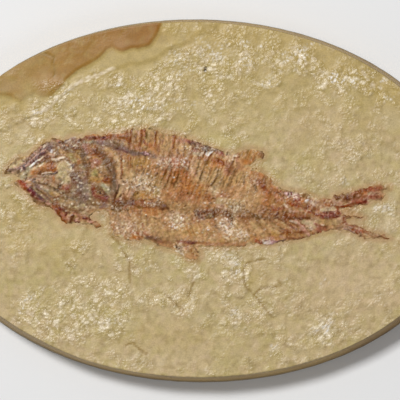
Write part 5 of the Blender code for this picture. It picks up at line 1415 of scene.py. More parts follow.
    ("brown", 0.65, 0.9, 0.05, 180, 247.4, 181.2, 247.7),
    ("stone_pink", 0.75, 0.9, 0.12, 177.6, 245.4, 178.2, 245.8),
    ("stone_pink", 0.6, 0.8, 0.08, 178.8, 247.2, 179.4, 247.4),
    ("cream", 0.8, 1.3, 0.08, 176.6, 251.6, 178.4, 252.4),
    ("cream", 0.85, 0.8, 0.12, 180.6, 253.3, 183, 253.8, 184, 255.2),
    ("umber", 0.5, 0.8, 0.05, 180.6, 250.6, 184, 250.8),
)

# The stalk of the tail, and the tail. Its white, lilac and cream marks are partly painted highlights.
TAIL_MARKS = (
    # above the stalk
    ("umber", 0.6, 0.9, 0.05, 252, 168.6, 257.5, 168.6),
    ("orange", 0.4, 2.4, 0.05, 252, 173, 260, 175, 267, 177),
    ("rust", 0.55, 1.6, 0.1, 268.5, 175, 270.6, 178, 271, 181.5),
    ("rust", 0.6, 1, 0.05, 257, 180.4, 260, 182.4),
    ("dark_red", 0.85, 1.3, 0.15, 260.6, 183.2, 261.4, 182.6),
    ("pink", 0.7, 1.8, 0.1, 255.5, 182.4, 258, 184.2), ("brown", 0.8, 1.5, 0.1, 263.6, 180.8, 265, 183.4),
    ("rust", 0.6, 3.6, 0.1, 260, 182, 262.6, 187, 266, 191.4),
    ("dark_red", 0.45, 1.4, 0.15, 262.4, 186.6, 264, 189.8),
    ("red", 0.4, 1.6, 0.15, 263.2, 187.4, 265.4, 188.8, 267, 190.6),
    ("pink", 0.65, 0.7, 0.1, 264.4, 185.5, 265.2, 185.2),
    ("umber", 0.75, 1.3, 0.1, 254.6, 185.8, 256, 188.6, 257, 191),
    ("brown", 0.75, 0.9, 0.05, 269.2, 184.2, 270, 183.4),
    ("rust", 0.8, 1.8, 0.15, 271, 187.6, 273.6, 190, 276.6, 191.8),
    ("red", 0.4, 1.4, 0.05, 272, 188, 275, 191), ("pink", 0.6, 1.1, 0.08, 276.4, 187.4, 277.6, 188.2),
    ("umber", 0.6, 0.9, 0.05, 280.4, 188, 283, 189.4),
    ("brown", 0.75, 1, 0.1, 276.6, 192.2, 279.4, 193.4, 281, 195.4),
    ("rust", 0.75, 1.6, 0.15, 281, 191.6, 283.4, 194.4, 284, 198),
    ("rust_pink", 0.8, 1.3, 0.1, 281, 197, 282, 199),
    ("dark_red", 0.7, 0.9, 0.05, 279, 199.3, 281.8, 200.4),
    ("pink", 0.45, 1.8, 0.05, 273.6, 192.6, 276.6, 196, 277.8, 201),
    ("ochre", 0.7, 1.1, 0.05, 273, 196.6, 273, 201, 274.6, 203.4),
    ("umber", 0.55, 0.7, 0, 275, 198.6, 275.2, 204),
    ("rust_pink", 0.7, 1.8, 0.1, 272.6, 206.4, 275, 209.6, 279, 209.2, 283, 208.4),
    ("red", 0.5, 1.2, 0.05, 273.6, 210, 277, 210),
    ("umber", 0.6, 1.1, 0.05, 282, 205, 283.6, 208, 283.2, 211.4),
    ("umber", 0.5, 1, 0.05, 266, 206, 270, 206.4, 271.6, 208),
    ("umber", 0.45, 1, 0.05, 268.6, 193, 271, 192.4), ("pink", 0.6, 0.9, 0.08, 263.6, 194.6, 264.8, 194.6),
    # cluster over the stalk: lilac, white and cream marks that are partly painted highlights, with plum and
    # dark marks beside them that are partly painted shade
    ("mauve", 0.6, 2.4, 0.1, 286.5, 194, 292, 194.6, 298, 196.6),
    ("lilac", 0.9, 1.1, 0.15, 285, 193.8, 287.4, 193.6), ("lilac", 0.8, 1, 0.1, 286.6, 195, 288.4, 194.2),
    ("dark_red", 0.8, 1.2, 0.05, 289.2, 195, 289.8, 193.6),
    ("violet", 0.65, 1.3, 0.05, 288.4, 195.8, 291.6, 192.8),
    ("lilac", 0.85, 0.8, 0.12, 288.2, 197.4, 289.4, 196.9), ("plum", 0.6, 1, 0, 291, 194.4, 291.6, 196),
    ("lilac", 0.85, 0.9, 0.12, 293, 195.6, 295.4, 194.2, 297, 195.4, 299.2, 196.4),
    ("plum", 0.55, 0.8, 0, 294.6, 196.2, 296, 196.6),
    ("lilac", 0.75, 0.7, 0.12, 293.6, 197.4, 295, 198.6, 297.4, 199.1, 300, 198.4),
    ("dark", 0.8, 0.9, 0, 296, 197.2, 297, 197.6), ("dark_red", 0.8, 0.9, 0.05, 300.2, 198.6, 301, 197.8),
    ("plum", 0.9, 1.3, 0.1, 294, 200, 297, 200.9, 300, 200),
    ("plum", 0.7, 0.9, 0.05, 298, 193.8, 299.2, 193.2),
    ("cream", 0.95, 0.9, 0.12, 300, 193.6, 302.4, 193.4), ("umber", 0.85, 1.4, 0.1, 303, 196.6, 305, 194.8),
    ("dark_red", 0.5, 1.1, 0.05, 306, 198.2, 307, 196.8), ("cream", 0.95, 1, 0.12, 308, 197.5, 309, 197),
    ("white", 0.95, 1.3, 0.15, 306, 201.6, 307.4, 200.4), ("pink", 0.7, 1.1, 0.08, 305, 202.2, 306, 202.6),
    ("cream", 0.75, 1.4, 0.1, 311, 202.2, 312.6, 203.8), ("mauve", 0.6, 1.2, 0.05, 309.6, 201, 311, 201.6),
    ("sage", 0.7, 1.3, 0, 311.4, 196.2, 313.6, 196), ("stone_pale", 0.8, 1.1, 0.05, 315, 198.6, 316.6, 199),
    ("umber", 0.4, 1.4, 0, 315.4, 201.4, 317, 202.8),
    ("orange", 0.85, 2, 0.1, 287.6, 200.6, 290, 203, 291, 205),
    ("deep_orange", 0.6, 1.2, 0.05, 290, 202.6, 291, 204.4),
    ("pink", 0.8, 0.8, 0.1, 292.2, 204.4, 293, 204.2), ("pink", 0.8, 0.8, 0.1, 294, 203.2, 295.2, 203.2),
    ("rust_pink", 0.85, 1.5, 0.1, 297, 202.2, 300, 204.2),
    ("orange", 0.75, 1.5, 0.1, 301.6, 201.4, 303.6, 202.6),
    ("rust", 0.8, 1.3, 0.1, 291.6, 206.2, 296, 205.6, 298, 206.6),
    ("dark_red", 0.75, 0.9, 0.05, 296.4, 206.4, 297.4, 205.4),
    ("pink", 0.8, 0.8, 0.08, 295.4, 207.6, 296.8, 207.3), ("dark", 0.7, 1.1, 0, 285, 206.4, 286.4, 206),
    ("cream", 0.65, 0.9, 0.1, 285.6, 207.8, 287.2, 207.5), ("pink", 0.6, 1.1, 0.08, 287.4, 205, 289, 206.4),
    ("sage", 0.6, 1.5, 0, 288.6, 209.4, 291, 211), ("sage", 0.6, 1.5, 0, 300.6, 210.4, 304, 209.6),
    ("rust", 0.6, 2.2, 0.15, 304.6, 206, 310, 206.6, 316, 209.6),
    ("dark_red", 0.75, 1.3, 0.1, 305, 208.4, 307.2, 208.6, 308, 206.4),
    ("dark_red", 0.75, 1, 0.05, 311.4, 210.8, 312.8, 210.2),
    ("pink", 0.8, 0.8, 0.1, 316.2, 211.6, 317.4, 211.2),
    ("pink", 0.7, 0.8, 0.1, 309.8, 208.4, 310.8, 208.2), ("brown", 0.8, 1.1, 0.1, 308.6, 212.4, 312, 212.2),
    ("brown", 0.9, 1.3, 0.15, 312.4, 212.8, 315.4, 214, 318, 215.6),
    # the backbone's last joints, with a dark rod at the end
    ("umber", 0.8, 1.4, 0.2, 253, 216, 256, 216.6, 259, 218.8),
    ("umber", 0.75, 1.3, 0.15, 261, 215.4, 262, 213.6),
    ("brown", 0.7, 1.1, 0.15, 271.8, 214.4, 273.4, 213.8),
    ("dark", 0.75, 1.3, 0.15, 275.6, 215.4, 278.2, 213.6),
    ("brown", 0.75, 1, 0.1, 269.4, 218.6, 270.8, 218.2),
    ("dark_red", 0.7, 1.2, 0.15, 276, 218.2, 278.4, 219), ("brown", 0.55, 1, 0.1, 264, 219.8, 266, 219.4),
    ("brown", 0.6, 1, 0.1, 279.4, 220, 281, 220.2), ("umber", 0.8, 1.5, 0.2, 283.6, 214.6, 287, 215.2),
    ("umber", 0.6, 1, 0.1, 285.4, 212.2, 286.6, 211.8),
    ("dark_red", 0.85, 1.4, 0.15, 282.8, 219, 284.4, 218.4),
    ("rust", 0.75, 1.7, 0.15, 285, 216.6, 287, 220.4), ("brown", 0.85, 1.1, 0.15, 288.8, 218, 291.4, 220),
    ("pink", 0.5, 1.6, 0.1, 279, 216.4, 281, 218.4), ("rust", 0.75, 1.4, 0.15, 291.4, 215.4, 296, 214.4),
    ("dark_red", 0.8, 1.2, 0.15, 292.6, 217, 295.6, 216.4),
    ("rust_pink", 0.6, 1.6, 0.1, 299, 215.6, 304, 216.8),
    ("dark_red", 0.9, 1.5, 0.15, 295.8, 217.4, 297.6, 219.4, 302, 219),
    ("dark_red", 0.7, 1.7, 0.1, 284, 217.6, 290, 218, 297, 218.4, 304, 218.4),
    ("dark", 0.95, 1.2, 0.2, 294, 218.2, 299.5, 219.2, 303, 218.7, 306, 218.2, 309.6, 218.5),
    ("cream", 0.75, 1, 0.12, 295.6, 221.6, 296, 223.2), ("pink", 0.8, 1, 0.1, 292.6, 221.2, 295, 221.4),
    ("brown", 0.8, 1, 0.1, 291.2, 221.8, 294, 224, 297.4, 226.4),
    ("brown", 0.8, 0.9, 0.1, 299, 221.6, 302, 222.8, 304, 226, 305, 229, 308, 232.4, 310, 234.4),
    ("rust", 0.85, 1.9, 0.15, 300.8, 225.2, 303, 226.8),
    ("dark_red", 0.55, 1.1, 0.05, 296, 225.8, 298.4, 226), ("pink", 0.6, 1.8, 0.05, 290, 227.6, 296, 228.4),
    ("rust_pink", 0.6, 1.4, 0.1, 281, 229.6, 286, 230.6, 292, 230),
    ("pink", 0.9, 1.2, 0.15, 299.8, 228.6, 303, 230.8, 306, 233.4, 308.6, 235.6),
    ("rust_pink", 0.45, 1.4, 0.05, 302, 231.6, 306, 235),
    ("stone_pink", 0.8, 2.8, 0, 306.6, 222, 311, 225, 312, 229),
    ("cream", 0.8, 1.1, 0.08, 310, 227.8, 311, 227.2), ("cream", 0.75, 1, 0.08, 311.6, 230, 312.4, 229.4),
    ("dark", 0.65, 0.9, 0, 306.6, 228.6, 307.6, 228.2),
    ("brown", 0.75, 0.9, 0.05, 309.8, 231.8, 311.4, 231.2),
    ("umber", 0.6, 0.9, 0.05, 313, 229.4, 314.6, 230),
    # belly of the stalk
    ("sand", 0.8, 2, 0, 272.4, 224, 275, 226, 280, 229), ("ochre", 0.5, 2.2, 0.05, 260, 226, 267, 226.4),
    ("ochre", 0.85, 2.8, 0.05, 273, 233.4, 278, 234),
    ("deep_orange", 0.55, 1.2, 0.05, 272, 236.8, 273.4, 237.6),
    ("umber", 0.6, 1.4, 0.05, 267.6, 234.2, 269.4, 233.8),
    ("cream", 0.6, 1.1, 0.08, 264.4, 230.4, 265.6, 229.6),
    ("brown", 0.8, 1.1, 0.08, 279.6, 231.4, 283.4, 232.4, 284.2, 233.6),
    ("olive", 0.85, 1.5, 0.08, 287, 232.2, 290, 233.6, 290, 235.4),
    ("brown", 0.8, 0.8, 0.08, 291.4, 232.2, 295, 232.8, 299.6, 232.2),
    ("rust", 0.55, 2.2, 0.05, 287, 233.6, 294, 234.2, 302, 233.4),
    ("olive", 0.45, 1.3, 0.05, 288, 233.4, 292, 234.4), ("rust", 0.55, 1.2, 0.08, 286.6, 229.4, 287, 236),
    ("rust", 0.9, 1.7, 0.15, 287.6, 237.6, 291, 238.2, 296, 238.4, 301, 237.8, 304, 237.2),
    ("dark_red", 0.75, 1, 0.05, 293.6, 238.8, 298, 238.6, 304, 237.2),
    ("brown", 0.6, 0.9, 0.05, 290, 238.2, 291.4, 237.6),
    ("umber", 0.6, 0.8, 0.05, 305, 236.6, 307.6, 236.6), ("olive", 0.85, 0.7, 0.05, 306, 239.3, 308, 239.4),
    ("orange", 0.75, 2.2, 0.1, 251.4, 236, 254, 238, 256.4, 239.6),
    ("umber", 0.5, 1.1, 0.05, 254.6, 233.6, 256.4, 237),
    ("red", 0.92, 1.9, 0.2, 256, 240.8, 258.4, 241.8, 261, 242.8),
    ("dark_red", 0.85, 1, 0.05, 257.6, 243.4, 260, 243.2, 262.4, 243.2),
    ("dark_red", 0.6, 0.9, 0.05, 258, 240, 260.4, 242),
    ("mauve", 0.8, 2.2, 0.1, 264, 242, 268, 242.4, 272, 242),
    ("lilac", 0.85, 0.8, 0.12, 262.4, 240.8, 263.4, 241.4),
    ("white", 0.75, 0.8, 0.12, 264.8, 243.2, 266, 243.6),
    ("white", 0.8, 0.8, 0.12, 267.4, 244, 268.2, 243.8), ("white", 0.75, 0.8, 0.12, 270, 243.4, 270.8, 243),
    ("lilac", 0.75, 0.8, 0.12, 272.2, 242.2, 273, 242),
    ("violet", 0.85, 0.9, 0.05, 266, 240.8, 268.6, 240.9, 271, 241.6),
    ("white", 0.6, 0.7, 0.08, 265.6, 242.4, 266.8, 242),
    ("violet", 0.8, 1, 0.1, 274.4, 241.8, 276.4, 242.2, 280, 241.4, 284, 240.4, 286, 239.2),
    ("dark_red", 0.6, 1, 0.05, 275.4, 241.6, 277.4, 242.4),
    ("pink", 0.6, 1.6, 0.05, 266.6, 238.4, 273, 238.4), ("pink", 0.65, 1.3, 0.08, 280.6, 236, 284, 238),
    ("umber", 0.55, 0.8, 0.05, 263.6, 236.6, 265, 239.8),
    ("cream", 0.8, 0.9, 0.08, 258, 245.2, 259.4, 245.5),
    # root of the tail
    ("stone_pale", 0.85, 2, 0, 321.6, 210, 328, 209.6, 334, 209.4),
    ("sand", 0.6, 2.6, 0, 324, 202, 331, 203), ("orange", 0.6, 1.6, 0.1, 325.6, 205, 328.6, 205.2),
    ("rust", 0.65, 0.8, 0.1, 324.4, 199.8, 324.4, 203.8, 327, 205.8, 331, 206),
    ("rust", 0.6, 0.8, 0.1, 326, 203.4, 329, 202.6, 331.6, 200.8, 329, 199.4, 326.4, 200.4),
    ("rust", 0.6, 0.8, 0.1, 330.6, 202.4, 332.6, 203.6, 332.4, 206),
    ("pink", 0.5, 1.4, 0.05, 334, 201.6, 338, 203.6, 341, 203),
    ("rust_pink", 0.92, 3.4, 0.25, 322.6, 216, 328, 215.8, 334, 215.2, 338, 213.8),
    ("plum", 0.75, 2.6, 0.1, 323, 216.6, 328.6, 216.8, 335, 215.2),
    ("dark_red", 0.9, 1.1, 0.05, 323, 212.4, 329, 212, 334, 211.6, 337.6, 211.8, 340.2, 213.6),
    ("dark_red", 0.92, 1.3, 0.05, 324.6, 217.6, 328, 219, 331.6, 218.8, 335, 216.8, 338.8, 216.6),
    ("dark_red", 0.85, 1.1, 0, 321, 215.4, 322.8, 216.2), ("dark_red", 0.7, 1, 0, 331, 213.8, 333, 213.4),
    ("dark_red", 0.75, 1.3, 0.05, 333, 216.4, 336.4, 214.6),
    ("pink", 0.5, 0.8, 0.1, 327.4, 215.6, 328.8, 215.2),
    ("pink", 0.45, 0.9, 0.1, 330.8, 215.4, 332.4, 214.8),
    ("pink", 0.75, 0.8, 0.1, 321.8, 214.2, 323.2, 214.4), ("dark_red", 0.7, 1.6, 0, 334, 214.6, 338, 213.8),
    ("pink", 0.45, 0.7, 0.1, 337.4, 212.6, 338.4, 212.4),
    ("rust", 0.85, 1.5, 0.15, 336.4, 207, 337.8, 209.4, 336, 211.4, 337.4, 213.4),
    ("red", 0.5, 1.1, 0.05, 336.4, 208, 337.6, 209.6),
    ("rust_pink", 0.85, 2.6, 0.2, 315.4, 225.4, 319.6, 227.6, 319, 231),
    ("plum", 0.55, 1, 0.05, 315, 224.4, 318, 225.4, 320, 228.4, 317.4, 231.6),
    ("dark_red", 0.6, 0.9, 0.05, 318.6, 224.6, 321, 226.4),
    ("rust_pink", 0.65, 2.4, 0.1, 322.4, 228.8, 327, 229.2),
    ("brown", 0.92, 1.1, 0.12, 320.6, 226.4, 323.6, 226.6, 326.4, 226.2, 327.4, 228, 329, 229.4),
    ("cream", 0.7, 1, 0.08, 321.8, 225.4, 323.4, 225.6), ("sand", 0.6, 2.2, 0.05, 328.6, 228.6, 335, 229),
    ("rust", 0.85, 1.1, 0.12, 312.6, 233.8, 316, 233.6, 320.6, 231.8),
    ("pink", 0.85, 0.9, 0.08, 310.6, 236.4, 315, 234.9, 320, 233.9, 325.6, 232.4),
    ("umber", 0.6, 1.1, 0.05, 309.8, 234.6, 312, 236.2),
    # upper lobe, in streaks with stone between them
    ("umber", 0.92, 2, 0.2, 334.6, 196, 337, 197.6, 340.4, 197.4, 343, 196.2),
    ("umber", 0.3, 1.4, 0.05, 343, 200.6, 350, 200, 357, 199),
    ("rust", 0.55, 2, 0.05, 353, 199, 360, 197.6, 367, 196.4),
    ("olive", 0.7, 1.1, 0.1, 336.6, 199.2, 338.4, 198.6),
    ("umber", 0.35, 0.9, 0.05, 338.6, 194.6, 343, 194, 348, 193),
    ("umber", 0.7, 2.6, 0.2, 344.4, 198, 348, 197.4, 353, 195.6),
    ("brown", 0.92, 2.4, 0.15, 344.6, 198.6, 348, 197.8, 353.6, 196.2),
    ("dark", 0.6, 1.1, 0.05, 345, 199.8, 348.4, 199.4, 351.6, 199.8),
    ("grey_brown", 0.6, 0.8, 0.1, 344.6, 195.6, 348.6, 194.6),
    ("rust", 0.85, 1.9, 0.2, 352.4, 195, 355, 193, 359, 192.2),
    ("pink", 0.75, 0.8, 0.1, 352.4, 193.8, 354.6, 193.2),
    ("dark_red", 0.85, 1, 0.05, 355.2, 195, 356.6, 194, 358, 192.6, 359.6, 192.2),
    ("rust", 0.92, 2.2, 0.2, 358.4, 192.2, 362, 190.8, 366, 189.4, 370, 188.6),
    ("deep_orange", 0.5, 1, 0.05, 362, 190.6, 367, 189.2),
    ("rust", 0.8, 1, 0.1, 360.2, 194.2, 362, 192.8, 364, 192),
    ("orange", 0.8, 1.4, 0.1, 359.4, 195.4, 363, 193.8, 367.6, 192.4),
    ("umber", 0.65, 1.8, 0.1, 353.6, 198, 357.6, 197, 361, 195.6),
    ("pink", 0.65, 0.7, 0.08, 357.4, 196.8, 358.8, 195.6),
    ("rust", 0.55, 1, 0.08, 360, 199, 364, 196.6, 367.4, 195.4),
    ("stone_pale", 0.9, 1.5, 0, 368, 194, 370, 192.4, 371.4, 191.6),
    ("red", 0.92, 2.8, 0.25, 371.4, 190, 375, 189.6, 379.6, 188.6),
    ("rust_pink", 0.6, 1.6, 0.05, 372.6, 190.6, 377.4, 189.8),
    ("dark_red", 0.65, 0.9, 0.1, 371, 189, 374, 187.8, 378, 187, 380.4, 187.8, 381, 189.4),
    ("dark_red", 0.75, 0.9, 0.05, 374, 188.4, 375.4, 187.8),
    ("umber", 0.92, 1.1, 0.15, 380, 190.4, 382.4, 189.5, 384.4, 188.6, 386, 188),
    ("olive", 0.55, 0.7, 0.1, 385.6, 188.2, 389, 187.4), ("pink", 0.8, 1, 0.08, 371.4, 191.8, 374.4, 193.4),
    ("dark_red", 0.65, 0.9, 0.1, 374.4, 195.6, 377, 193.6, 380, 192.4),
    ("rust_pink", 0.92, 2.2, 0.25, 369.6, 197.4, 374, 197.4, 379, 196.8),
    ("red", 0.55, 1.3, 0, 371, 197.4, 374, 197.6, 377, 197),
    ("rust_pink", 0.5, 1.2, 0.05, 373, 199, 377, 199.2),
    ("dark_red", 0.9, 1.3, 0.05, 375.8, 197.2, 377.2, 196.4),
    ("dark_red", 0.7, 0.9, 0.05, 370, 196.6, 371, 197.8),
    ("brown", 0.8, 0.8, 0.05, 379.2, 195, 381, 196.8, 380, 199),
    ("orange", 0.75, 1.1, 0.05, 381.8, 196.6, 382, 198),
    ("umber", 0.75, 0.7, 0.05, 382.6, 195.8, 383.8, 198, 381, 199.6, 378, 199.6),
    ("pink", 0.7, 0.9, 0.08, 379.6, 193.8, 382.6, 194),
    ("rust_pink", 0.85, 2.4, 0.2, 352.4, 202.4, 357, 201.6, 363, 200.8),
    ("red", 0.8, 1.9, 0.15, 356.6, 203.4, 361, 202.8, 365.6, 202),
    ("dark_red", 0.85, 1.3, 0.05, 358, 204, 362, 202.8, 365.2, 201.2, 366, 203.4),
    ("pink", 0.8, 1, 0.1, 366.8, 203.6, 367.8, 202.4), ("pink", 0.75, 1, 0.08, 363, 199.8, 365, 199),
    ("plum", 0.6, 1, 0.08, 365.6, 200, 368.4, 199),
    ("umber", 0.75, 0.8, 0.05, 355.4, 204.4, 359.4, 205.4, 364.4, 204.4),
    ("rust", 0.95, 1.4, 0.2, 335, 206.2, 339, 207.1, 343.4, 207, 347, 205.8, 352, 204.2, 354, 204),
    ("rust", 0.75, 1, 0.1, 345, 207.9, 350.4, 206.8, 353.4, 205.4),
    ("dark_red", 0.4, 1, 0.05, 338, 206.8, 343, 206.8),
    ("umber", 0.65, 0.7, 0.08, 341.6, 201, 345, 202, 349.4, 200.6, 351.4, 200.8),
    ("umber", 0.6, 0.7, 0.08, 343, 205, 345, 203.4, 349, 202.6),
    ("sand", 0.6, 1.1, 0.05, 344.4, 204.8, 347, 204),
    # middle ray
    ("rust", 0.45, 2.4, 0, 343, 217.6, 347, 218, 352, 217.6),
    ("umber", 0.65, 1.9, 0.1, 343.4, 216.4, 347, 217, 351.6, 216.6),
    ("umber", 0.6, 0.8, 0.08, 344, 215.6, 349, 215.4, 352, 215.6),
    ("umber", 0.55, 0.9, 0.08, 352, 216.4, 356, 216.6),
    ("olive", 0.8, 0.9, 0.1, 355.6, 216.4, 358.4, 217, 360.6, 217.6, 363, 217.4),
    ("rust", 0.65, 1.2, 0.1, 342.8, 217.4, 343.2, 220.4), ("pink", 0.6, 1.6, 0.05, 345, 219.4, 345.4, 221),
    ("stone_pink", 0.8, 2, 0, 345, 211.6, 350, 212.4),
    # lower lobe, in thin streaks
    ("rust", 0.75, 1.1, 0.1, 339.6, 223.8, 343, 223, 345.6, 221.6),
    ("tan", 0.8, 2, 0.08, 328, 227.4, 335, 226.4, 341.6, 225),
    ("rust", 0.45, 0.9, 0.08, 330.6, 226.6, 336, 226, 341, 224.8),
    ("umber", 0.7, 0.9, 0.05, 332.6, 224.8, 336.4, 226),
    ("umber", 0.92, 1, 0.12, 336.4, 228.4, 339.4, 227.6, 342.2, 227),
    ("stone_pale", 0.7, 1.2, 0, 341.6, 230.6, 344.4, 230.6),
    ("violet", 0.9, 0.9, 0.12, 343.8, 228, 346, 229, 349, 230.2, 352.4, 232.2),
    ("violet", 0.75, 0.8, 0.1, 349.2, 227.4, 352.4, 229),
    ("pink", 0.55, 0.8, 0.08, 344.8, 226, 347.4, 227.6),
    ("grey_brown", 0.6, 1.2, 0.05, 343.6, 228, 347, 228.8),
    ("rust_pink", 0.7, 1.1, 0.1, 346, 224, 350, 226, 354, 227.2),
    ("rust", 0.65, 0.7, 0.1, 350, 225, 354.4, 226, 359, 227.6, 364, 229.6, 368.6, 231.6),
    ("umber", 0.5, 0.6, 0.1, 352.4, 224.6, 358, 226.4, 362.4, 227.8),
    ("rust", 0.8, 1.7, 0.15, 352.4, 229.4, 355.4, 230, 356.8, 232.8),
    ("brown", 0.75, 1.1, 0.05, 355.4, 230.6, 356.6, 233.4), ("mauve", 0.6, 1.2, 0.05, 351.6, 232, 354, 233),
    ("rust_pink", 0.85, 1.7, 0.15, 357.4, 231, 361.6, 231.6, 366.4, 232.2),
    ("orange", 0.4, 1.2, 0.05, 360, 230.6, 366, 232),
    ("brown", 0.85, 1, 0.12, 359.2, 232.8, 362, 234.2, 364.4, 236.4, 364.6, 238.8),
    ("brown", 0.75, 0.9, 0.1, 359.6, 235.4, 363, 236.2, 367.4, 235.8),
    ("sand", 0.75, 1, 0.08, 367, 235.8, 368, 235.2),
    ("rust", 0.75, 1, 0.12, 367.6, 233.4, 370.6, 235.8, 374, 237.7),
    ("rust", 0.75, 1, 0.12, 369.6, 232.8, 374, 235.2, 377.6, 236.8),
    ("umber", 0.85, 0.9, 0.12, 376.6, 236.8, 381, 236.4, 383.4, 238.1, 386, 238.7, 389, 238.4),
    ("rust", 0.6, 0.8, 0.1, 380, 234.6, 384, 235.4),
)

# Single pale and dark grains: colour, share, half width, rise in mm, and x and y of each grain. The cream and
# white grains are partly painted glints.
GRAINS = (
    ("cream", 0.66, 0.85, 0.1, (
        23, 141, 31.6, 140.6, 32.6, 146.6, 30, 150.3, 26.2, 153, 34.4, 144.6, 31.2, 144.4, 26.6, 136.6,
        36.2, 167, 53.6, 150.2, 57, 147, 111.2, 142, 117.5, 160.6, 123.5, 160.8, 148.4, 159.3, 148.3, 166.6,
        154.6, 170.4, 167.2, 159.3, 166.4, 163.4, 162, 168.2, 169.2, 168, 163.4, 166.4, 176.6, 167.6,
        191.4, 168.4, 199, 156.3, 126.6, 180.6, 127.3, 182.6, 123.2, 184.6, 127, 188.4, 135.4, 187.6,
        137.3, 186.3, 143.5, 187.4, 144.4, 180.3, 146.5, 178.6, 149.3, 180.6, 151.6, 176.3, 158.5, 190.4,
        143.8, 190.5, 159.6, 196.6, 158.4, 198.6, 144.6, 202.6, 153.4, 203.6, 155.6, 204.6, 157.6, 203,
        112.4, 206, 116, 208.4, 120.6, 199.4, 123, 204.4, 167.8, 191.4, 175, 197.4, 211.5, 189.6,
        214.6, 192, 217.4, 193, 221.5, 192.5, 221.5, 196.6, 221.4, 200.6, 204.8, 203, 214.6, 203,
        197.5, 221, 201.5, 219.5, 206.6, 165.4, 232, 152, 229.4, 161, 232.4, 159.4, 128.3, 228.5,
        133.4, 231.4, 117.3, 228, 113.5, 222.4, 119, 232.4, 126, 231.6, 128.3, 238.4, 111.4, 236.6,
        131, 226, 146, 215.3, 163.3, 226.4, 165.4, 218, 170, 226.4, 184.5, 226.4, 213.5, 231.6,
        214.4, 235.4, 202.3, 232.5, 197.6, 233, 221.5, 215.6, 219.4, 224.4, 234.4, 222.6, 232.4, 227,
        224.4, 226, 228, 233.3, 225, 230.4, 229.6, 235, 232.4, 233.4, 232.5, 238.6, 237, 236.6,
        241.6, 231.6, 242, 236, 246.6, 247, 189.3, 147.6, 184.6, 146.6, 182, 146.6, 186.4, 148.6,
        157, 158.2, 246.6, 173, 222.3, 220, 234, 211, 238, 206.6, 230, 206.6,
    )),
    ("white", 0.74, 0.85, 0.14, (
        147.3, 174.4, 132.6, 187.4, 139.3, 185.4, 145.5, 184, 155.5, 187.6, 153, 187.4, 157, 163.6,
        158.2, 164.2, 148, 203.6, 150, 203.7, 177.4, 160.8, 215.3, 219.2, 173.4, 225.3, 172.4, 226.8,
        175.4, 228.8, 177, 227.6, 174.2, 224.4, 227.3, 219.6, 231.3, 224, 226, 227, 227.2, 228.4,
        226.3, 231.6, 220.3, 222.6, 246.3, 234.4, 174, 177.5, 184.5, 162.5, 185.4, 158.6, 205.3, 148.4,
        181.4, 218, 207.4, 227.4, 208.3, 230,
    )),
    ("brown", 0.75, 0.85, 0.04, (
        107.5, 143.6, 111.5, 140.4, 113.5, 143.6, 117, 143, 117.4, 146.3, 112.5, 146.3, 116.5, 148.3,
        119.5, 141, 161.4, 163, 164.4, 163.6, 160.3, 166.5, 166, 170, 178.3, 168, 181.5, 167.5, 183.3, 160,
        189.3, 162.3, 162.4, 160.4, 170.5, 163, 174, 165.5, 172.4, 160.6, 169.7, 156.5, 121.4, 178.5,
        123.5, 182, 125.5, 183, 129.5, 184.6, 146.5, 185.3, 149.5, 185.3, 148.2, 187.4, 138.6, 186.5,
        136.5, 187.4, 142.4, 185.3, 153.4, 185.3, 122.6, 191.6, 123.4, 193.8, 130.5, 207.5, 144.3, 204.8,
        151.6, 203.5, 158.3, 206.3, 172.3, 183.5, 177.3, 183.5, 182.3, 183.5, 181.8, 187.5, 179.3, 186.5,
        189.5, 183, 191.3, 181.4, 187, 193.6, 191.2, 193.6, 174.5, 199, 176.5, 202.5, 178.3, 204.5,
        184.8, 206, 199.8, 195, 202.6, 196.6, 205, 197.5, 207.5, 192, 207.5, 199, 216.5, 186.5, 215, 189.3,
        221.3, 194.5, 214.5, 207.4, 172, 211, 174, 212.2, 206.5, 221.5, 122.5, 227.6, 125.5, 233.6,
        128.5, 239.5, 142.3, 232, 129, 226.4, 146.6, 216.4, 157.4, 173.6, 185.5, 186, 168, 194, 173.6, 191,
        183.3, 195.4, 180.2, 195.2, 195.6, 186, 208.6, 187, 221.4, 227.4, 222.6, 224.4, 229.6, 227,
        217.6, 215.4, 220, 213, 239.5, 238.6, 241.6, 238.8, 245.6, 240.4, 228.4, 236.8, 219, 230,
        145.2, 168.3, 138, 194, 170, 231, 189, 224, 184, 222.4,
    )),
    ("dark", 0.8, 0.85, 0.04, (
        38, 156, 40.6, 156.4, 33, 161.6, 35.6, 160.4, 22.4, 167.6, 27, 169.8, 17, 173.2, 9.6, 172.2,
        40, 149.8, 47.4, 149.2, 45.4, 146.6, 58.4, 142.4, 61.6, 143.4, 196.5, 211.2, 198, 211.6, 203.2, 212,
        204.6, 213, 195.5, 215.6, 207, 214.6, 206.8, 216, 206.4, 218.4, 211.5, 210, 213, 213, 213, 216.8,
        226.3, 211.6, 229, 213.6, 227.8, 216, 120.6, 194.6, 119.9, 196.6, 232, 221, 127, 204, 133.5, 201,
        201.6, 215, 210, 218.6,
    )),
    ("pink", 0.7, 0.9, 0.08, (
        33, 158.3, 35.5, 154.2, 33.5, 153.2, 44.8, 149.6, 43, 151.2, 46.6, 151.4, 28.3, 158.6, 27, 156.6,
        25.2, 157.8, 29.8, 160.6, 20.6, 167.8, 24, 163.4, 12.2, 167, 14.4, 167.6, 11.2, 172.8, 200.4, 215.5,
        203.5, 216, 194.6, 219.4, 191.3, 171.4, 194.6, 173, 196, 175.6, 188.6, 178, 138.5, 170.2,
        143.4, 170.2, 171, 193.6, 186.5, 196.5, 189, 199.6, 133.4, 207, 132.8, 211, 178.6, 213.6,
        173.2, 215, 151, 155.4, 123.6, 135.6, 193.8, 141.5, 209.6, 211, 222, 212, 235.6, 213, 245.8, 221.4,
        244.6, 228.4, 183.4, 219, 180.6, 223, 181.6, 225.4, 168.6, 222,
    )),
)

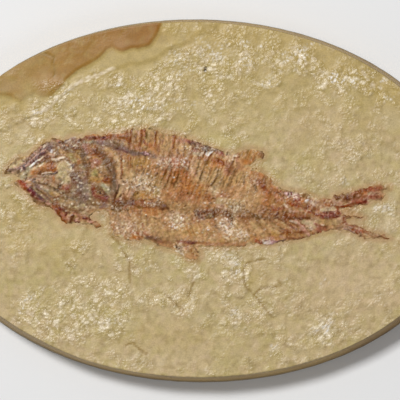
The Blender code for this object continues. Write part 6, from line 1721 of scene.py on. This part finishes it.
# Thin washes over the marks, lighter and darker: colour, share, middle, radii.
WASHES = (
    # belly
    ("sand", 0.42, (160, 231), (11, 9)), ("sand", 0.45, (307, 235), (5, 2.5)),
    ("sand", 0.38, (237, 240), (6, 3)), ("tan", 0.45, (167, 245), (7, 2.5)),
    ("lilac", 0.45, (271, 243), (6, 3)), ("sand", 0.45, (175, 236), (12, 8)),
    ("sand", 0.38, (214, 241), (34, 5)), ("sand", 0.4, (251, 231), (8, 10)),
    ("sand", 0.35, (264, 232), (8, 6)), ("tan", 0.35, (228, 246), (16, 2.5)),
    # stalk and tail
    ("umber", 0.3, (258, 219), (10, 6)), ("rust", 0.3, (296, 219), (16, 6)),
    ("sand", 0.5, (330, 221.5), (11, 3)), ("tan", 0.35, (272, 190), (5, 4)),
    ("tan", 0.35, (375, 186), (7, 2)), ("sand", 0.35, (382, 195), (3, 5)),
    ("rust_pink", 0.45, (318, 229), (6, 4)), ("stone", 0.45, (387, 190), (4, 4)),
    ("rust", 0.4, (297, 199), (4, 3)), ("tan", 0.3, (296, 238), (9, 4)), ("tan", 0.22, (378, 190), (8, 6)),
    ("stone", 0.5, (386, 195), (4, 5)), ("umber", 0.3, (265, 215), (7, 5)),
    ("stone", 0.32, (335, 225), (6, 4)), ("stone", 0.4, (370, 236), (9, 4)),
    ("rust", 0.24, (276, 212), (38, 11)), ("rust", 0.35, (282, 219), (6, 4)),
    ("stone_pink", 0.35, (341, 229), (4, 3)), ("rust_pink", 0.3, (151, 203), (4, 2)),
    # trunk
    ("umber", 0.34, (248, 215), (13, 3)), ("umber", 0.36, (277, 218), (15, 3)),
    ("umber", 0.3, (302, 218), (10, 3)), ("umber", 0.45, (255, 217), (5, 3)),
    ("sand", 0.4, (240, 222), (5, 4)), ("sand", 0.42, (188, 211), (8, 3)),
    ("sand", 0.4, (231, 180), (5, 4)), ("sand", 0.5, (222, 187), (6, 6)),
    ("sand", 0.42, (207, 180), (6, 5)), ("sand", 0.48, (242, 176), (7, 5)),
    ("tan", 0.45, (238, 165), (6, 4)), ("sand", 0.48, (252, 200), (7, 10)),
    ("tan", 0.3, (155, 151), (5, 6)), ("rust_pink", 0.22, (174, 162), (15, 6)),
    ("ochre", 0.35, (157, 165), (7, 4)), ("ochre", 0.4, (151, 184), (6, 8)),
    ("deep_orange", 0.25, (217, 165), (8, 4)), ("rust", 0.5, (134, 141), (7, 8)),
    ("umber", 0.42, (152, 205), (5, 3)), ("umber", 0.25, (181, 207), (14, 4)),
    ("grey_brown", 0.55, (237, 209), (7, 5)), ("umber", 0.45, (230, 216), (6, 4)),
    ("tan", 0.3, (232, 229), (6, 5)), ("umber", 0.25, (247, 211), (4, 4)),
    ("rust", 0.25, (209, 198), (7, 6)), ("orange", 0.28, (174, 196), (7, 5)),
    ("deep_orange", 0.22, (197, 188), (6, 5)), ("umber", 0.4, (154, 205), (7, 3)),
    ("umber", 0.3, (197, 208), (6, 4)), ("tan", 0.35, (208, 229), (6, 4)),
    ("deep_orange", 0.2, (155, 165), (6, 5)), ("deep_orange", 0.18, (176, 165), (7, 5)),
    ("rust", 0.15, (188, 192), (22, 14)), ("umber", 0.15, (118, 200), (8, 9)),
    ("sand", 0.14, (137, 168), (12, 9)), ("tan", 0.18, (252, 202), (12, 12)),
    ("orange", 0.28, (255, 165), (6, 4)), ("ochre", 0.35, (155, 185), (6, 6)),
    ("rust", 0.18, (115, 225), (6, 5)), ("umber", 0.3, (127, 205), (6, 3)),
    ("umber", 0.28, (201, 151), (14, 5)), ("sand", 0.25, (139, 215), (7, 4)),
    # head
    ("umber", 0.3, (100, 165), (4, 3)), ("rust", 0.3, (95, 169), (4, 3)),
    ("umber", 0.45, (55, 150), (5, 4)), ("grey_brown", 0.6, (85, 157), (3, 5)),
    ("umber", 0.3, (110, 185), (4, 4)), ("stone_pink", 0.5, (95, 185), (3, 3)),
    ("umber", 0.3, (112, 150), (3, 3)), ("violet", 0.35, (120, 152), (4, 4)),
    ("umber", 0.3, (112, 165), (3, 5)), ("umber", 0.55, (76, 142), (10, 4)),
    ("umber", 0.35, (83, 144), (4, 3)), ("umber", 0.3, (67, 149), (4, 3)), ("rust", 0.3, (89, 149), (5, 4)),
    ("umber", 0.32, (47, 159), (8, 3)), ("umber", 0.45, (33, 184), (5, 3)),
    ("umber", 0.35, (53, 139), (4, 3)), ("stone", 0.6, (62, 171), (4, 6)),
    ("umber", 0.6, (57, 204), (4, 3)), ("umber", 0.35, (97, 189), (3, 2.5)),
    ("umber", 0.35, (77, 199), (4, 3)), ("umber", 0.35, (82, 214), (5, 3)), ("tan", 0.4, (97, 224), (4, 3)),
    ("olive", 0.25, (112, 223), (3, 4)), ("sand", 0.3, (14, 184), (4, 8)),
    ("umber", 0.3, (72, 189), (4, 3)), ("stone_pale", 0.4, (29, 169), (4, 3)),
    ("umber", 0.52, (46, 184.5), (8, 3.5)), ("rust", 0.35, (49, 165), (6, 3)),
    ("umber", 0.3, (42, 173), (5, 3)), ("stone", 0.6, (66, 179), (5, 4)),
    ("grey_brown", 0.45, (77, 175), (7, 6)), ("umber", 0.38, (92, 179), (4, 3)),
    ("sage", 0.42, (87, 187), (4, 6)), ("umber", 0.42, (97, 190), (3, 3)),
    ("tan", 0.35, (112, 194), (3, 3)), ("sand", 0.42, (64, 202), (6, 5)),
    ("grey_brown", 0.42, (77, 201), (5, 6)), ("umber", 0.3, (97, 202), (4, 5)),
    ("grey_brown", 0.32, (106, 207), (6, 4)), ("umber", 0.25, (45, 175), (5, 5)),
    ("umber", 0.35, (76, 175), (6, 5)), ("umber", 0.28, (45, 186), (5, 4)),
    ("umber", 0.35, (76, 195), (5, 5)), ("rust", 0.28, (55, 205), (5, 4)),
    ("stone_pink", 0.3, (15, 175), (5, 4)), ("umber", 0.55, (117, 209), (5, 4)),
    ("umber", 0.35, (212, 149), (5, 3)), ("stone_pink", 0.38, (86, 211), (7, 5)),
    ("umber", 0.36, (108, 162), (6, 6)),
)

# The main edges and hollows, over the washes: colour, share, half width, and x and y of the line's points.
MAIN_LINES = (
    # stalk of the tail
    ("brown", 0.6, 1.4, 285, 217, 296, 219, 308, 218), ("pink", 0.9, 1.4, 296, 221, 303, 228, 309, 235),
    ("dark_red", 0.65, 1.3, 283, 221, 292, 227, 301, 233),
    ("umber", 0.5, 1.2, 268, 219, 276, 225, 286, 231), ("sand", 0.75, 1.5, 262, 221, 270, 228, 279, 233),
    ("sand", 0.7, 1.4, 250, 222, 258, 230, 264, 236), ("umber", 0.45, 1.1, 256, 220, 264, 229, 270, 235),
    ("rust", 0.5, 1.2, 281, 234, 293, 232, 306, 232),
    ("red", 0.4, 1.3, 288, 203, 299, 207, 311, 213, 320, 215),
    ("umber", 0.5, 1.3, 240, 216, 254, 217, 268, 219, 282, 217),
    ("brown", 0.4, 1.2, 262, 209, 276, 212, 290, 213, 304, 213),
    ("rust", 0.35, 1.6, 268, 190, 276, 199, 284, 208), ("tan", 0.45, 1.4, 272, 205, 284, 206, 296, 210),
    ("stone_pale", 0.55, 2.4, 304, 222, 310, 223, 314, 227),
    ("rust", 0.4, 1.3, 257, 178, 263, 186, 268, 192), ("pink", 0.6, 1.2, 286, 208, 291, 211, 298, 212),
    ("sand", 0.6, 1.3, 276, 220, 284, 224, 290, 229), ("cream", 0.45, 1.2, 284, 205, 287, 207),
    ("cream", 0.5, 1.2, 291, 221, 296, 223),
    # trunk
    ("umber", 0.36, 2.2, 143, 236, 152, 239, 162, 241, 172, 243),
    ("plum", 0.45, 1.9, 178, 242, 186, 242, 194, 243), ("rust", 0.45, 1.2, 196, 243, 212, 243.5, 228, 243),
    ("brown", 0.5, 2.8, 118, 203, 126, 203, 134, 201),
    ("brown", 0.45, 2.4, 196, 213, 204, 213, 213, 214, 222, 212, 231, 215),
    ("rust", 0.45, 1.3, 189, 150, 187, 162, 185, 174, 181, 186),
    ("umber", 0.45, 1, 206, 152, 200, 163, 196, 174), ("umber", 0.45, 1, 210, 156, 204, 168, 199, 180),
    ("rust_pink", 0.4, 2.4, 158, 158, 168, 160, 180, 162),
    ("violet", 0.4, 2.4, 192, 143, 202, 146, 214, 149), ("mauve", 0.35, 2, 142, 153.6, 149, 155, 156, 157),
    ("umber", 0.4, 0.9, 146, 151, 150, 153), ("lilac", 0.75, 0.8, 145.3, 152.6, 145.6, 154),
    ("lilac", 0.8, 0.9, 147.2, 154.2, 148, 154.6), ("pink", 0.75, 0.8, 150.2, 155.2, 151, 155.6),
    ("pink", 0.6, 0.9, 153, 152.4, 153.6, 154),
    ("grey_brown", 0.45, 2.6, 108, 141, 116, 142, 123, 145, 127, 148),
    ("umber", 0.4, 1.2, 112, 139, 118, 140, 123, 142), ("ochre", 0.45, 3.2, 133, 163, 141, 163, 148, 163),
    ("ochre", 0.4, 3, 136, 196, 144, 193, 152, 197), ("olive", 0.4, 1, 140, 190, 135, 196, 131, 200),
    # head
    ("umber", 0.55, 2.4, 79, 146, 81, 154, 84, 163, 87, 172, 89, 182),
    ("grey_brown", 0.4, 3, 72, 204, 84, 206, 95, 208),
    ("rust", 0.4, 3, 93, 186, 95, 194, 101, 200, 107, 201),
    ("olive", 0.32, 2.6, 99, 187, 102, 192, 104, 195), ("umber", 0.35, 1.6, 66, 196, 74, 198, 82, 199),
    ("brown", 0.45, 1.3, 81, 150, 83.5, 160, 86.5, 170, 88.5, 180),
    ("grey_brown", 0.5, 3.2, 100, 152, 106, 160, 110, 170, 112.5, 182, 113, 194, 111, 203),
    ("umber", 0.5, 1.8, 93, 151, 101, 156, 106, 164, 109, 173, 111, 182),
    ("brown", 0.45, 1.3, 109, 192, 111, 184, 110, 172, 106, 161, 100, 154),
    ("tan", 0.45, 2.2, 106, 149, 113, 153, 117, 160, 119, 170, 118, 180),
    ("rust", 0.4, 1.4, 109, 148, 116, 152, 121, 162, 122, 174),
    ("violet", 0.4, 4.5, 73, 176, 79, 186, 82, 196, 80, 204),
    ("mauve", 0.45, 2.5, 84, 178, 87, 188, 87, 200), ("sage", 0.45, 2.6, 101, 184, 107, 189, 108, 193),
    ("stone", 0.45, 4, 61, 166, 64, 174, 66, 182), ("cream", 0.4, 1.2, 52, 159.5, 58, 159, 63, 157.5),
    ("cream", 0.25, 1, 64, 161, 67, 163, 70, 168), ("umber", 0.5, 1.5, 72, 150, 64, 147, 60, 141),
    ("dark", 0.45, 1.3, 30, 180, 38, 184, 46, 184.5, 52, 189, 57, 192, 60, 186),
    ("rust", 0.4, 2, 60, 189, 65, 187, 68, 189), ("umber", 0.6, 1.3, 31, 185, 40, 192, 48, 198, 53, 204),
    ("violet", 0.55, 1.3, 36, 185, 44, 191, 52, 198), ("stone", 0.45, 1.1, 33, 188.5, 41, 195, 47, 200.5),
    ("umber", 0.45, 1.2, 34, 178, 42, 177, 50, 179, 55, 183), ("tan", 0.5, 1.4, 62, 201, 68, 203, 74, 202),
    ("stone", 0.55, 1.3, 70, 207, 78, 208, 84, 205), ("umber", 0.55, 1.2, 59, 197, 66, 199, 73, 198),
    ("umber", 0.55, 1.2, 74, 212, 81, 210, 89, 211), ("stone_pink", 0.5, 1.3, 83, 213, 90, 207, 98, 209),
    ("umber", 0.5, 1.1, 88, 201, 94, 205, 101, 206), ("brown", 0.5, 1.1, 62, 206, 69, 209, 74, 206),
    ("brown", 0.45, 1.1, 84, 196, 85, 203, 90, 209), ("rust", 0.55, 1.4, 87, 152, 95, 154, 103, 158),
    ("brown", 0.6, 1.1, 91, 148, 97, 152, 105, 155.5), ("rust_pink", 0.4, 3, 84, 146, 90, 150),
    ("ochre", 0.5, 3.2, 91, 179, 99, 180), ("olive", 0.45, 1.3, 66, 150, 72, 156, 75, 164),
    ("umber", 0.5, 1.2, 91, 157, 89, 165, 91, 173), ("umber", 0.45, 1.2, 104, 160, 103, 168, 105, 175),
    ("brown", 0.5, 1.3, 70, 176, 74, 181, 76, 188), ("brown", 0.45, 1.2, 68, 192, 74, 195, 80, 193),
    ("brown", 0.55, 1.2, 99, 189, 103, 191, 107, 196),
)

# Fine dark ribs, over the washes.
FINE_RIBS = (
    (139, 171, 135, 180), (145, 168, 140, 180), (151, 163, 144, 180), (158, 165, 152, 180, 149, 186),
    (163, 167, 157, 180, 154, 188), (168, 168, 163, 178, 160, 186), (172, 168, 168, 180, 164, 188),
    (177, 168, 173, 180, 170, 187), (182, 160, 180, 170, 176, 182), (187, 160, 184, 172, 180, 182),
    (216, 168, 210, 180, 206, 187), (222, 168, 216, 180, 212, 186), (230, 170, 226, 180, 221, 190),
    (237, 170, 232, 180, 229, 187), (134, 134, 133, 148), (147, 132, 147, 147), (163, 134, 162, 147),
    (128, 133, 128, 150), (179, 137, 178, 149), (184, 142, 183, 153), (128, 158, 127, 168),
    (133, 157, 132, 168), (139, 156, 138, 166), (145, 156, 144, 165), (243, 174, 239, 183),
)

# Pale grains that lie over the cheek.
CHEEK_GRAINS = (
    (70.5, 167.5), (73, 170), (78, 176.5), (76.5, 181), (80.5, 183), (78, 187.5), (81, 190), (87, 188.5),
    (74, 178), (84, 194), (90, 199), (64, 205), (72, 204), (66, 211), (78, 206), (93, 203), (99, 204),
    (86, 207), (61, 193), (106, 187), (108, 190), (58, 199), (47, 190), (41, 187), (97, 168), (94, 163),
    (101, 172), (88, 158),
)

# Where pale and dark specks crowd on the fish: middle, radii, share of pale, share of dark.
SPECK_PATCHES = (
    ((40, 155), (22, 18), 0.25, 0.3), ((78, 190), (20, 26), 0.25, 0.3), ((74, 143), (14, 8), 0.4, 0.4),
    ((105, 172), (8, 10), 0.2, 0.2), ((142, 184), (17, 10), 0.9, 0.8), ((155, 195), (8, 10), 0.7, 0.7),
    ((168, 163), (18, 7), 0.75, 0.1), ((186, 160), (8, 12), 0.5, 0.2), ((120, 208), (16, 8), 0.5, 0.6),
    ((178, 222), (14, 10), 0.9, 0.5), ((155, 203), (10, 5), 0.3, 0.7), ((205, 214), (22, 7), 0.35, 0.8),
    ((229, 226), (12, 12), 0.8, 0.6), ((240, 236), (14, 8), 0.8, 0.3), ((235, 206), (18, 10), 0.6, 0.7),
    ((205, 150), (16, 6), 0.7, 0.6), ((262, 214), (18, 8), 0.2, 0.5), ((292, 196), (12, 6), 0.8, 0.5),
    ((310, 205), (12, 10), 0.4, 0.4), ((290, 226), (18, 12), 0.2, 0.25), ((330, 215), (12, 6), 0.25, 0.7),
    ((360, 197), (20, 8), 0.15, 0.4), ((356, 230), (20, 8), 0.2, 0.3), ((130, 228), (24, 12), 0.6, 0.3),
    ((180, 248), (10, 8), 0.7, 0.4), ((267, 242), (10, 4), 0.8, 0.4), ((254, 184), (10, 8), 0.5, 0.5),
)

# Flecks all over the head: colour, share, size in mm, seed.
HEAD_FLECKS = (
    ("brown", 0.35, 0.9, 131), ("pink", 0.22, 0.8, 132), ("umber", 0.24, 1.1, 133), ("olive", 0.3, 1, 134),
    ("dark_red", 0.26, 0.7, 135), ("stone", 0.3, 1.3, 136),
)

# How a coarser grain turns the fish's red, green and blue up and down: where it is pinker it is less green.
PINK_GRAIN = np.array((0.3, -0.3, 0.9))

# The fish's grid: its cells, and how far it goes on past the outline, down into the stone.
FISH_STEP = 0.17 * MM
FISH_MARGIN = 0.35 * MM

# Beyond its border the fish lies under the stone. It comes up over it there and swells towards its middle.
FISH_SINK = 0.20 * MM
FISH_LIFT = 0.32 * MM
FISH_SWELL = 0.42 * MM
SWELL_WIDTH = 4.0 * MM


def speck_shares(px, py):
    """The shares of pale and of dark specks."""
    pale, dark = np.full(px.shape, 0.03), np.full(px.shape, 0.05)
    for middle, radii, more_pale, more_dark in SPECK_PATCHES:
        share = oval(px, py, middle, radii, 1.35)
        pale += more_pale * share
        dark += more_dark * share
    return np.clip(pale, 0, 1), np.clip(dark, 0, 1)


def rib_coordinates(px, py):
    """How far a point lies across the ribs, which lean back from the backbone, and how far along them."""
    line = np.array(BACKBONE, float)
    spine = np.interp(px, line[:, 0], line[:, 1])
    above = np.maximum(spine - py, 0)
    below = np.maximum(py - spine, 0)
    lean = 0.06 + 0.26 * ramp(px, 128, 60)
    return px - lean * above - 0.38 * below, np.abs(py - spine)


def paint_fish(x, y, depth):
    """The fish's colour and relief. depth is how far a point lies inside the fish's border."""
    s = Surface(x, y, "bone")
    for patch in GROUND_PATCHES:
        s.patch(*patch)

    # Streaks along the ribs of the trunk, and flecks on the head.
    across, along = rib_coordinates(s.px, s.py)
    trunk = ramp(s.px, 114, 8) * ramp(s.px, 332, -12)
    fine = turned_noise(across / 1.5, along / 11.0, 1.0, 101)
    broad = turned_noise(across / 3.4, along / 16.0, 1.0, 102)
    streaks = turned_noise(across / 1.7, along / 7.0, 1.0, 103)
    s.tint("rust", 0.36 * trunk * smooth_step(1.8 * fine - 0.40))
    s.tint("sand", 0.45 * trunk * smooth_step(-1.8 * fine - 0.20))
    s.tint("orange", 0.18 * trunk * smooth_step(1.5 * broad - 0.2))
    s.rise += trunk * MM * (0.03 * fine + 0.04 * broad)
    head = ramp(s.px, 124, -10)
    for name, share, size, seed in HEAD_FLECKS:
        s.cloud(name, head * share, -0.8, 2.4, size, seed, turned_noise)

    # Stone shows through along the edge.
    s.tint("stone", 0.90 * smooth_step(1.25 - depth / 3.0))

    for name, share, half_width, rise, *line in HEAD_MARKS + TRUNK_MARKS + TAIL_MARKS:
        s.stroke(name, share, half_width, line, rise)
    for group in GRAINS:
        s.grains(*group)
    for wash in WASHES:
        s.patch(*wash)
    for name, share, half_width, *line in MAIN_LINES:
        s.stroke(name, share, half_width, line)
    for rib in FINE_RIBS:
        s.stroke("olive", 0.42, 0.95, rib)
    s.grains("cream", 0.52, 0.95, 0, CHEEK_GRAINS)

    # The stalk of the tail is redder, and the tail more so.
    s.tint("rust", 0.16 * ramp(s.px, 250, 20))
    s.tint("red", 0.14 * ramp(s.px, 312, 12))

    # Specks, grain and mottling. The pale specks and pale dots are partly painted glints of the lacquer.
    pale, dark = speck_shares(s.px, s.py)
    speck = noise(x, y, 0.36 * MM, 111) + 0.5 * turned_noise(x, y, 0.7 * MM, 112)
    s.tint("cream", 0.68 * pale * smooth_step(2.4 * speck - 0.80))
    s.tint("brown", 0.70 * dark * smooth_step(-2.4 * speck - 0.75))
    s.tint("cream", 0.82 * pale ** 2 * dots(x, y, 0.64 * MM, 117, 0.55))
    s.rise += 0.012 * MM * speck
    grain = 0.20 * noise(x, y, 0.42 * MM, 115) + 0.26 * turned_noise(x, y, 0.62 * MM, 116)
    above = ramp(s.py, 206, -12)
    s.rgb *= 1 + ((1 + 0.1 * head) * grain + (0.04 + 0.13 * above) * trunk * streaks)[:, None]
    s.rgb *= 1 + (0.07 * noise(x, y, 0.5 * MM, 118))[:, None] * PINK_GRAIN
    s.cloud("tan", 0.12, -0.2, 1.6, 1.3, 113, turned_noise)
    s.cloud("rust", 0.16, -0.2, -1.6, 1.3, 113, turned_noise)
    s.rgb = np.maximum(s.rgb - BONE_SHINE, DARKEST)
    return s


def fish_cells(x, y):
    """Which cells of a grid the fish covers, as one region that touches itself at no corner."""
    px, py = in_photo(x, y)
    middle_x = 0.25 * (px[:-1, :-1] + px[1:, :-1] + px[1:, 1:] + px[:-1, 1:])
    middle_y = 0.25 * (py[:-1, :-1] + py[1:, :-1] + py[1:, 1:] + py[:-1, 1:])
    covered = depth_inside(middle_x, middle_y, FISH_OUTLINE) > -FISH_MARGIN / PIXEL
    while True:
        a, b, c, d = covered[:-1, :-1], covered[1:, :-1], covered[1:, 1:], covered[:-1, 1:]
        pinched = (a & c & ~b & ~d) | (b & d & ~a & ~c)
        if not pinched.any():
            return covered
        i, j = np.nonzero(pinched)
        covered[i, j] = covered[i + 1, j] = True


def border_of(faces):
    """The one closed border of a sheet of faces, as vertex numbers in order."""
    edges = dict.fromkeys((face[k], face[(k + 1) % 4]) for face in faces for k in range(4))
    after = {a: b for a, b in edges if (b, a) not in edges}
    start = next(iter(after))
    border = [start]
    while after[border[-1]] != start:
        border.append(after[border[-1]])
    assert len(border) == len(after)
    return np.array(border)


def build_fish():
    """The fish: a fine grid over its outline, with its relief on top and a flat underside."""
    outline = on_face(FISH_OUTLINE)
    low, high = outline.min(axis=0) - 2 * FISH_MARGIN, outline.max(axis=0) + 2 * FISH_MARGIN
    columns, rows = (np.arange(start, end, FISH_STEP) for start, end in zip(low, high))
    x, y = np.meshgrid(columns, rows, indexing="ij")
    faces = grid_faces(np.arange(x.size).reshape(x.shape))[fish_cells(x, y)]
    used = np.unique(faces)
    faces = np.searchsorted(used, faces).tolist()
    x, y = x.ravel()[used], y.ravel()[used]
    px, py = in_photo(x, y)
    ragged = 1.3 * noise(x, y, 1.0 * MM, 121) + 1.1 * noise(x, y, 0.5 * MM, 122)
    depth = depth_inside(px, py, FISH_OUTLINE)
    s = paint_fish(x, y, depth + ragged)
    risen = smooth_step(0.5 + (depth + ragged - 0.8) / 2.0)
    swell = FISH_SWELL * (1 - np.exp(-np.maximum(depth, 0) * PIXEL / SWELL_WIDTH))
    z = stone_height(x, y)[0] - FISH_SINK + FISH_LIFT * risen + risen * (swell + s.rise)
    s.tint("stone", 0.70 * smooth_step(0.8 - (depth + 0.5 * ragged) / 1.0))
    verts = np.stack([x, y, z], axis=1)
    border = border_of(faces)
    under = verts[border].copy()
    under[:, 2] = FISH_FLOOR
    below = np.arange(len(border)) + len(verts)
    faces += band(border, below) + [below[::-1].tolist()]
    rgb = np.concatenate([s.rgb, s.rgb[border]])
    materials = (("lacquered_bone", lacquered_bone),)
    verts = np.concatenate([verts, under])
    piece = make_piece("fish_bones", verts, faces, rgb, np.ones(len(rgb)), materials, [0] * len(faces))
    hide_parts("fossil_fish")


def build_camera():
    """The camera at the photograph's viewing angle, with its frame."""
    right_of, below = math.radians(CAMERA_RIGHT_DEG), math.radians(CAMERA_BELOW_DEG)
    towards = Vector((math.tan(right_of), -math.tan(below), 1.0)).normalized()
    lean = math.radians(LEAN_DEG)
    right = Vector((math.cos(lean), math.sin(lean), 0.0))
    right = (right - towards * right.dot(towards)).normalized()
    up = towards.cross(right)
    middle = FRAME_PX / 2
    aim = right * (middle - BASE_CENTRE_PX[0]) * BASE_PIXEL + up * (BASE_CENTRE_PX[1] - middle) * BASE_PIXEL
    camera = bpy.data.cameras.new("camera")
    camera.sensor_fit = "HORIZONTAL"
    camera.sensor_width = SENSOR_MM
    camera.lens = SENSOR_MM * CAMERA_DISTANCE / (FRAME_PX * BASE_PIXEL)
    camera.clip_end = 20.0
    obj = bpy.data.objects.new("camera", camera)
    turn = Matrix((right, up, towards)).transposed().to_4x4()
    obj.matrix_world = Matrix.Translation(aim + towards * CAMERA_DISTANCE) @ turn
    bpy.context.scene.collection.objects.link(obj)
    bpy.context.scene.camera = obj


def floor_pale(tree, shader):
    cloud = noise_node(tree, object_place(tree), 8.0, 2.0)
    tree.links.new(range_node(tree, cloud, 0.0, 1.0, 0.78, 0.82), shader.inputs["Base Color"])
    shader.inputs["Roughness"].default_value = 0.9


def build_floor():
    """A plain pale floor, just under the slab's base."""
    reach = 3.0
    corners = [(-reach, -reach, 0), (reach, -reach, 0), (reach, reach, 0), (-reach, reach, 0)]
    mesh = bpy.data.meshes.new("floor")
    mesh.from_pydata(corners, [], [(0, 1, 2, 3)])
    floor = bpy.data.objects.new("floor", mesh)
    floor.location = (0, 0, -0.1 * MM)
    bpy.context.scene.collection.objects.link(floor)
    mesh.materials.append(node_material("floor_pale", floor_pale))


def add_light(name, where, size, power):
    """A square softbox that faces the slab."""
    light = bpy.data.lights.new(name, "AREA")
    light.shape = "SQUARE"
    light.size = size
    light.energy = power
    obj = bpy.data.objects.new(name, light)
    obj.location = where
    obj.rotation_euler = (-Vector(where)).to_track_quat("-Z", "Y").to_euler()
    bpy.context.scene.collection.objects.link(obj)


def build_light():
    """A white room, a small softbox at the upper left and a faint wide one at the lower right."""
    world = bpy.data.worlds.new("world")
    world.use_nodes = True
    world.node_tree.nodes["Background"].inputs["Color"].default_value = (1.0, 1.0, 1.0, 1.0)
    world.node_tree.nodes["Background"].inputs["Strength"].default_value = 0.26
    bpy.context.scene.world = world
    add_light("key", (-0.36, 0.40, 1.0), 0.26, 10.0)
    add_light("fill", (0.55, -0.45, 0.9), 0.40, 1.0)


build_camera()
build_floor()
build_light()
build_stone()
build_fish()
bpy.context.scene.view_settings.view_transform = "Standard"
